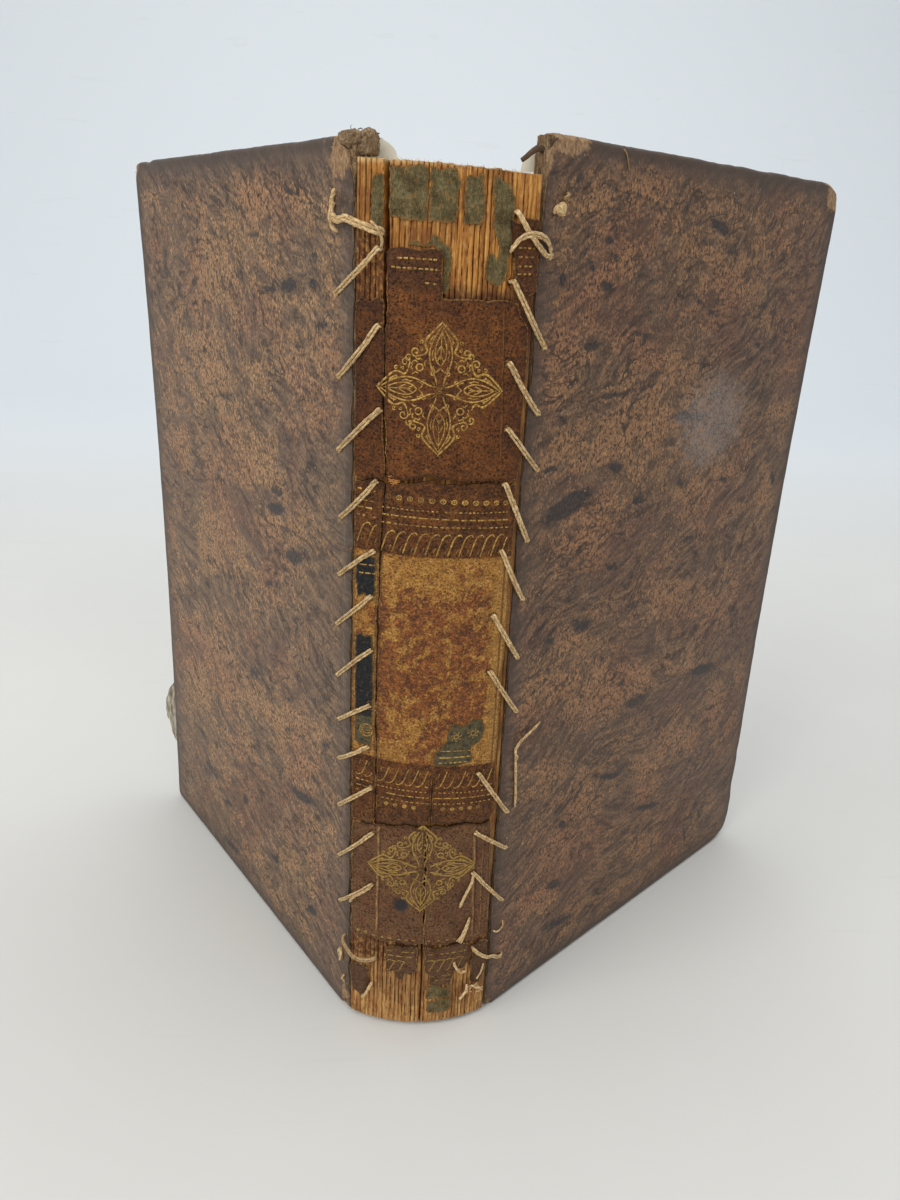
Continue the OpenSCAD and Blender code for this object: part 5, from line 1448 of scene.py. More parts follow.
gilt_b = Pile()
RL = S1 + 0.16
dashes(gilt_b, (-16.9, 126.2), (-13.1, 126.4), 1.6, 0.3, 101, 0.3, 0.02, r0=RL)
dashes(gilt_b, (-16.9, 124.3), (-13.1, 124.5), 1.3, 0.3, 102, 0.3, 0.02, r0=RL)
for k in range(-2, 3):                        # a small ribbed shell
    ribbon(gilt_b, [(-16.0, 86.2 + 0.25 * k), (-14.7, 86.4 + 0.75 * k), (-13.5, 86.6 + 0.5 * k)], 0.24, 0.2, r0=RL)
ribbon(gilt_b, ringlet((-14.8, 86.4), 1.55, 14) * [1, 1], 0.26, 0.16, r0=RL)
dashes(gilt_b, (2.3, 80.9), (10.0, 80.7), 3.4, 0.3, 103, 0.34, -0.05, r0=RL)
dashes(gilt_b, (2.3, 79.5), (10.0, 79.4), 0.75, 0.35, 104, 0.36, -0.08, r0=RL)
dashes(gilt_b, (2.6, 82.6), (10.0, 82.3), 2.6, 0.4, 105, 0.24, 0.15, r0=RL)
for cx, cz in ((6.2, 86.2), (10.2, 86.7)):
    ribbon(gilt_b, ringlet((cx, cz), 0.55, 10), 0.26, 0.04, r0=RL, taper=False)
    for k in range(7):
        a = k * 2 * math.pi / 7
        ribbon(gilt_b, [(cx + 0.8 * math.cos(a), cz + 0.8 * math.sin(a)), (cx + 1.15 * math.cos(a + 0.2), cz + 1.15 * math.sin(a + 0.2)),
                        (cx + 1.3 * math.cos(a + 0.45), cz + 1.3 * math.sin(a + 0.45))], 0.24, 0.16, r0=RL)
gilt_b.make("gilt_label_tooling", M_GILT, body=BLOCK, slot="label_leather", close=False, sharp=0)

# ------------------------------------------------------------------ covers
CORNERS = {   # radius of each corner in the plane of the cover
    "rear": {"hs": 2.6, "hf": 3.0, "tf": 3.2, "ts": 3.0},
    "front": {"hs": 3.2, "hf": 8.5, "tf": 11.0, "ts": 3.4}}


# marks listed one by one: centre u, z; one half-axis u, z; the other u, z; strength
REAR_BLOTS = [
    (44, 191, -3.2, 0, 0.1, -0.8, 0.7), (16, 187, -2.2, 0.1, 0, -1, 0.8), (27, 181, -4.2, 0.2, 0.1, -1.4, 0.9),
    (16, 182, -3, 0.2, 0, -1, 0.8), (36, 180, -4.5, 0.3, 0, -0.6, 0.7), (12, 174, -3.8, 0.3, 0, -0.8, 0.8),
    (28, 174, -3.8, 0.3, 0.1, -1.3, 0.5), (53, 197, -2.2, -0, 0.1, -0.9, 0.5), (82, 179, -2.1, 0.1, 0.1, -1, 0.6),
    (46, 175, -2.7, 0.2, 0.1, -0.9, 0.5), (64, 152, -5.7, 0.8, 0.1, -1.3, 0.7), (23, 169, -3.3, 0.3, 0, -0.5, 0.6),
    (12, 192, -4.9, 0.1, 0, -1.7, 0.4), (26, 200, -2.7, -0.1, 0, -1, 0.4), (36, 129, -5.4, 0.2, 1.2, -1.5, 0.9),
    (36, 133, -3.4, 0.1, 1, -1.1, 0.7), (27, 119, -4.5, 0.1, 1.7, -1.8, 0.9), (7, 127, -2.2, 0.6, 0, -0.9, 0.8),
    (40, 108, -4.6, 1.5, 0.1, -1.1, 0.6), (8, 122, -2.3, 0.7, 0, -1.4, 0.5), (42, 151, -2.2, 0.4, 0.1, -1.2, 0.6),
    (31, 147, -3.1, 0.6, 0, -0.9, 0.8), (78, 98, -6, 1.9, 0.2, -1.3, 0.4), (28, 102, -4.8, 1.7, 0, -0.8, 0.7),
    (42, 142, -4.5, 0.9, 0.1, -1.3, 0.4), (53, 77, -4, 1.6, 0.2, -3.2, 0.5), (30, 79, -5.8, 0.9, 1.5, -1.9, 0.4),
    (15, 86, -4.5, 2, 0, -2.2, 0.5), (29, 71, -5.1, 2.4, 0, -0.9, 0.6), (11, 75, -3.5, 1.7, 0, -1.1, 0.7),
    (24, 53, -9.3, 2, 1.6, -2.2, 0.7), (62, 31, -1.9, 1, 0.1, -1.5, 0.9), (77, 22, -5.4, 0.9, 1.1, -1.2, 0.8),
    (42, 22, -2.8, 0.3, 1.5, -1.7, 0.9), (20, 19, -2.7, 0.6, 1.5, -2.1, 0.8), (96, 38, -5.7, -0.9, 1.6, -1.2, 0.6),
    (51, 60, -6, 2.9, 0.2, -2.3, 0.4), (88, 28, -7.3, -0.2, 2.9, -2.5, 0.5), (74, 7, -7.3, 0.5, 1.6, -1.7, 0.7)]
REAR_ISLES = [
    (44, 199, -13, -0.2, 0.2, -2.5, 0.8), (61, 184, -19.2, 0.7, 1.1, -10.3, 1), (69, 166, -10.2, 1, 0.4, -3, 0.8),
    (32, 177, -7.3, 0.5, 0.1, -2.4, 0.8), (18, 178, -5.3, 0.4, 0, -1.8, 0.7), (77, 153, -13.5, 1.8, 0.9, -7.1, 1),
    (40, 160, -13.5, 1.7, 0.3, -4.2, 0.6), (57, 137, -20.1, 4, 0.7, -7, 1.2), (101, 131, -8.2, 1.6, 1.2, -6.9, 0.7),
    (34, 124, -14.2, 3.8, 0.2, -3.7, 1.1), (82, 115, -14.6, 3.7, 0.7, -5, 0.8), (76, 105, -14.3, 4.2, 0.7, -5.7, 0.7),
    (42, 103, -9.3, 3.1, 0.2, -3.4, 0.8), (98, 75, -13.6, 4.9, 0.9, -5.8, 0.9), (81, 71, -12.4, 4.9, 1, -8.5, 1),
    (64, 68, -15.3, 6.5, 0.4, -4.1, 0.9), (98, 52, -10.6, 4.6, 1.5, -10.2, 0.9), (58, 70, -9.5, 4.1, 0.4, -5.3, 0.8),
    (34, 71, -16.3, 3.8, 4.9, -7.3, 1.1), (64, 49, -10.9, 5.4, 0.4, -4.3, 0.8), (25, 61, -7.2, 3.7, 0.1, -3.1, 0.8),
    (85, 21, -6.2, -0, 4.3, -3.8, 0.7), (68, 22, -5.7, -0, 4.5, -4.3, 0.8), (56, 14, -5.6, -0.6, 3.8, -3.7, 0.8),
    (32, 27, -5.4, -0.1, 4, -4.3, 0.9), (16, 38, -3.5, -0.2, 2.6, -2.9, 0.7), (9, 53, -3.9, -0.4, 2.4, -2.6, 0.8),
    (20, 26, -4.8, 0.4, 3, -3.6, 0.8), (9, 160, -5.9, 0.8, 0, -5.5, 0.5), (23, 143, -11.3, 2.3, 0.2, -5.2, -1.2),
    (80, 207, -24.4, -0.9, 0.9, -5.9, -0.8), (97, 109, -8.3, 2.2, 0.8, -5.3, -0.7), (14, 112, -7.5, 2.5, 0.1, -10.2, -0.8),
    (86, 91, -12.4, 4, 0.6, -4.7, -0.6), (45, 85, -7.4, 2.9, 0.5, -7.4, -0.7), (14, 89, -12.5, 5.4, 0.1, -8.3, -0.7),
    (84, 7, -10.4, 0.3, 23.1, -22, -0.5), (1, 180, -3.1, 0.2, -0.2, -17.4, -1), (21, 204, -23.7, -0.8, 0.1, -2.6, -0.9),
    (2, 104, -3.5, 1.4, -0.3, -42.5, -0.9), (9, 20, -10.4, 7.6, 0.1, -13.5, -0.7)]
FRONT_BLOTS = [
    (10, 204, 1.2, 0.1, 0.2, -1.4, 0.8), (21, 193, 1.4, 0.1, 0.2, -1, 0.9), (16, 188, 1.7, 0, 0.2, -1.2, 0.9),
    (7, 185, 1.3, 0, 0.2, -1.3, 0.9), (22, 184, 2.1, 0, 0.2, -1, 0.9), (63, 198, 4.5, -1.2, -1.2, -1.1, 0.9),
    (71, 193, 4.7, 0.2, 0.5, -1.6, 0.5), (38, 185, 2.7, 0, 0.1, -0.5, 0.8), (19, 172, 4.3, -0.1, 0.2, -1, 0.9),
    (38, 180, 2, -0, 0.1, -0.5, 0.7), (30, 202, 1.3, 0.1, 0.1, -0.6, 0.8), (24, 190, 1.4, 0, 0.1, -0.8, 0.8),
    (4, 166, 1.3, -0.1, 0.2, -1.2, 0.8), (30, 161, 6.1, 0.1, 0.2, -0.5, 0.9), (66, 187, 3.2, 0.2, 0.2, -0.4, 0.8),
    (82, 208, 2.9, 0.2, 0.7, -2.2, 0.6), (92, 170, 2.7, -0.1, 0.3, -0.8, 0.7), (16, 137, 8.4, 2.6, 1.9, -1.9, 1.4),
    (62, 153, 8.7, -0.7, 0.3, -1.3, 0.9), (32, 144, 3.6, -0.4, 0.3, -1.5, 0.9), (44, 134, 2.6, -0.4, 0.2, -0.9, 0.9),
    (84, 134, 3.3, -0.4, 0.3, -1.2, 0.8), (25, 105, 3.9, -0.3, 0.9, -1.8, 0.9), (13, 104, 3.1, -0, 0.8, -1.4, 0.9),
    (36, 118, 3, -0.6, 0.2, -1.4, 0.7), (89, 74, 7.6, -0.5, 1.3, -1.6, 1), (115, 130, 1.3, -0.2, 0.8, -2.3, 0.9),
    (2, 111, 1.7, -0.4, 0.2, -1.5, 0.9), (62, 136, 2.4, -0.3, 0.2, -1, 0.7), (48, 105, 4.4, -0.3, 0.7, -1.3, 0.6),
    (9, 146, 3.4, -0, 0.2, -0.6, 0.7), (71, 119, 5.2, 0.1, 0.8, -0.9, 0.6), (36, 93, 1.3, -0.4, 0.2, -1, 0.8),
    (14, 96, 1.9, -0.6, 0.1, -1.1, 0.7), (28, 85, 2.6, -0.8, 0.2, -1.2, 0.7), (69, 34, 7.2, -1.9, 0.5, -1, 1.1),
    (46, 54, 6.9, -2.1, 0.5, -1.3, 0.8), (26, 47, 1.6, -0.7, 0.2, -1.4, 0.9), (25, 28, 3.2, -0.5, 0.9, -1.7, 0.9),
    (28, 13, 7.3, -1, 1.1, -1.9, 0.8), (94, 13, 1, -0.4, 1, -4, 0.9), (102, 17, 1.1, -0.5, 0.6, -2.2, 0.9),
    (54, 75, 7, -0.1, 1.1, -1.5, 0.6), (40, 173, 12.4, -2.5, -0.2, -0.6, 0.5), (59, 181, 10.2, -4, -0.6, -0.4, 0.5)]
FRONT_ISLES = [
    (35, 206, 11.4, 0.9, 0.8, -3.9, 0.7), (17, 198, 8.8, 0.5, 0.6, -3.8, 0.6), (43, 198, 6.4, 0.3, 0.4, -1.8, 0.9),
    (56, 192, 4.3, 0.1, 0.5, -1.7, 0.7), (8, 173, 4.6, -0.1, 0.5, -3.6, 0.6), (33, 174, 6.2, -0.2, 0.5, -2.6, 0.8),
    (30, 190, 4.4, 0.1, 0.6, -2.8, 0.8), (72, 185, 6.8, 0.1, 0.8, -2.8, 0.8), (48, 167, 11.4, -0.5, 0.5, -2.4, 0.9),
    (14, 170, 4.1, -0.2, 0.3, -2.1, 0.9), (8, 163, 4, -0.3, 0.4, -2.9, 0.9), (15, 150, 8, -0.9, 0.4, -2.7, 1.1),
    (41, 153, 2.8, 2.5, 9.2, -4.2, 1.2), (30, 148, 7.2, 1.8, 3.3, -3.3, 1.1), (46, 155, 7, -0.6, 0.5, -2.5, 1.2),
    (41, 141, 2.8, 1.9, 5.1, -2.9, 1), (30, 134, 12.1, 1.7, 3.8, -4.7, 1.2), (22, 126, 9.7, -0.1, 2.2, -4.3, 0.9),
    (67, 133, 11.4, -1.6, 0.7, -2.8, 0.8), (111, 125, 5.2, -0.8, 2, -5.9, 0.9), (81, 137, 3.9, 1.9, 5.4, -3.1, 0.9),
    (60, 104, 9.8, 1.3, 5.7, -6, 0.8), (91, 92, 4.4, 2.4, 10.9, -7, 0.9), (101, 97, 6.4, -1.4, 1.5, -4.9, 0.7),
    (22, 101, 6.7, -0.1, 2.1, -3.6, 1), (30, 86, 17.6, -3.4, 2.5, -6.5, 1.1), (48, 83, 11.2, -1.5, 1.9, -3.5, 0.9),
    (82, 53, 10, 0.9, 5.2, -5.4, 0.9), (67, 46, 4.9, 1.5, 7.5, -7, 1), (66, 40, 8.3, -1.5, 1.6, -2.7, 0.9),
    (35, 51, 11.9, -2.8, 2.5, -5.4, 0.9), (68, 19, 10.5, -0.8, 4.5, -6.1, 0.9), (26, 39, 7.6, -1.5, 2.8, -5.7, 0.8),
    (19, 25, 7.3, -3.9, 0.7, -5.8, 0.9), (23, 65, 9.9, -2, 1.5, -3.5, 0.7), (110, 79, 29, -7.8, 3.6, -11.6, -0.8),
    (106, -20, 23.7, -12.6, 3.9, -15.3, -0.6), (99, 32, 18.8, -3.5, 6.9, -10.1, -0.8), (78, 112, 15.2, 0.1, 2.7, -3.3, -0.7),
    (31, 114, 12.2, -0.6, 1.8, -3.5, -0.9), (20, 113, 9.7, -2.2, 0.8, -5.4, -0.7), (21, 74, 16.1, -2.1, 2, -4.1, -0.8),
    (85, 169, 16.5, -0.6, 3.3, -10.6, -0.6), (77, 71, 21.2, -1.5, 3.6, -4.9, -0.8), (57, -6, 29.4, -4.2, 5, -7.6, -0.8),
    (58, 16, 19.2, -2.3, 2.7, -3.9, -0.8), (7, 126, 5, -1, 1.2, -9.9, -0.6), (39, 177, 12.4, -0.2, 0.7, -3.1, -0.5)]


def ellipses(u, z, marks):
    """soft-edged ovals added together"""
    out = np.zeros(np.shape(u))
    for cu, cz, au, az, bu, bz, s in marks:
        det = au * bz - az * bu
        x, y = u - cu, z - cz
        out = out + s * np.exp(-(((x * bz - y * bu) ** 2 + (y * au - x * az) ** 2) / det ** 2) ** 1.2)
    return out


def corner_map(u, z, w, h, rad):
    """a rectangle's corners drawn in to rounds"""
    u, z = u.copy(), z.copy()
    for key, cu, cz, su, sz in (("hf", w, h, 1, 1), ("tf", w, 0.0, 1, -1)):
        r = rad[key]
        a = (u - (cu - su * r)) * su / r
        b = (z - (cz - sz * r)) * sz / r
        k = (a > 0) & (b > 0)
        aa, bb = np.clip(a, 0, 1), np.clip(b, 0, 1)
        a2 = aa * np.sqrt(1 - bb ** 2 / 2)
        b2 = bb * np.sqrt(1 - aa ** 2 / 2)
        u = np.where(k, cu - su * r + su * a2 * r, u)
        z = np.where(k, cz - sz * r + sz * b2 * r, z)
    return u, z


def lattice(nu, nz, nk, closed_start):
    mask = np.zeros((nu, nz, nk), bool)
    mask[:, [0, -1], :] = True
    mask[:, :, [0, -1]] = True
    mask[-1] = True
    if closed_start:
        mask[0] = True
    idx = -np.ones(mask.shape, np.int64)
    idx[mask] = np.arange(mask.sum())

    def grid(a, b, c, d):
        return np.stack([a.ravel(), b.ravel(), c.ravel(), d.ravel()], 1)
    F = []
    k0, kn = idx[:, :, 0], idx[:, :, -1]
    F.append(grid(k0[:-1, :-1], k0[:-1, 1:], k0[1:, 1:], k0[1:, :-1]))
    F.append(grid(kn[:-1, :-1], kn[1:, :-1], kn[1:, 1:], kn[:-1, 1:]))
    j0, jn = idx[:, 0, :], idx[:, -1, :]
    F.append(grid(j0[:-1, :-1], j0[1:, :-1], j0[1:, 1:], j0[:-1, 1:]))
    F.append(grid(jn[:-1, :-1], jn[:-1, 1:], jn[1:, 1:], jn[1:, :-1]))
    i_ = idx[-1]
    F.append(grid(i_[:-1, :-1], i_[1:, :-1], i_[1:, 1:], i_[:-1, 1:]))
    if closed_start:
        i0 = idx[0]
        F.append(grid(i0[:-1, :-1], i0[:-1, 1:], i0[1:, 1:], i0[1:, :-1]))
    ring = np.concatenate([idx[0, :, 0], idx[0, -1, 1:], idx[0, -2::-1, -1], idx[0, 0, -2:0:-1]])
    return np.nonzero(mask), np.vstack(F), ring


def stations(length, step, fine_ends=(True, True)):
    lo = [0, 0.12, 0.3, 0.6, 1.0, 1.6, 2.4] if fine_ends[0] else [0, 1.0, 2.0]
    hi = [length - x for x in ([0, 0.12, 0.3, 0.6, 1.0, 1.6, 2.4] if fine_ends[1] else [0])][::-1]
    n = int((hi[0] - lo[-1]) / step)
    mid = np.linspace(lo[-1], hi[0], n + 1)[1:-1]
    return np.concatenate([lo, mid, hi])


def round_box(u, z, d, w, h, T, r):
    """rounds the edges of a slab (not the joint edge)"""
    cu, cz, cd = np.minimum(u, w - r), np.clip(z, r, h - r), np.clip(d, min(r, T / 2), T - min(r, T / 2))
    du, dz, dd = u - cu, z - cz, d - cd
    L = np.sqrt(du ** 2 + dz ** 2 + dd ** 2)
    rr = min(r, T / 2)
    k = np.where(L > 1e-9, rr / np.maximum(L, 1e-9), 0)
    both = (np.abs(du) + np.abs(dz)) > 1e-9
    return (np.where(both, cu + du * k * (r / rr), u), np.where(both, cz + dz * k * (r / rr), z), np.where(both, cd + dd * k, d))


def cover(side):
    P, w, h = (rear, REAR_W, REAR_H) if side == "rear" else (front, FRONT_W, FRONT_H)
    mat = M_REAR if side == "rear" else M_FRONT
    body = side + "_cover"
    rows = REAR_ROWS if side == "rear" else FRONT_ROWS
    rad = CORNERS[side]
    sd = 700 if side == "rear" else 800
    T = 4.0
    us = stations(w, 1.08, (True, True))
    zs = stations(h, 1.12)
    ks = np.array([0, 0.25, 0.6, 1.1, 1.7, 2.3, 2.9, 3.4, 3.75, 4.0])

    def u_start(z):
        """the leather's torn joint edge: drawn back at head and tail"""
        e = 0.28 * fbm(z, 0 * z, 0.16, sd, 3) + 0.12 * fbm(z, 0 * z, 1.1, sd + 3, 2) + 0.15
        if side == "rear":
            e = e + 4.6 * smooth(h - 3.4, h - 0.4, z) + 1.6 * smooth(h - 9, h - 4, z) + 3.4 * smooth(4.5, 0.6, z)
        else:
            e = e + 2.2 * smooth(h - 4.0, h - 0.6, z) + 2.6 * smooth(5.5, 0.8, z)
            e = e - 0.45 * smooth(70, 90, z) * (1 - smooth(140, 165, z))
        return e

    def fore(z):
        """wear of the fore-edge"""
        e = 0.16 * fbm(z, 0 * z + 5, 0.12, sd + 11, 3) + 0.05 * fbm(z, 0 * z, 0.9, sd + 12, 2)
        if side == "front":
            e = e - 0.9 * np.exp(-((z - 20.5) / 3.2) ** 2) * (1 + 0.6 * fbm(z, 0 * z, 0.5, 5, 2)) - 0.35 * np.exp(-((z - 33) / 2.0) ** 2)
        else:
            e = e - 0.8 * np.exp(-((z - (h - 1.5)) / 2.0) ** 2)
        return e

    def place(u, z, d, inner=False):
        u2, z2, d2 = (u, z, d) if inner else round_box(u, z, d, w, h, T, 1.15)
        u3, z3 = corner_map(u2, z2, w, h, rad)
        s = np.clip(u3 / w, 0, 1)
        us_ = u_start(z3)
        us_ = us_ + np.maximum((0.2 if side == "rear" else 0.55) - us_, 0) * smooth(0.5, 1.2, d2)
        u4 = u3 + us_ * (1 - s) ** 6 * (1 if not inner else 0.0) + fore(z3) * s ** 12
        top = 0.14 * fbm(u3, 0 * u3, 0.1, sd + 21, 3) + 0.06 * fbm(u3, 0 * u3, 0.8, sd + 22, 2)
        z4 = z3 + (top - 0.1) * smooth(h - 6, h, z3) + (0.05 * top + 0.06) * smooth(5, 0, z3)
        if side == "rear":                      # a knock near the head fore corner
            z4 = z4 - 0.7 * np.exp(-((u3 - 112) / 2.4) ** 2) * smooth(h - 5, h, z3)
        z4 = np.maximum(z4, 0.02)
        return u4, z4, d2

    (I, J, K), quads, ring = lattice(len(us), len(zs), len(ks), False)
    u, z, d = place(us[I], zs[J], ks[K])
    worn = np.zeros(len(u))
    scuff = np.zeros(len(u))
    eu = np.minimum(np.minimum(w - u, z), h - z)
    edge = np.minimum(eu, u * 0.9 + 2.0)
    lump = fbm(u, z, 0.35, sd + 40, 3)
    if side == "rear":
        worn += 1.1 * np.exp(-(((u - 5.0) / 3.9) ** 2 + ((z - (h - 4.3)) / (3.4 + 0.8 * np.sin(u * 2.1))) ** 2) ** 2)
        worn += 0.8 * smooth(h - 2.6, h - 1.0, z) * smooth(8.0, 4.0, u)
        worn += 1.3 * np.exp(-(((u - w) / 4.0) ** 2 + ((z - h) / 3.6) ** 2))
        worn += 0.9 * np.exp(-(((u - w) / 2.2) ** 2 + ((z - 0) / 3.0) ** 2))
        worn += 1.1 * smooth(8.0, 2.0, z) * smooth(5.0, 1.0, u)
        worn += 0.62 * np.exp(-(((u - 2.0) / 1.1) ** 2 + ((z - 9) / 5) ** 2))
    else:
        worn += 1.1 * np.exp(-(((u - 6.0) / 7.0) ** 2 + ((z - (h - 1.0)) / 3.0) ** 2))
        worn += 0.9 * smooth(h - 14, h - 2, z) * smooth(2.4, 0.3, u)
        worn += 1.25 * np.exp(-(((u - (w - 3)) / 5.0) ** 2 + ((z - (h - 3)) / 4.0) ** 2))
        worn += 1.2 * np.exp(-(((u - w) / 1.2) ** 2 + ((z - 21) / 4.5) ** 2))
        worn += 0.9 * smooth(7.0, 1.0, z) * smooth(3.5, 0.5, u)
        worn += 0.7 * np.exp(-(((u - w) / 1.4) ** 2 + ((z - 8) / 6) ** 2))
        scuff += np.exp(-((((u - 74) * 0.8 + (z - 151) * 0.45) / 15) ** 2 + (((z - 151) * 0.9 - (u - 74) * 0.3) / 12.5) ** 2) ** 1.4)
    worn += 0.55 * smooth(1.2, 0.3, eu) * np.clip(fbm(u, z, 0.09, sd + 50, 2) + 0.15, 0, 1)
    relief = 0.045 * fbm(u, z, 0.05, sd + 60, 3) * 3 + 0.03 * fbm(u, z, 0.4, sd + 61, 3)
    outer_face = smooth(1.5, 0.0, d)
    fray = np.clip(worn, 0, 1)
    d = d - outer_face * relief * smooth(0.0, 3.0, eu) + outer_face * fray * (0.14 + 0.22 * lump)
    # dimples where the thread goes in
    for _, _, hu, hz in rows:
        d = d + outer_face * 0.5 * np.exp(-(((u - hu) / 0.75) ** 2 + ((z - hz) / 0.75) ** 2))
    # the joint edge curls in towards the gap
    d = d + 0.55 * smooth(1.6, 0.0, u) * outer_face * (0.7 + 0.5 * fbm(z, 0 * z, 0.3, sd + 66, 2))
    d = d + warp(u, z, w, h)
    out_pts = P(u, z, d)
    n_out = len(out_pts)
    # the pocket that holds the board, open at the joint
    us_in = np.array([0.0, 0.6, 1.5, 3.0, 5.0, 8.0, 20.0, 45.0, 70.0, 95.0, 112.0, w - 3.0, w - 0.75])
    (I2, J2, K2), quads2, ring2 = lattice(len(us_in), len(zs), len(ks), False)
    zi = 0.7 + (h - 1.4) * zs[J2] / h
    di = 0.72 + (3.55 - 0.72) * ks[K2] / 4.0
    ui = us_in[I2]
    u2, z2 = corner_map(ui, zi, w - 0.75, h - 0.7, {k_: max(0.5, v - 0.6) for k_, v in rad.items()})
    u2 = u2 + u_start(z2) * (1 - np.clip(u2 / w, 0, 1)) ** 6
    in_pts = P(u2, z2, di + warp(u2, z2, w, h))
    rim = np.stack([ring, n_out + ring2, n_out + np.roll(ring2, -1), np.roll(ring, -1)], 1)
    V = np.vstack([out_pts, in_pts])
    n_in = len(in_pts)
    mmv = np.vstack([np.column_stack([u, z, d]), np.column_stack([u2, z2, di])])
    blot = ellipses(u, z, REAR_BLOTS if side == "rear" else FRONT_BLOTS) * smooth(3.0, 1.0, d)
    isle = ellipses(u, z, REAR_ISLES if side == "rear" else FRONT_ISLES) * smooth(3.0, 1.0, d)
    ob = make(side + "_marbled_covering", V, [quads, quads2[:, ::-1] + n_out, rim], mat,
              {"mm": mmv, "edge": np.concatenate([edge, np.zeros(n_in)]), "worn": np.concatenate([worn, np.ones(n_in)]),
               "scuff": np.concatenate([scuff, np.zeros(n_in)]), "blot": np.concatenate([blot, np.zeros(n_in)]),
               "isle": np.concatenate([isle, np.zeros(n_in)])}, body, "cover_leather", sharp=50)
    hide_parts(side + "_cover_leather")
    # the board
    ub = np.concatenate([[-0.15, 0.0, 0.2, 0.45, 0.8, 1.2, 1.7, 2.3, 3.0, 3.8, 4.8, 6.0, 8.0], np.linspace(12, w - 1.6, 20), [w - 1.1]])
    zb = np.concatenate([np.linspace(0, 10, 24)[:-1], np.linspace(10, h - 12, 130)[:-1], np.linspace(h - 12, h, 34)])
    kb = np.linspace(0, 1, 9)
    (I3, J3, K3), quads3, _ = lattice(len(ub), len(zb), len(kb), True)
    u, k_ = ub[I3], kb[K3]
    z = 0.85 + (h - 1.7) * zb[J3] / h
    d = 0.86 + (3.42 - 0.86) * k_
    corner = smooth(h - 9, h - 1.5, z) * smooth(8, 3, u) if side == "rear" else smooth(h - 7, h - 1.5, z) * smooth(5, 1.5, u)
    tailc = smooth(8, 1.5, z) * smooth(5, 1.5, u)
    face = smooth(2.2, 0.0, u)
    rough_ = fbm(d * 2.2, z, 0.55, sd + 80, 3, z=u * 0.3)
    lay = fbm(d * 3.4, z * 0.12, 1.0, sd + 83, 2)
    u = np.maximum(u + face * (0.35 * rough_ + 0.28 * lay + 0.25), -0.05 if side == "rear" else 0.4)
    mid = 0.5 - np.abs(k_ - 0.5)
    if side == "rear":
        z = z - corner * (0.5 - 0.3 * rough_)
        d = d + corner * 0.15 * fbm(z, u, 0.5, sd + 84, 2)
    else:
        z = z + corner * (0.5 * mid + 0.4 * rough_)
        d = d + corner * 0.5 * (k_ - 0.5) + corner * 0.2 * fbm(z, u, 0.6, sd + 84, 2)
    d = d + tailc * 0.5 * (k_ - 0.5) * (1 + rough_)
    z = np.maximum(z, 0.1)
    u, z = corner_map(u, z, w - 1.1, h - 0.85, {k2: max(0.5, v - 0.8) for k2, v in rad.items()})
    # keep clear of the covering further in
    inside_ = smooth(3.0, 7.0, ub[I3])
    z = np.where(inside_ > 0.99, np.clip(z, 0.85, h - 0.85), z)
    pts = P(u, z, d + warp(u, z, w, h))
    ob = make(side + "_pasteboard", pts, [quads3], M_BOARD, {"mm": np.column_stack([u, z, d])}, body, "pasteboard", sharp=50)
    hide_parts(side + "_board")
    return u_start


def lump(pile, P, c, r, seed, rough=0.12):
    """a swollen, fibrous end of the pasteboard, worn round"""
    nt, nr = 72, 36
    th = np.arange(nt) * 2 * math.pi / nt
    ph = (np.arange(1, nr) / nr - 0.5) * math.pi
    T, F = np.meshgrid(th, ph, indexing="xy")

    def sg(v, e):
        return np.sign(v) * np.abs(v) ** e
    D = np.stack([sg(np.cos(F), 0.9) * sg(np.cos(T), 0.9), sg(np.sin(F), 0.9), sg(np.cos(F), 0.9) * sg(np.sin(T), 0.9)], -1).reshape(-1, 3)
    D = np.vstack([D, [[0, -1, 0], [0, 1, 0]]])
    q = D * r
    k = 1 + rough * fbm(q[:, 0], q[:, 1], 0.5, seed, 3, z=q[:, 2] * 0.9) + 0.085 * fbm(q[:, 0] * 0.8, q[:, 1], 1.5, seed + 1, 3, z=q[:, 2] * 1.8)
    q = q * k[:, None] + c
    q[:, 1] = np.where(q[:, 1] < 205.6, 205.6 + 0.12 * (q[:, 1] - 205.6), q[:, 1])   # it clears the leaves' head
    i = np.arange(nt)
    quads = np.vstack([np.stack([a * nt + i, a * nt + (i + 1) % nt, (a + 1) * nt + (i + 1) % nt, (a + 1) * nt + i], 1) for a in range(nr - 2)])
    lo, hi = len(D) - 2, len(D) - 1
    tris = np.vstack([np.stack([np.full(nt, lo), (i + 1) % nt, i], 1), np.stack([(nr - 2) * nt + i, (nr - 2) * nt + (i + 1) % nt, np.full(nt, hi)], 1)])
    V = P(q[:, 0], q[:, 1], q[:, 2])
    pile.add(V, [quads, tris], mm=q + [0.0, 0.0, 3.0])


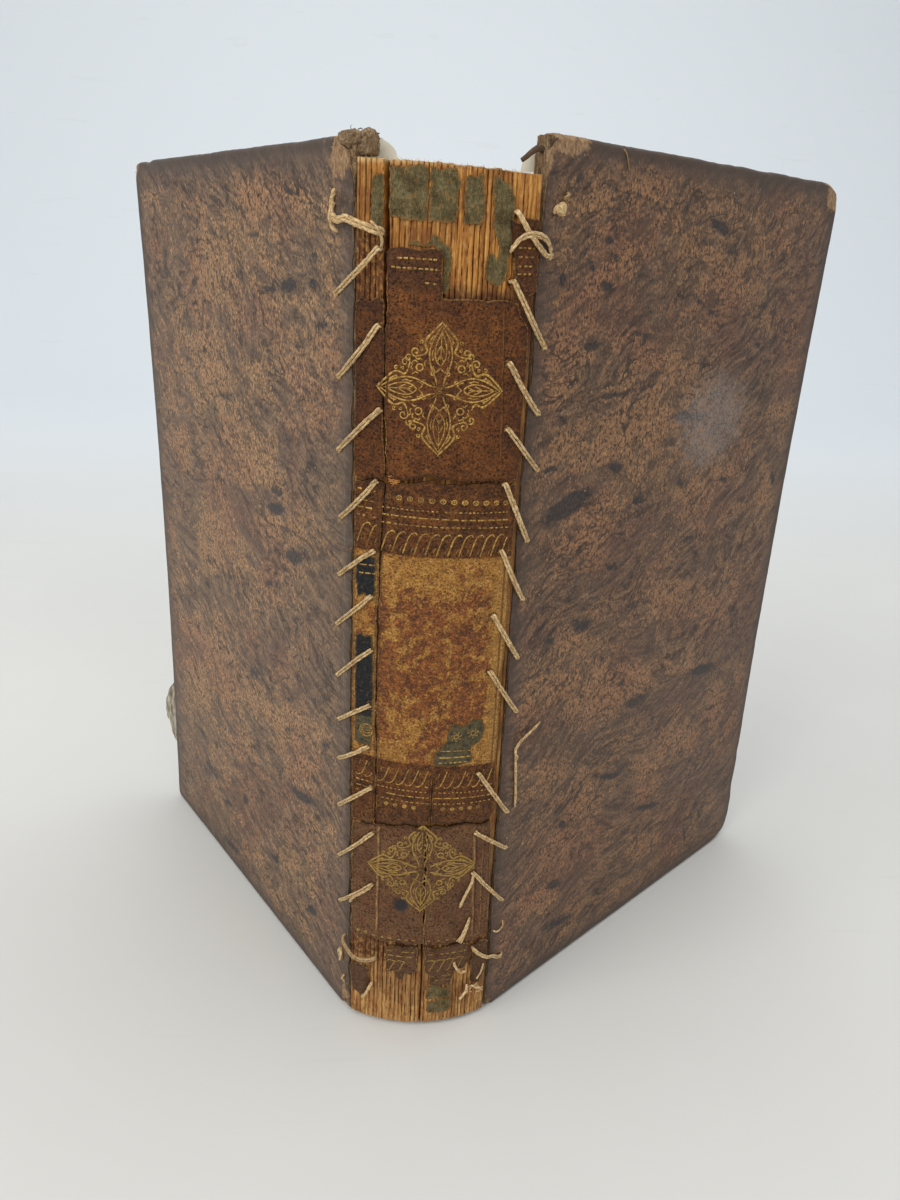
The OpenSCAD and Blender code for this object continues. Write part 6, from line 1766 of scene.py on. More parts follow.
cover("rear")
cover("front")
lobes = Pile()
lump(lobes, rear, (2.6, 208.5, 1.3), (3.9, 1.6, 1.8), 871, 0.2)
lump(lobes, rear, (-0.1, 207.3, 3.3), (2.2, 2.7, 2.1), 872, 0.2)
rngl = np.random.default_rng(17)
for k in range(20):                            # loose fibres of the board
    a0 = rngl.uniform(0, 2 * math.pi)
    if k % 2:
        b0 = np.array([2.6 + 3.6 * math.cos(a0) * rngl.uniform(0.3, 1), 209.6 + rngl.uniform(-0.4, 0.4), 1.3 + 1.4 * math.sin(a0)])
    else:
        b0 = np.array([-0.1 + 2.0 * math.cos(a0), 207.6 + rngl.uniform(-1.6, 1.9), 3.3 + 1.8 * math.sin(a0)])
    path = [rear(*b0)]
    for q_ in range(4):
        path.append(path[-1] + rngl.normal(size=3) * [0.36, 0.3, 0.2] + [0, -0.1, 0.0])
    v, f, al_, rd = tube(catmull(np.array(path), 0.3), np.linspace(0.08, 0.03, len(catmull(np.array(path), 0.3))), 4)
    lobes.add(v, f, mm=np.column_stack([al_, rd, np.full(len(v), k * 3.1)]))
lobes.make("rear_board_worn_lobes", M_BOARD, body="rear_cover", slot="pasteboard", close=False, sharp=0)

# ------------------------------------------------------------------ endpapers
def sheet_mesh(name, u, z, d, thick, P, body, soil=None, edge=None, back=1.0):
    """a closed thin sheet over a grid; d is the depth of the face nearest the cover"""
    nu, nz = u.shape
    a = P(u, z, d).reshape(-1, 3)
    b = P(u, z, d + thick * back).reshape(-1, 3)
    n = nu * nz
    idx = np.arange(n).reshape(nu, nz)
    q = np.stack([idx[:-1, :-1].ravel(), idx[1:, :-1].ravel(), idx[1:, 1:].ravel(), idx[:-1, 1:].ravel()], 1)
    loop = np.concatenate([idx[0, :], idx[1:, -1], idx[-1, -2::-1], idx[-2:0:-1, 0]])
    nxt = np.roll(loop, -1)
    wall = np.stack([loop, loop + n, nxt + n, nxt], 1)
    # q seen from the cover side; the wall must run the other way along each border edge
    e = set(map(tuple, np.vstack([q[:, [0, 1]], q[:, [1, 2]], q[:, [2, 3]], q[:, [3, 0]]]).tolist()))
    if (int(wall[0, 3]), int(wall[0, 0])) not in e:
        wall = wall[:, ::-1]
    mmv = np.column_stack([u.ravel(), z.ravel(), np.zeros(n)])
    s = np.zeros(n) if soil is None else soil.ravel()
    ed = np.full(n, 50.0) if edge is None else edge.ravel()
    return make(name, np.vstack([a, b]), [np.vstack([q, q[:, ::-1] + n]), wall], M_PAPER,
                {"mm": np.vstack([mmv, mmv + [0, 0, 4]]), "soil": np.concatenate([s, s]), "edge": np.concatenate([ed, ed])},
                body, "endpaper", sharp=60)


def endpapers(side):
    P, w, h = (rear, REAR_W, REAR_H) if side == "rear" else (front, FRONT_W, FRONT_H)
    body = side + "_cover"
    sd = 900 if side == "rear" else 950
    # pastedown, laid over the turn-ins
    a = np.linspace(0, 1, 60)
    b = np.linspace(0, 1, 96)
    A, B = np.meshgrid(a, b, indexing="ij")
    u = 0.9 + (w - 4.4) * A + 0.25 * fbm(B * h, 0 * B, 0.1, sd, 2) * A ** 8
    z = 3.6 + (h - 7.2) * B + 0.25 * fbm(A * w, 0 * A, 0.1, sd + 1, 2) * (2 * B - 1) ** 9
    turn = np.minimum(np.minimum(w - u, z), h - z)
    d = 4.02 + warp(u, z, w, h) + 0.07 * smooth(17, 13, turn) + 0.02 * fbm(u, z, 0.08, sd + 2, 3)
    edge = np.minimum(turn - 3.4, u)
    ob = sheet_mesh(side + "_pastedown", u, z, d, 0.12, P, body, soil=0.5 * smooth(3.5, 0.5, u), edge=edge)
    # free leaf, standing a little off the cover
    a, b = np.linspace(0, 1, 56), np.linspace(0, 1, 84)
    if side == "rear":                        # finer where it is crumpled
        a = np.concatenate([np.linspace(0, 0.84, 32), np.linspace(0.84, 1, 42)[1:]])
        b = np.concatenate([np.linspace(0, 0.04, 3), np.linspace(0.04, 0.28, 72)[1:], np.linspace(0.28, 1, 34)[1:]])
    A, B = np.meshgrid(a, b, indexing="ij")
    far = w - 2.2
    if side == "rear":
        zz = B * h
        far = (w - 1.6) + 0 * B
        bulge = 9.7 * np.exp(-(np.abs(zz - 29.5) / 17.0) ** 1.9)
        far = far + bulge * (1 + 0.07 * fbm(zz, 0 * zz, 0.22, sd + 8, 2))
    top = h - 2.8 - 3.6 * smooth(9, 0, A * w)
    bot = 2.4 + 1.0 * smooth(6, 0, A * w)
    u = 1.2 + (far - 1.2) * A
    z = bot + (top - bot) * B
    d = 4.32 + (u - 1.2) * math.tan(math.radians(1.9)) + warp(u, z, w, h)
    d = d + smooth(2, 20, u) * 0.25 * fbm(u, z, 0.02, sd + 3, 3) + 0.18 * smooth(30, w, u) * np.sin(z * 0.05 + 1.0)
    soil = np.zeros_like(u)
    if side == "rear":
        # crumpled at the fore-edge: it comes back to the board and bends round its edge
        k = np.exp(-((z - 29.5) / 23.0) ** 4) * smooth(w - 17, w - 3, u)
        over = np.clip(u - (w + 0.5), 0, None)
        free = smooth(w + 0.2, w + 2.2, u)
        d = d + k * (np.maximum(4.5 - 0.78 * over, 0.9) - d)
        d = d + k * ((0.1 + 0.5 * free) * fbm(u * 4.5 + z * 0.7, z * 0.5, 0.12, sd + 30, 2) - 0.35 * free * np.abs(fbm(u * 2.4 + z * 0.5, z * 0.25, 0.26, sd + 33, 2)))
        u = u + k * free * 0.35 * fbm(z, u, 0.2, sd + 31, 2)
        soil = 1.1 * k * smooth(w - 8, w, u)
    else:
        d = d + 0.6 * smooth(8, 1, u) * 0
    d = np.where(u < w + 0.5, np.maximum(d, 4.2 + warp(u, z, w, h) * (u < w)), d)
    edge = np.minimum(np.minimum(far - u + 1, z - bot + 1), top - z + 1)
    leaf = sheet_mesh(side + "_free_leaf", u, z, d, 0.16, P, None, soil=soil, edge=edge)
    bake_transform(leaf)
    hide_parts(side + "_endpaper")
    # the corner of the paper that stands over the head beside the joint
    a = np.linspace(0, 1, 22)
    b = np.linspace(0, 1, 20)
    A, B = np.meshgrid(a, b, indexing="ij")
    if side == "rear":
        path = catmull(np.array([(7.0, 4.6), (4.0, 4.9), (1.8, 5.7), (0.5, 7.0), (-0.3, 8.4), (-0.8, 9.7)]), 0.2)
        t = np.linspace(0, 1, len(path))
        uu = np.interp(A, t, path[:, 0])
        dd = np.interp(A, t, path[:, 1])
        lo_z = 204.9 + 0.9 * (1 - A)
        hi_z = 205.3 + 4.4 * np.sqrt(np.clip(1 - A ** 2.6, 0, 1))
        z = lo_z + (hi_z - lo_z) * B + 0.05
        uu = uu + 0.35 * (B - 0.3) * A
    else:
        path = catmull(np.array([(6.0, 4.5), (3.6, 4.8), (2.0, 5.6), (1.2, 6.6), (0.9, 7.6)]), 0.2)
        t = np.linspace(0, 1, len(path))
        uu = np.interp(A, t, path[:, 0])
        dd = np.interp(A, t, path[:, 1])
        lo_z = 204.6 + 0 * A
        hi_z = 205.0 + 3.6 * np.sqrt(np.clip(1 - A ** 4, 0, 1))
        z = lo_z + (hi_z - lo_z) * B
    sheet_mesh(side + "_endpaper_corner", uu, z, dd, 0.1, P, body, edge=np.full(A.shape, 30.0))


endpapers("rear")
endpapers("front")

# ------------------------------------------------------------------ twine
def strand(pile, pts, r, seed, which, dirt=0.0, ends=(1.0, 1.0), step=0.28, pitch=3.4, ply=0.12, sides=9, flat=0.85):
    path = catmull(np.asarray(pts, float), step)
    keep = np.concatenate([[True], np.linalg.norm(np.diff(path, axis=0), axis=1) > 1e-3])
    path = path[keep]
    n = len(path)
    rng = np.random.default_rng(seed)
    t = np.linspace(0, 1, n)
    rr = r * (1 + 0.07 * fbm(t * n * step, 0 * t, 0.9, seed, 2))
    rr = rr * np.interp(t, [0, 0.06, 0.94, 1], [ends[0], 1, 1, ends[1]])
    v, f, al_, rd = tube(path, rr, sides, ply, pitch, rng.uniform(0, 6), flat)
    dd = np.broadcast_to(dirt, (len(v),))
    pile.add(v, f, mm=np.column_stack([al_, rd * r, np.full(len(v), which * 3.1)]), dirt=dd)
    return path


def fuzz(pile, path, seed, count, length=0.9, which=0):
    """loose fibres along a thread"""
    rng = np.random.default_rng(seed)
    for i in range(count):
        k = rng.integers(1, len(path) - 1)
        d = rng.normal(size=3)
        d[1] -= 0.6
        d /= np.linalg.norm(d)
        t = path[k] - path[k - 1]
        t /= np.linalg.norm(t) + 1e-9
        L = length * rng.uniform(0.4, 1.2)
        p = [path[k], path[k] + 0.35 * L * (d + 0.6 * t), path[k] + L * (0.7 * d + 0.9 * t)]
        v, f, al_, rd = tube(catmull(np.array(p), 0.25), np.linspace(0.045, 0.015, len(catmull(np.array(p), 0.25))), 3)
        pile.add(v, f, mm=np.column_stack([al_, rd, np.full(len(v), which * 3.1)]), dirt=0.0)


def over_spine(x, z, d):
    return spine(float(arc(x)), z, S1 + d)


def pair(pile, centre, gap, r, seed, which, side_dir, **kw):
    """two strands side by side along a centre line"""
    c = np.asarray(centre, float)
    rng = np.random.default_rng(seed)
    w = np.concatenate([[0.15], np.full(len(c) - 2, 1.0), [0.15]])
    for k in (-1, 1):
        off = side_dir * (gap * k) * (w * (1 + rng.uniform(-0.15, 0.25, len(c))))[:, None]
        path = strand(pile, c + off, r * rng.uniform(0.92, 1.06), seed + k + 3, which + 0.3 * k, **kw)
        if rng.random() < 0.3:
            fuzz(pile, path, seed + 50 + k, 1, 0.6, which)


EYE = np.array([-10.9934, -187.8916, 189.5653])     # where the picture was taken from


def taut(q, a, b, sag=0.0):
    """moves q up or down until it lies on the straight pull from a to b as it is seen in the picture"""
    n = np.cross(a - EYE, b - EYE)
    return np.array([q[0], q[1], EYE[2] - (n[0] * (q[0] - EYE[0]) + n[1] * (q[1] - EYE[1])) / n[2] + sag])


def stitch(pile, side, row, seed, style="pair"):
    x, z0, u, z1 = row
    cov = (lambda a, b, c: rear(a, b, -c)) if side == "rear" else (lambda a, b, c: front(a, b, -c))
    sgn = -1 if side == "rear" else 1
    edge_x = 17.4 * sgn
    rng = np.random.default_rng(seed)
    bow = rng.uniform(-0.3, 0.3)
    a = over_spine(x + 0.15 * sgn, z0, 0.34)
    b = cov(u, z1, 0.32)
    c = np.array([over_spine(x - 0.1 * sgn, z0, -1.5), over_spine(x, z0, -0.25), a,
                  taut(over_spine(x + 1.5 * sgn, 0, 0.42), a, b, 0.5 * bow), taut(over_spine((x + edge_x) / 2, 0, 0.46), a, b, bow),
                  taut(over_spine(edge_x, 0, 0.5), a, b, bow), taut(cov(0.7, 0, 0.5), a, b, 0.7 * bow),
                  taut(cov(0.5 * (u + 0.7), 0, 0.36), a, b, 0.4 * bow), b, cov(u + 0.15, z1 - 0.05, -0.4), cov(u + 0.15, z1, -1.6)])
    d = c[7] - c[3]
    d /= np.linalg.norm(d)
    sd_ = np.cross(d, np.array([0, -1.0, 0]))
    sd_ /= np.linalg.norm(sd_)
    pair(pile, c, 0.27, 0.285, seed, seed, sd_)
    # a small knob where the thread goes into the cover
    k = cov(u, z1, 0.22)
    q = np.array([k + sd_ * 0.28 - d * 0.3, k - d * 0.05 + [0, -0.1, 0], k - sd_ * 0.25 + d * 0.2, k - sd_ * 0.05 + d * 0.45])
    strand(pile, q, 0.33, seed + 9, seed + 0.5, ends=(0.5, 0.5), step=0.2)


def lacing(side):
    rows = REAR_ROWS if side == "rear" else FRONT_ROWS
    pile = Pile()
    sd = 1000 if side == "rear" else 1200
    cov = (lambda a, b, c: rear(a, b, -c)) if side == "rear" else (lambda a, b, c: front(a, b, -c))
    for i, row in enumerate(rows):
        if side == "rear" and i == 0:
            # the thick first stitch with its loop over the cover
            x, z0, u, z1 = row
            c = np.array([over_spine(x, z0, -1.4), over_spine(x - 0.1, z0 + 0.1, 0.35), over_spine(-14.6, z0 + 0.6, 0.95), over_spine(-17.2, z0 + 1.5, 1.1),
                          cov(1.2, z0 + 2.3, 0.9), cov(4.2, z1 - 0.4, 0.8), cov(6.3, z1 + 0.4, 0.7), cov(6.9, z1 + 2.2, 0.6), cov(6.7, z1 + 4.4, 0.3),
                          cov(6.5, z1 + 4.9, -0.9)])
            pair(pile, c, 0.36, 0.4, sd, sd, np.array([0.1, 0, 1.0]))
            c = np.array([cov(6.2, z1 + 2.8, 0.4), cov(7.0, z1 + 0.6, 0.9), cov(6.6, z1 - 1.4, 0.7), cov(5.8, z1 - 2.2, 0.35), cov(5.7, z1 - 2.3, -0.6)])
            strand(pile, c, 0.42, sd + 5, sd)
            c = np.array([over_spine(-14.4, z0 + 1.9, 0.9), over_spine(-13.0, z0 + 0.6, 1.25), over_spine(-12.4, z0 - 1.2, 0.8), over_spine(-12.6, z0 - 2.6, 0.3)])
            strand(pile, c, 0.3, sd + 6, sd + 1, dirt=0.4)
            continue
        if side == "rear" and i == len(rows) - 1:
            # low stitch, curved and browned
            x, z0, u, z1 = row
            c = np.array([over_spine(x + 1.2, z0 + 2.6, -1.2), over_spine(x + 0.9, z0 + 2.4, 0.4), over_spine(-14.2, z0 + 1.6, 0.9), over_spine(-16.6, z0 + 2.0, 1.1),
                          cov(0.4, z0 + 3.4, 0.9), cov(1.4, z1 + 1.8, 0.6), cov(1.7, z1 + 2.2, -1.2)])
            pair(pile, c, 0.28, 0.34, sd + 40, sd + 40, np.array([0.2, 0, 1.0]), dirt=0.5)
            continue
        if side == "front" and i == 0:
            x, z0, u, z1 = row
            c = np.array([over_spine(12.5, z0, -1.2), over_spine(12.7, z0 - 0.2, 0.3), over_spine(14.3, z0 - 2.8, 0.85), over_spine(16.4, z0 - 5.4, 1.0),
                          cov(0.4, z0 - 7.4, 0.9), cov(2.4, z1 + 0.8, 0.5), cov(3.4, z1 - 0.4, -1.0)])
            pair(pile, c, 0.25, 0.29, sd, sd, np.array([0.6, 0, 0.6]))
            # the second one rises and falls over the joint
            c = np.array([over_spine(12.0, 190.0, -0.6), over_spine(12.0, 190.8, 0.5), over_spine(13.2, 192.4, 1.0), over_spine(15.2, 193.2, 1.2), over_spine(17.2, 192.9, 1.2),
                          cov(0.9, 191.9, 0.8), cov(2.2, 189.9, 0.5), cov(2.8, 188.8, -0.8)])
            pair(pile, c, 0.27, 0.31, sd + 3, sd + 3, np.array([0.2, 0, 1.0]))
            continue
        if side == "front" and i == len(rows) - 1:
            # the last one hangs slack over the joint
            c = np.array([over_spine(13.6, 23.4, -1.2), over_spine(13.8, 23.2, 0.35), over_spine(15.2, 21.6, 0.9), over_spine(16.9, 20.2, 1.1),
                          cov(0.6, 18.2, 0.9), cov(2.6, 16.4, 0.6), cov(4.4, 16.0, 0.4), cov(4.9, 16.6, -0.6)])
            pair(pile, c, 0.27, 0.3, sd + 50, sd + 50, np.array([0.2, 0, 1.0]))
            continue
        stitch(pile, side, row, sd + 11 * i)
    if side == "rear":
        # an extra strand beside the thirteenth, and odd ends at the tail
        x, z0, u, z1 = rows[12]
        strand(pile, [over_spine(-12.6, z0 - 0.6, 0.5), over_spine(-14.4, z0 - 2.4, 0.9), over_spine(-16.4, z0 - 4.4, 1.0), over_spine(-17.6, z0 - 6.6, 0.9)], 0.36, sd + 300, 8, dirt=0.2, ends=(0.6, 0.4))
        strand(pile, [over_spine(-12.2, 13.0, -0.6), over_spine(-12.6, 12.0, 0.5), over_spine(-13.6, 9.4, 0.7), over_spine(-14.6, 8.0, 0.4)], 0.42, sd + 301, 9, ends=(0.6, 0.4))
    else:
        x, z0, u, z1 = rows[10]
        strand(pile, [over_spine(12.2, z0, 0.4), over_spine(11.6, z0 - 2.2, 0.9), over_spine(10.2, z0 - 5.4, 1.0), over_spine(8.9, z0 - 8.6, 1.15)], 0.36, sd + 300, 8, ends=(0.8, 0.7))
        # splayed tail of a broken thread
        for k in range(4):
            strand(pile, [over_spine(11.9, 33.6 + 0.2 * k, 0.4), over_spine(11.2 - 0.2 * k, 31.4, 0.9), over_spine(10.4 - 0.25 * k, 29.2, 1.0), over_spine(9.8 - 0.45 * k, 27.2 + 0.4 * k, 1.0 + 0.1 * k)],
                   0.24, sd + 310 + k, 8 + k, ends=(0.8, 0.5), ply=0.1)
        strand(pile, [over_spine(8.7, 20.6, -0.4), over_spine(9.0, 19.4, 0.5), over_spine(10.2, 17.8, 0.8), over_spine(11.8, 17.4, 0.6)], 0.36, sd + 320, 3, ends=(0.7, 0.6))
        strand(pile, [over_spine(16.6, 17.6, 0.2), over_spine(15.6, 15.6, 0.8), over_spine(14.6, 13.6, 0.6)], 0.22, sd + 321, 4, ends=(0.7, 0.5))
        strand(pile, [over_spine(12.6, 12.0, -0.4), over_spine(12.2, 10.8, 0.5), over_spine(11.0, 9.2, 0.6), over_spine(10.6, 8.2, 0.2)], 0.38, sd + 322, 5, ends=(0.7, 0.5))
        rng = np.random.default_rng(5)
        for k in range(6):                      # a tangle of ends at the foot of the joint
            b = over_spine(15.0, 11.0, 0.5)
            p = [b]
            for q in range(4):
                p.append(p[-1] + rng.normal(size=3) * [0.8, 0.3, 0.7] + [0.25, -0.05, -0.1])
            p = np.array(p)
            p[:, 2] = np.clip(p[:, 2], 8.5, 13)
            p[:, 1] = np.minimum(p[:, 1], b[1] + 0.4)
            strand(pile, p, 0.2, sd + 330 + k, k, ends=(0.8, 0.5), ply=0.1)
    ob = pile.make(side + "_lacing_twine", M_TWINE, close=False, sharp=0)
    hx = REAR_X if side == "rear" else FRONT_X
    sg = -1 if side == "rear" else 1
    b = (np.array([hx + sg * 0.9, HINGE_Y + 0.4, 0]) + PLACE) * MM
    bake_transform(ob)
    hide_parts(side + "_stitches")


lacing("rear")
lacing("front")

# threads left on the front cover, and odd fibres of each cover
rem = Pile()


def on_front(u, z, d):
    return front(u, z, -d)


strand(rem, [on_front(2.5, 197.2, 0.2), on_front(2.9, 198.5, 0.9), on_front(4.1, 198.9, 1.2), on_front(4.7, 198.0, 1.0), on_front(3.9, 197.2, 1.3), on_front(3.0, 197.9, 1.0),
             on_front(3.6, 198.6, 1.5), on_front(4.3, 197.7, 1.1), on_front(3.4, 196.9, 0.6)],
       0.5, 1401, 1, ends=(0.7, 0.7), step=0.2)
strand(rem, [on_front(2.9, 197.4, 0.4), on_front(3.6, 198.0, 0.9), on_front(4.3, 198.4, 0.4)], 0.8, 1407, 2, ends=(0.5, 0.5), step=0.2)
strand(rem, [on_front(5.1, 199.8, 0.2), on_front(5.7, 200.6, 0.8), on_front(6.2, 201.2, 0.2)], 0.42, 1402, 2, dirt=0.7, ends=(0.6, 0.5))
strand(rem, [on_front(12.3, 83, 0.25), on_front(10, 82.2, 0.5), on_front(6.8, 81, 0.6), on_front(4.6, 80, 0.62), on_front(3.5, 78.4, 0.62), on_front(3.7, 76.4, 0.55),
             on_front(4.2, 72, 0.5), on_front(4.8, 66, 0.5), on_front(5.2, 61.6, 0.3)], 0.34, 1403, 3, ends=(0.5, 0.6))
strand(rem, [on_front(3.4, 79.2, 0.5), on_front(3.2, 77.6, 0.9), on_front(3.9, 76.6, 0.9), on_front(4.1, 75.4, 0.5)], 0.3, 1404, 4, ends=(0.6, 0.6), step=0.2)
strand(rem, [on_front(0.9, 25.6, -0.2), on_front(1.6, 25.2, 0.5), on_front(2.9, 25.3, 0.6), on_front(4.0, 26.0, 0.5), on_front(4.4, 27.2, -0.1)], 0.24, 1405, 5, ends=(0.7, 0.5))
ob = rem.make("front_thread_ends", M_TWINE, body="front_cover", slot="twine", close=False, sharp=0)
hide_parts("front_twine_remnants")

fib = Pile()
rng = np.random.default_rng(77)


def hair(pile, pts, r0, r1, sides=4):
    p = catmull(np.asarray(pts, float), 0.5)
    v, f, al_, rd = tube(p, np.linspace(r0, r1, len(p)), sides)
    pile.add(v, f, mm=np.column_stack([al_, rd, np.full(len(v), float(len(pile.v)))]))


for k in range(26):                           # frayed leather at the front cover's head
    u0 = rng.uniform(0.4, 9)
    z0 = 210.6 - 0.2 * abs(u0 - 4)
    p0 = front(u0, z0, rng.uniform(0.6, 3.0))
    L = rng.uniform(0.5, 1.3)
    hair(fib, [p0, p0 + [rng.normal() * 0.3, -0.2, 0.35 * L], p0 + [rng.normal() * 0.7, -0.35, 0.5 * L]], 0.13, 0.03)
for k in range(30):                           # the front joint's torn edge
    z0 = rng.choice([rng.uniform(178, 209), rng.uniform(60, 80), rng.uniform(28, 60)])
    p0 = front(rng.uniform(0.2, 0.6), z0, rng.uniform(0.2, 1.3))
    hair(fib, [p0, p0 + [rng.normal() * 0.12 + 0.04, -0.25, rng.normal() * 0.4], p0 + [rng.normal() * 0.16 + 0.1, -0.5, rng.normal() * 0.9]], 0.1, 0.025)
hair(fib, [front(22.5, 210.9, 0.8), front(23.6, 210.0, -0.15), front(24.6, 208.4, -0.2), front(25.4, 206.6, -0.1)], 0.2, 0.08)
ob = fib.make("front_cover_frayed_fibres", M_FIBRE, body="front_cover", slot="cover_leather", close=False, sharp=0)

twig = Pile()
a = front(1.4, 207.6, 2.2)
hair(twig, [front(2.4, 206.6, 2.6), a, a + [-1.2, -1.2, 0.9], a + [-2.6, -1.9, 0.2], a + [-3.9, -2.3, -0.9], a + [-4.7, -2.4, -1.5]], 0.75, 0.45, 8)
hair(twig, [a + [0.3, -0.8, 0.6], a + [0.9, -1.5, 1.9], a + [1.9, -1.9, 2.6]], 0.6, 0.2, 7)
twig.make("front_joint_dried_strip", M_TWIG, body="front_cover", slot="cover_leather", close=False, sharp=0)

fib = Pile()
for k in range(34):                           # the rear joint's torn edge and the tail corner
    z0 = rng.choice([rng.uniform(186, 208), rng.uniform(2, 30), rng.uniform(30, 180)])
    p0 = rear(rng.uniform(0.2, 0.6), z0, rng.uniform(0.2, 1.5))
    hair(fib, [p0, p0 + [rng.normal() * 0.12 - 0.08, -0.25, rng.normal() * 0.4], p0 + [rng.normal() * 0.16 - 0.15, -0.5, rng.normal() * 0.9]], 0.1, 0.025)
for k in range(10):
    p0 = rear(REAR_W - 0.8, REAR_H - rng.uniform(0.5, 4), rng.uniform(0.5, 3))
    hair(fib, [p0, p0 + [-0.35, 0.2, 0.25], p0 + [-0.6, 0.3, rng.uniform(-0.4, 0.9)]], 0.12, 0.03)
# a white knot and bits of thread near the tail
fib.make("rear_cover_frayed_fibres", M_FIBRE, body="rear_cover", slot="cover_leather", close=False, sharp=0)
rt = Pile()
strand(rt, [rear(2.6, 15.4, 0.2), rear(3.4, 17.2, -0.7), rear(2.9, 19.0, -0.5), rear(2.0, 18.0, -0.9), rear(2.4, 16.0, -0.9), rear(3.2, 15.2, -0.2)], 0.42, 1501, 2, ends=(0.6, 0.6), step=0.2)
strand(rt, [rear(1.6, 8.6, 0.1), rear(2.0, 9.8, -0.5), rear(1.4, 11.2, -0.2)], 0.3, 1502, 3, ends=(0.6, 0.5))
rt.make("rear_cover_thread_knot", M_TWINE, body="rear_cover", slot="twine", close=False, sharp=0)

# loose fibres at the head edge of the leaves
fib = Pile()
for k in range(120):
    x = rng.uniform(-16.8, 16.6)
    s = float(arc(x))
    zt = 204.5 - x * math.tan(math.radians(2.4))
    p0 = spine(s, zt - rng.uniform(0.1, 0.5), R - rng.uniform(0.2, 0.5))
    L = rng.uniform(0.25, 0.8)
    hair(fib, [p0, p0 + [rng.normal() * 0.15, -0.25, 0.3 * L], p0 + [rng.normal() * 0.35, -0.35 * rng.random(), 0.8 * L]], 0.055, 0.02, 3)
for k in range(60):
    x = rng.uniform(-16.5, 16.5)
    s = float(arc(x))
    p0 = spine(s, rng.uniform(1.6, 5.5), R - 0.15)
    hair(fib, [p0, p0 + [rng.normal() * 0.1, -0.2, -0.3], p0 + [rng.normal() * 0.3, -0.3, -rng.uniform(0.2, 0.7)]], 0.05, 0.02, 3)
M_PALE = fibre_material("pale_paper_fibre", (176, 132, 76), (226, 196, 144))
fib.make("leaf_edge_fibres", M_PALE, body=BLOCK, slot="leaves", close=False, sharp=0)
# orange fibres in the lower break, left, and a torn shred at the upper break
fib = Pile()
for k in range(26):
    s = rng.uniform(-17.2, -12.2)
    z = 61.8 + rng.normal() * 0.5
    p0 = spine(s, z, S1 - 0.35)
    hair(fib, [p0, p0 + [rng.normal() * 0.15, -0.3, 0.7], p0 + [rng.normal() * 0.3, -0.35, rng.uniform(1.0, 2.0)]], 0.1, 0.03, 4)
for k in range(16):
    s = rng.uniform(-11.0, -9.2)
    z = 145.3 + rng.normal() * 0.35
    p0 = spine(s, z, S1 - 0.1)
    hair(fib, [p0, p0 + [0.5, -0.3, rng.normal() * 0.2], p0 + [1.1, -0.2, rng.normal() * 0.4]], 0.13, 0.04, 4)
M_AMBER = fibre_material("amber_fibre", (150, 84, 34), (206, 150, 84))
fib.make("spine_break_fibres", M_AMBER, body=BLOCK, slot="spine_leather", close=False, sharp=0)

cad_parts["sewing_cords"].data.materials.clear()
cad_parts["sewing_cords"].data.materials.append(M_CORD)

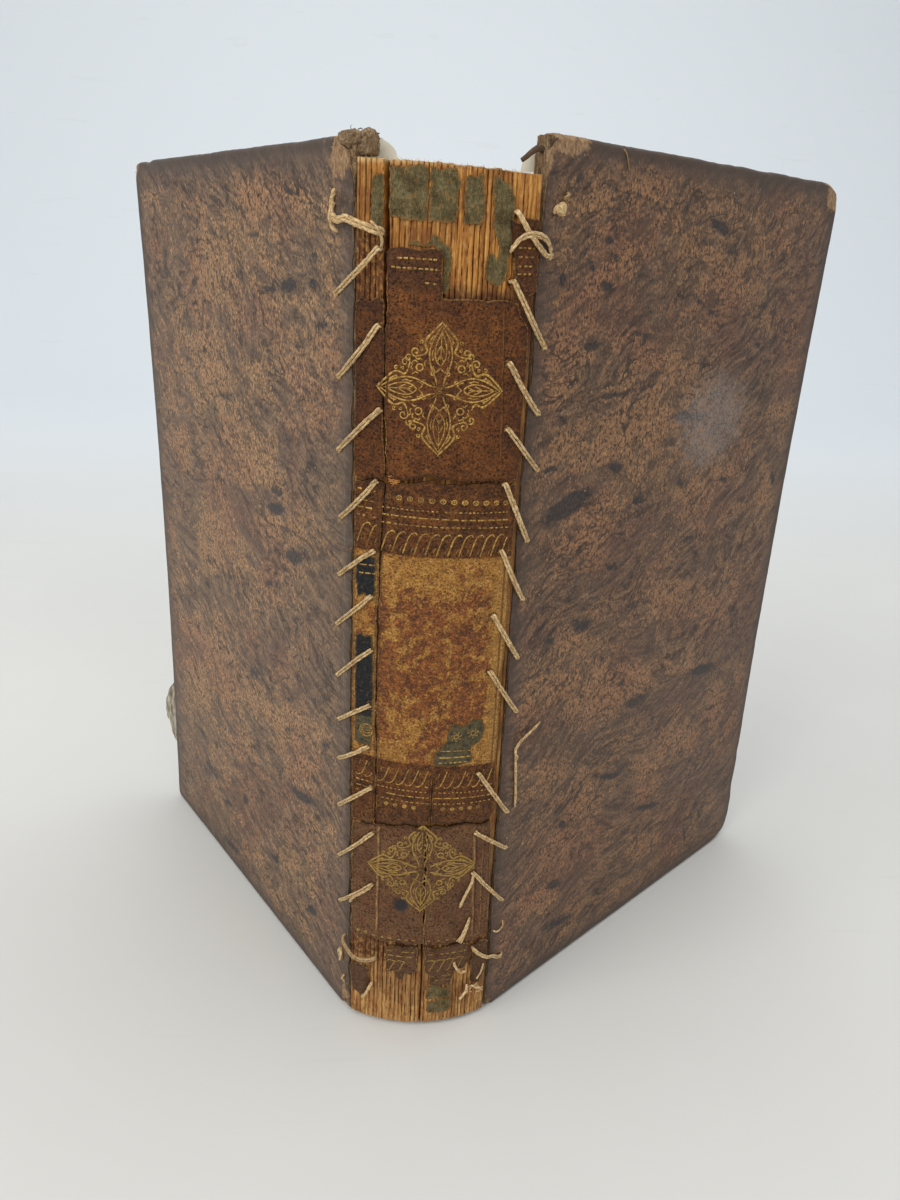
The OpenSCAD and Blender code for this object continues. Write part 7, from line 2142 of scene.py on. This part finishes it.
# ------------------------------------------------------------------ stage, light, camera
def stage_scene():
    m = Mat("pale_table", rough=0.55, spec=0.35)
    p = m.node("ShaderNodeTexCoord").outputs["Object"]
    n = m.noise(p, 3.0, 5, 0.6)
    base = m.ramp(n, [(0.3, lin(203, 202, 198)), (0.7, lin(210, 209, 205))])
    _, yy, zz = m.xyz(p)
    # painted light: lighter and bluer towards the back, where the floor sweeps up
    base = m.mix(m.fit(yy, 0.15, 0.9, 0, 1, True), base, lin(217, 222, 226))
    scr = m.noise(m.mm(9, 90, 1, src=p), 1.0, 3, 0.6)
    base = m.mix(m.fit(scr, 0.66, 0.7, 0, 0.12), base, lin(190, 190, 188))
    m.set(color=base)
    # floor sweeping up into a backdrop
    prof = [(-3.0, 0.0), (0.9, 0.0)]
    for k in range(1, 13):
        a = math.pi / 2 * k / 12
        prof.append((0.9 + 0.8 * math.sin(a), 0.8 - 0.8 * math.cos(a)))
    prof.append((1.7, 3.5))
    xs_ = [-3.5, -1.2, 0, 1.2, 3.5]
    V = [(x, y, z) for (y, z) in prof for x in xs_]
    F = []
    for i in range(len(prof) - 1):
        for j in range(len(xs_) - 1):
            a = i * len(xs_) + j
            F.append((a, a + 1, a + 1 + len(xs_), a + len(xs_)))
    me = bpy.data.meshes.new("table")
    me.from_pydata(V, [], F)
    me.polygons.foreach_set("use_smooth", np.ones(len(F), bool))
    me.materials.append(m.m)
    ob = bpy.data.objects.new("table", me)
    bpy.context.scene.collection.objects.link(ob)
    w = bpy.data.worlds.new("soft_room")
    bpy.context.scene.world = w
    w.use_nodes = True
    bg = w.node_tree.nodes["Background"]
    bg.inputs[0].default_value = (0.86, 0.885, 0.90, 1)
    bg.inputs[1].default_value = 0.6

    def area(name, loc, target, size, power, color):
        l = bpy.data.lights.new(name, "AREA")
        l.shape = "RECTANGLE"
        l.size, l.size_y = size
        l.energy = power
        l.color = color
        o = bpy.data.objects.new(name, l)
        o.location = loc
        o.rotation_mode = "QUATERNION"
        o.rotation_quaternion = (Vector(target) - Vector(loc)).to_track_quat("-Z", "Y")
        bpy.context.scene.collection.objects.link(o)
    area("window_left", (-1.1, -0.9, 1.25), (0, 0, 0.1), (1.2, 1.2), 17.0, (1.0, 0.985, 0.955))
    area("ceiling", (0.2, 0.3, 1.9), (0, 0, 0.0), (2.2, 2.2), 20.0, (0.985, 0.99, 1.0))
    area("front_fill", (0.7, -1.5, 0.8), (0, 0, 0.1), (1.4, 1.0), 6.0, (1.0, 0.98, 0.95))
    bpy.context.scene.view_settings.view_transform = "Standard"
    cam = bpy.data.cameras.new("photo_camera")
    cam.sensor_fit = "AUTO"
    cam.sensor_width = 36.0
    cam.lens = 913.0 * 36.0 / 1200.0
    cam.clip_start, cam.clip_end = 0.01, 20
    o = bpy.data.objects.new("photo_camera", cam)
    bpy.context.scene.collection.objects.link(o)
    yaw, pitch, roll = (math.radians(v) for v in (4.4507, 20.8935, 2.7232))
    fwd = Vector((math.sin(yaw) * math.cos(pitch), math.cos(yaw) * math.cos(pitch), -math.sin(pitch)))
    right = Vector((math.cos(yaw), -math.sin(yaw), 0))
    up = right.cross(fwd)
    r2 = right * math.cos(roll) + up * math.sin(roll)
    u2 = up * math.cos(roll) - right * math.sin(roll)
    o.location = ((-10.9934 + PLACE[0]) * MM, (-187.8916 + PLACE[1]) * MM, 189.5653 * MM)
    from mathutils import Matrix
    m3 = Matrix((r2, u2, -fwd)).transposed()
    o.rotation_mode = "QUATERNION"
    o.rotation_quaternion = m3.to_quaternion()
    bpy.context.scene.camera = o


stage_scene()
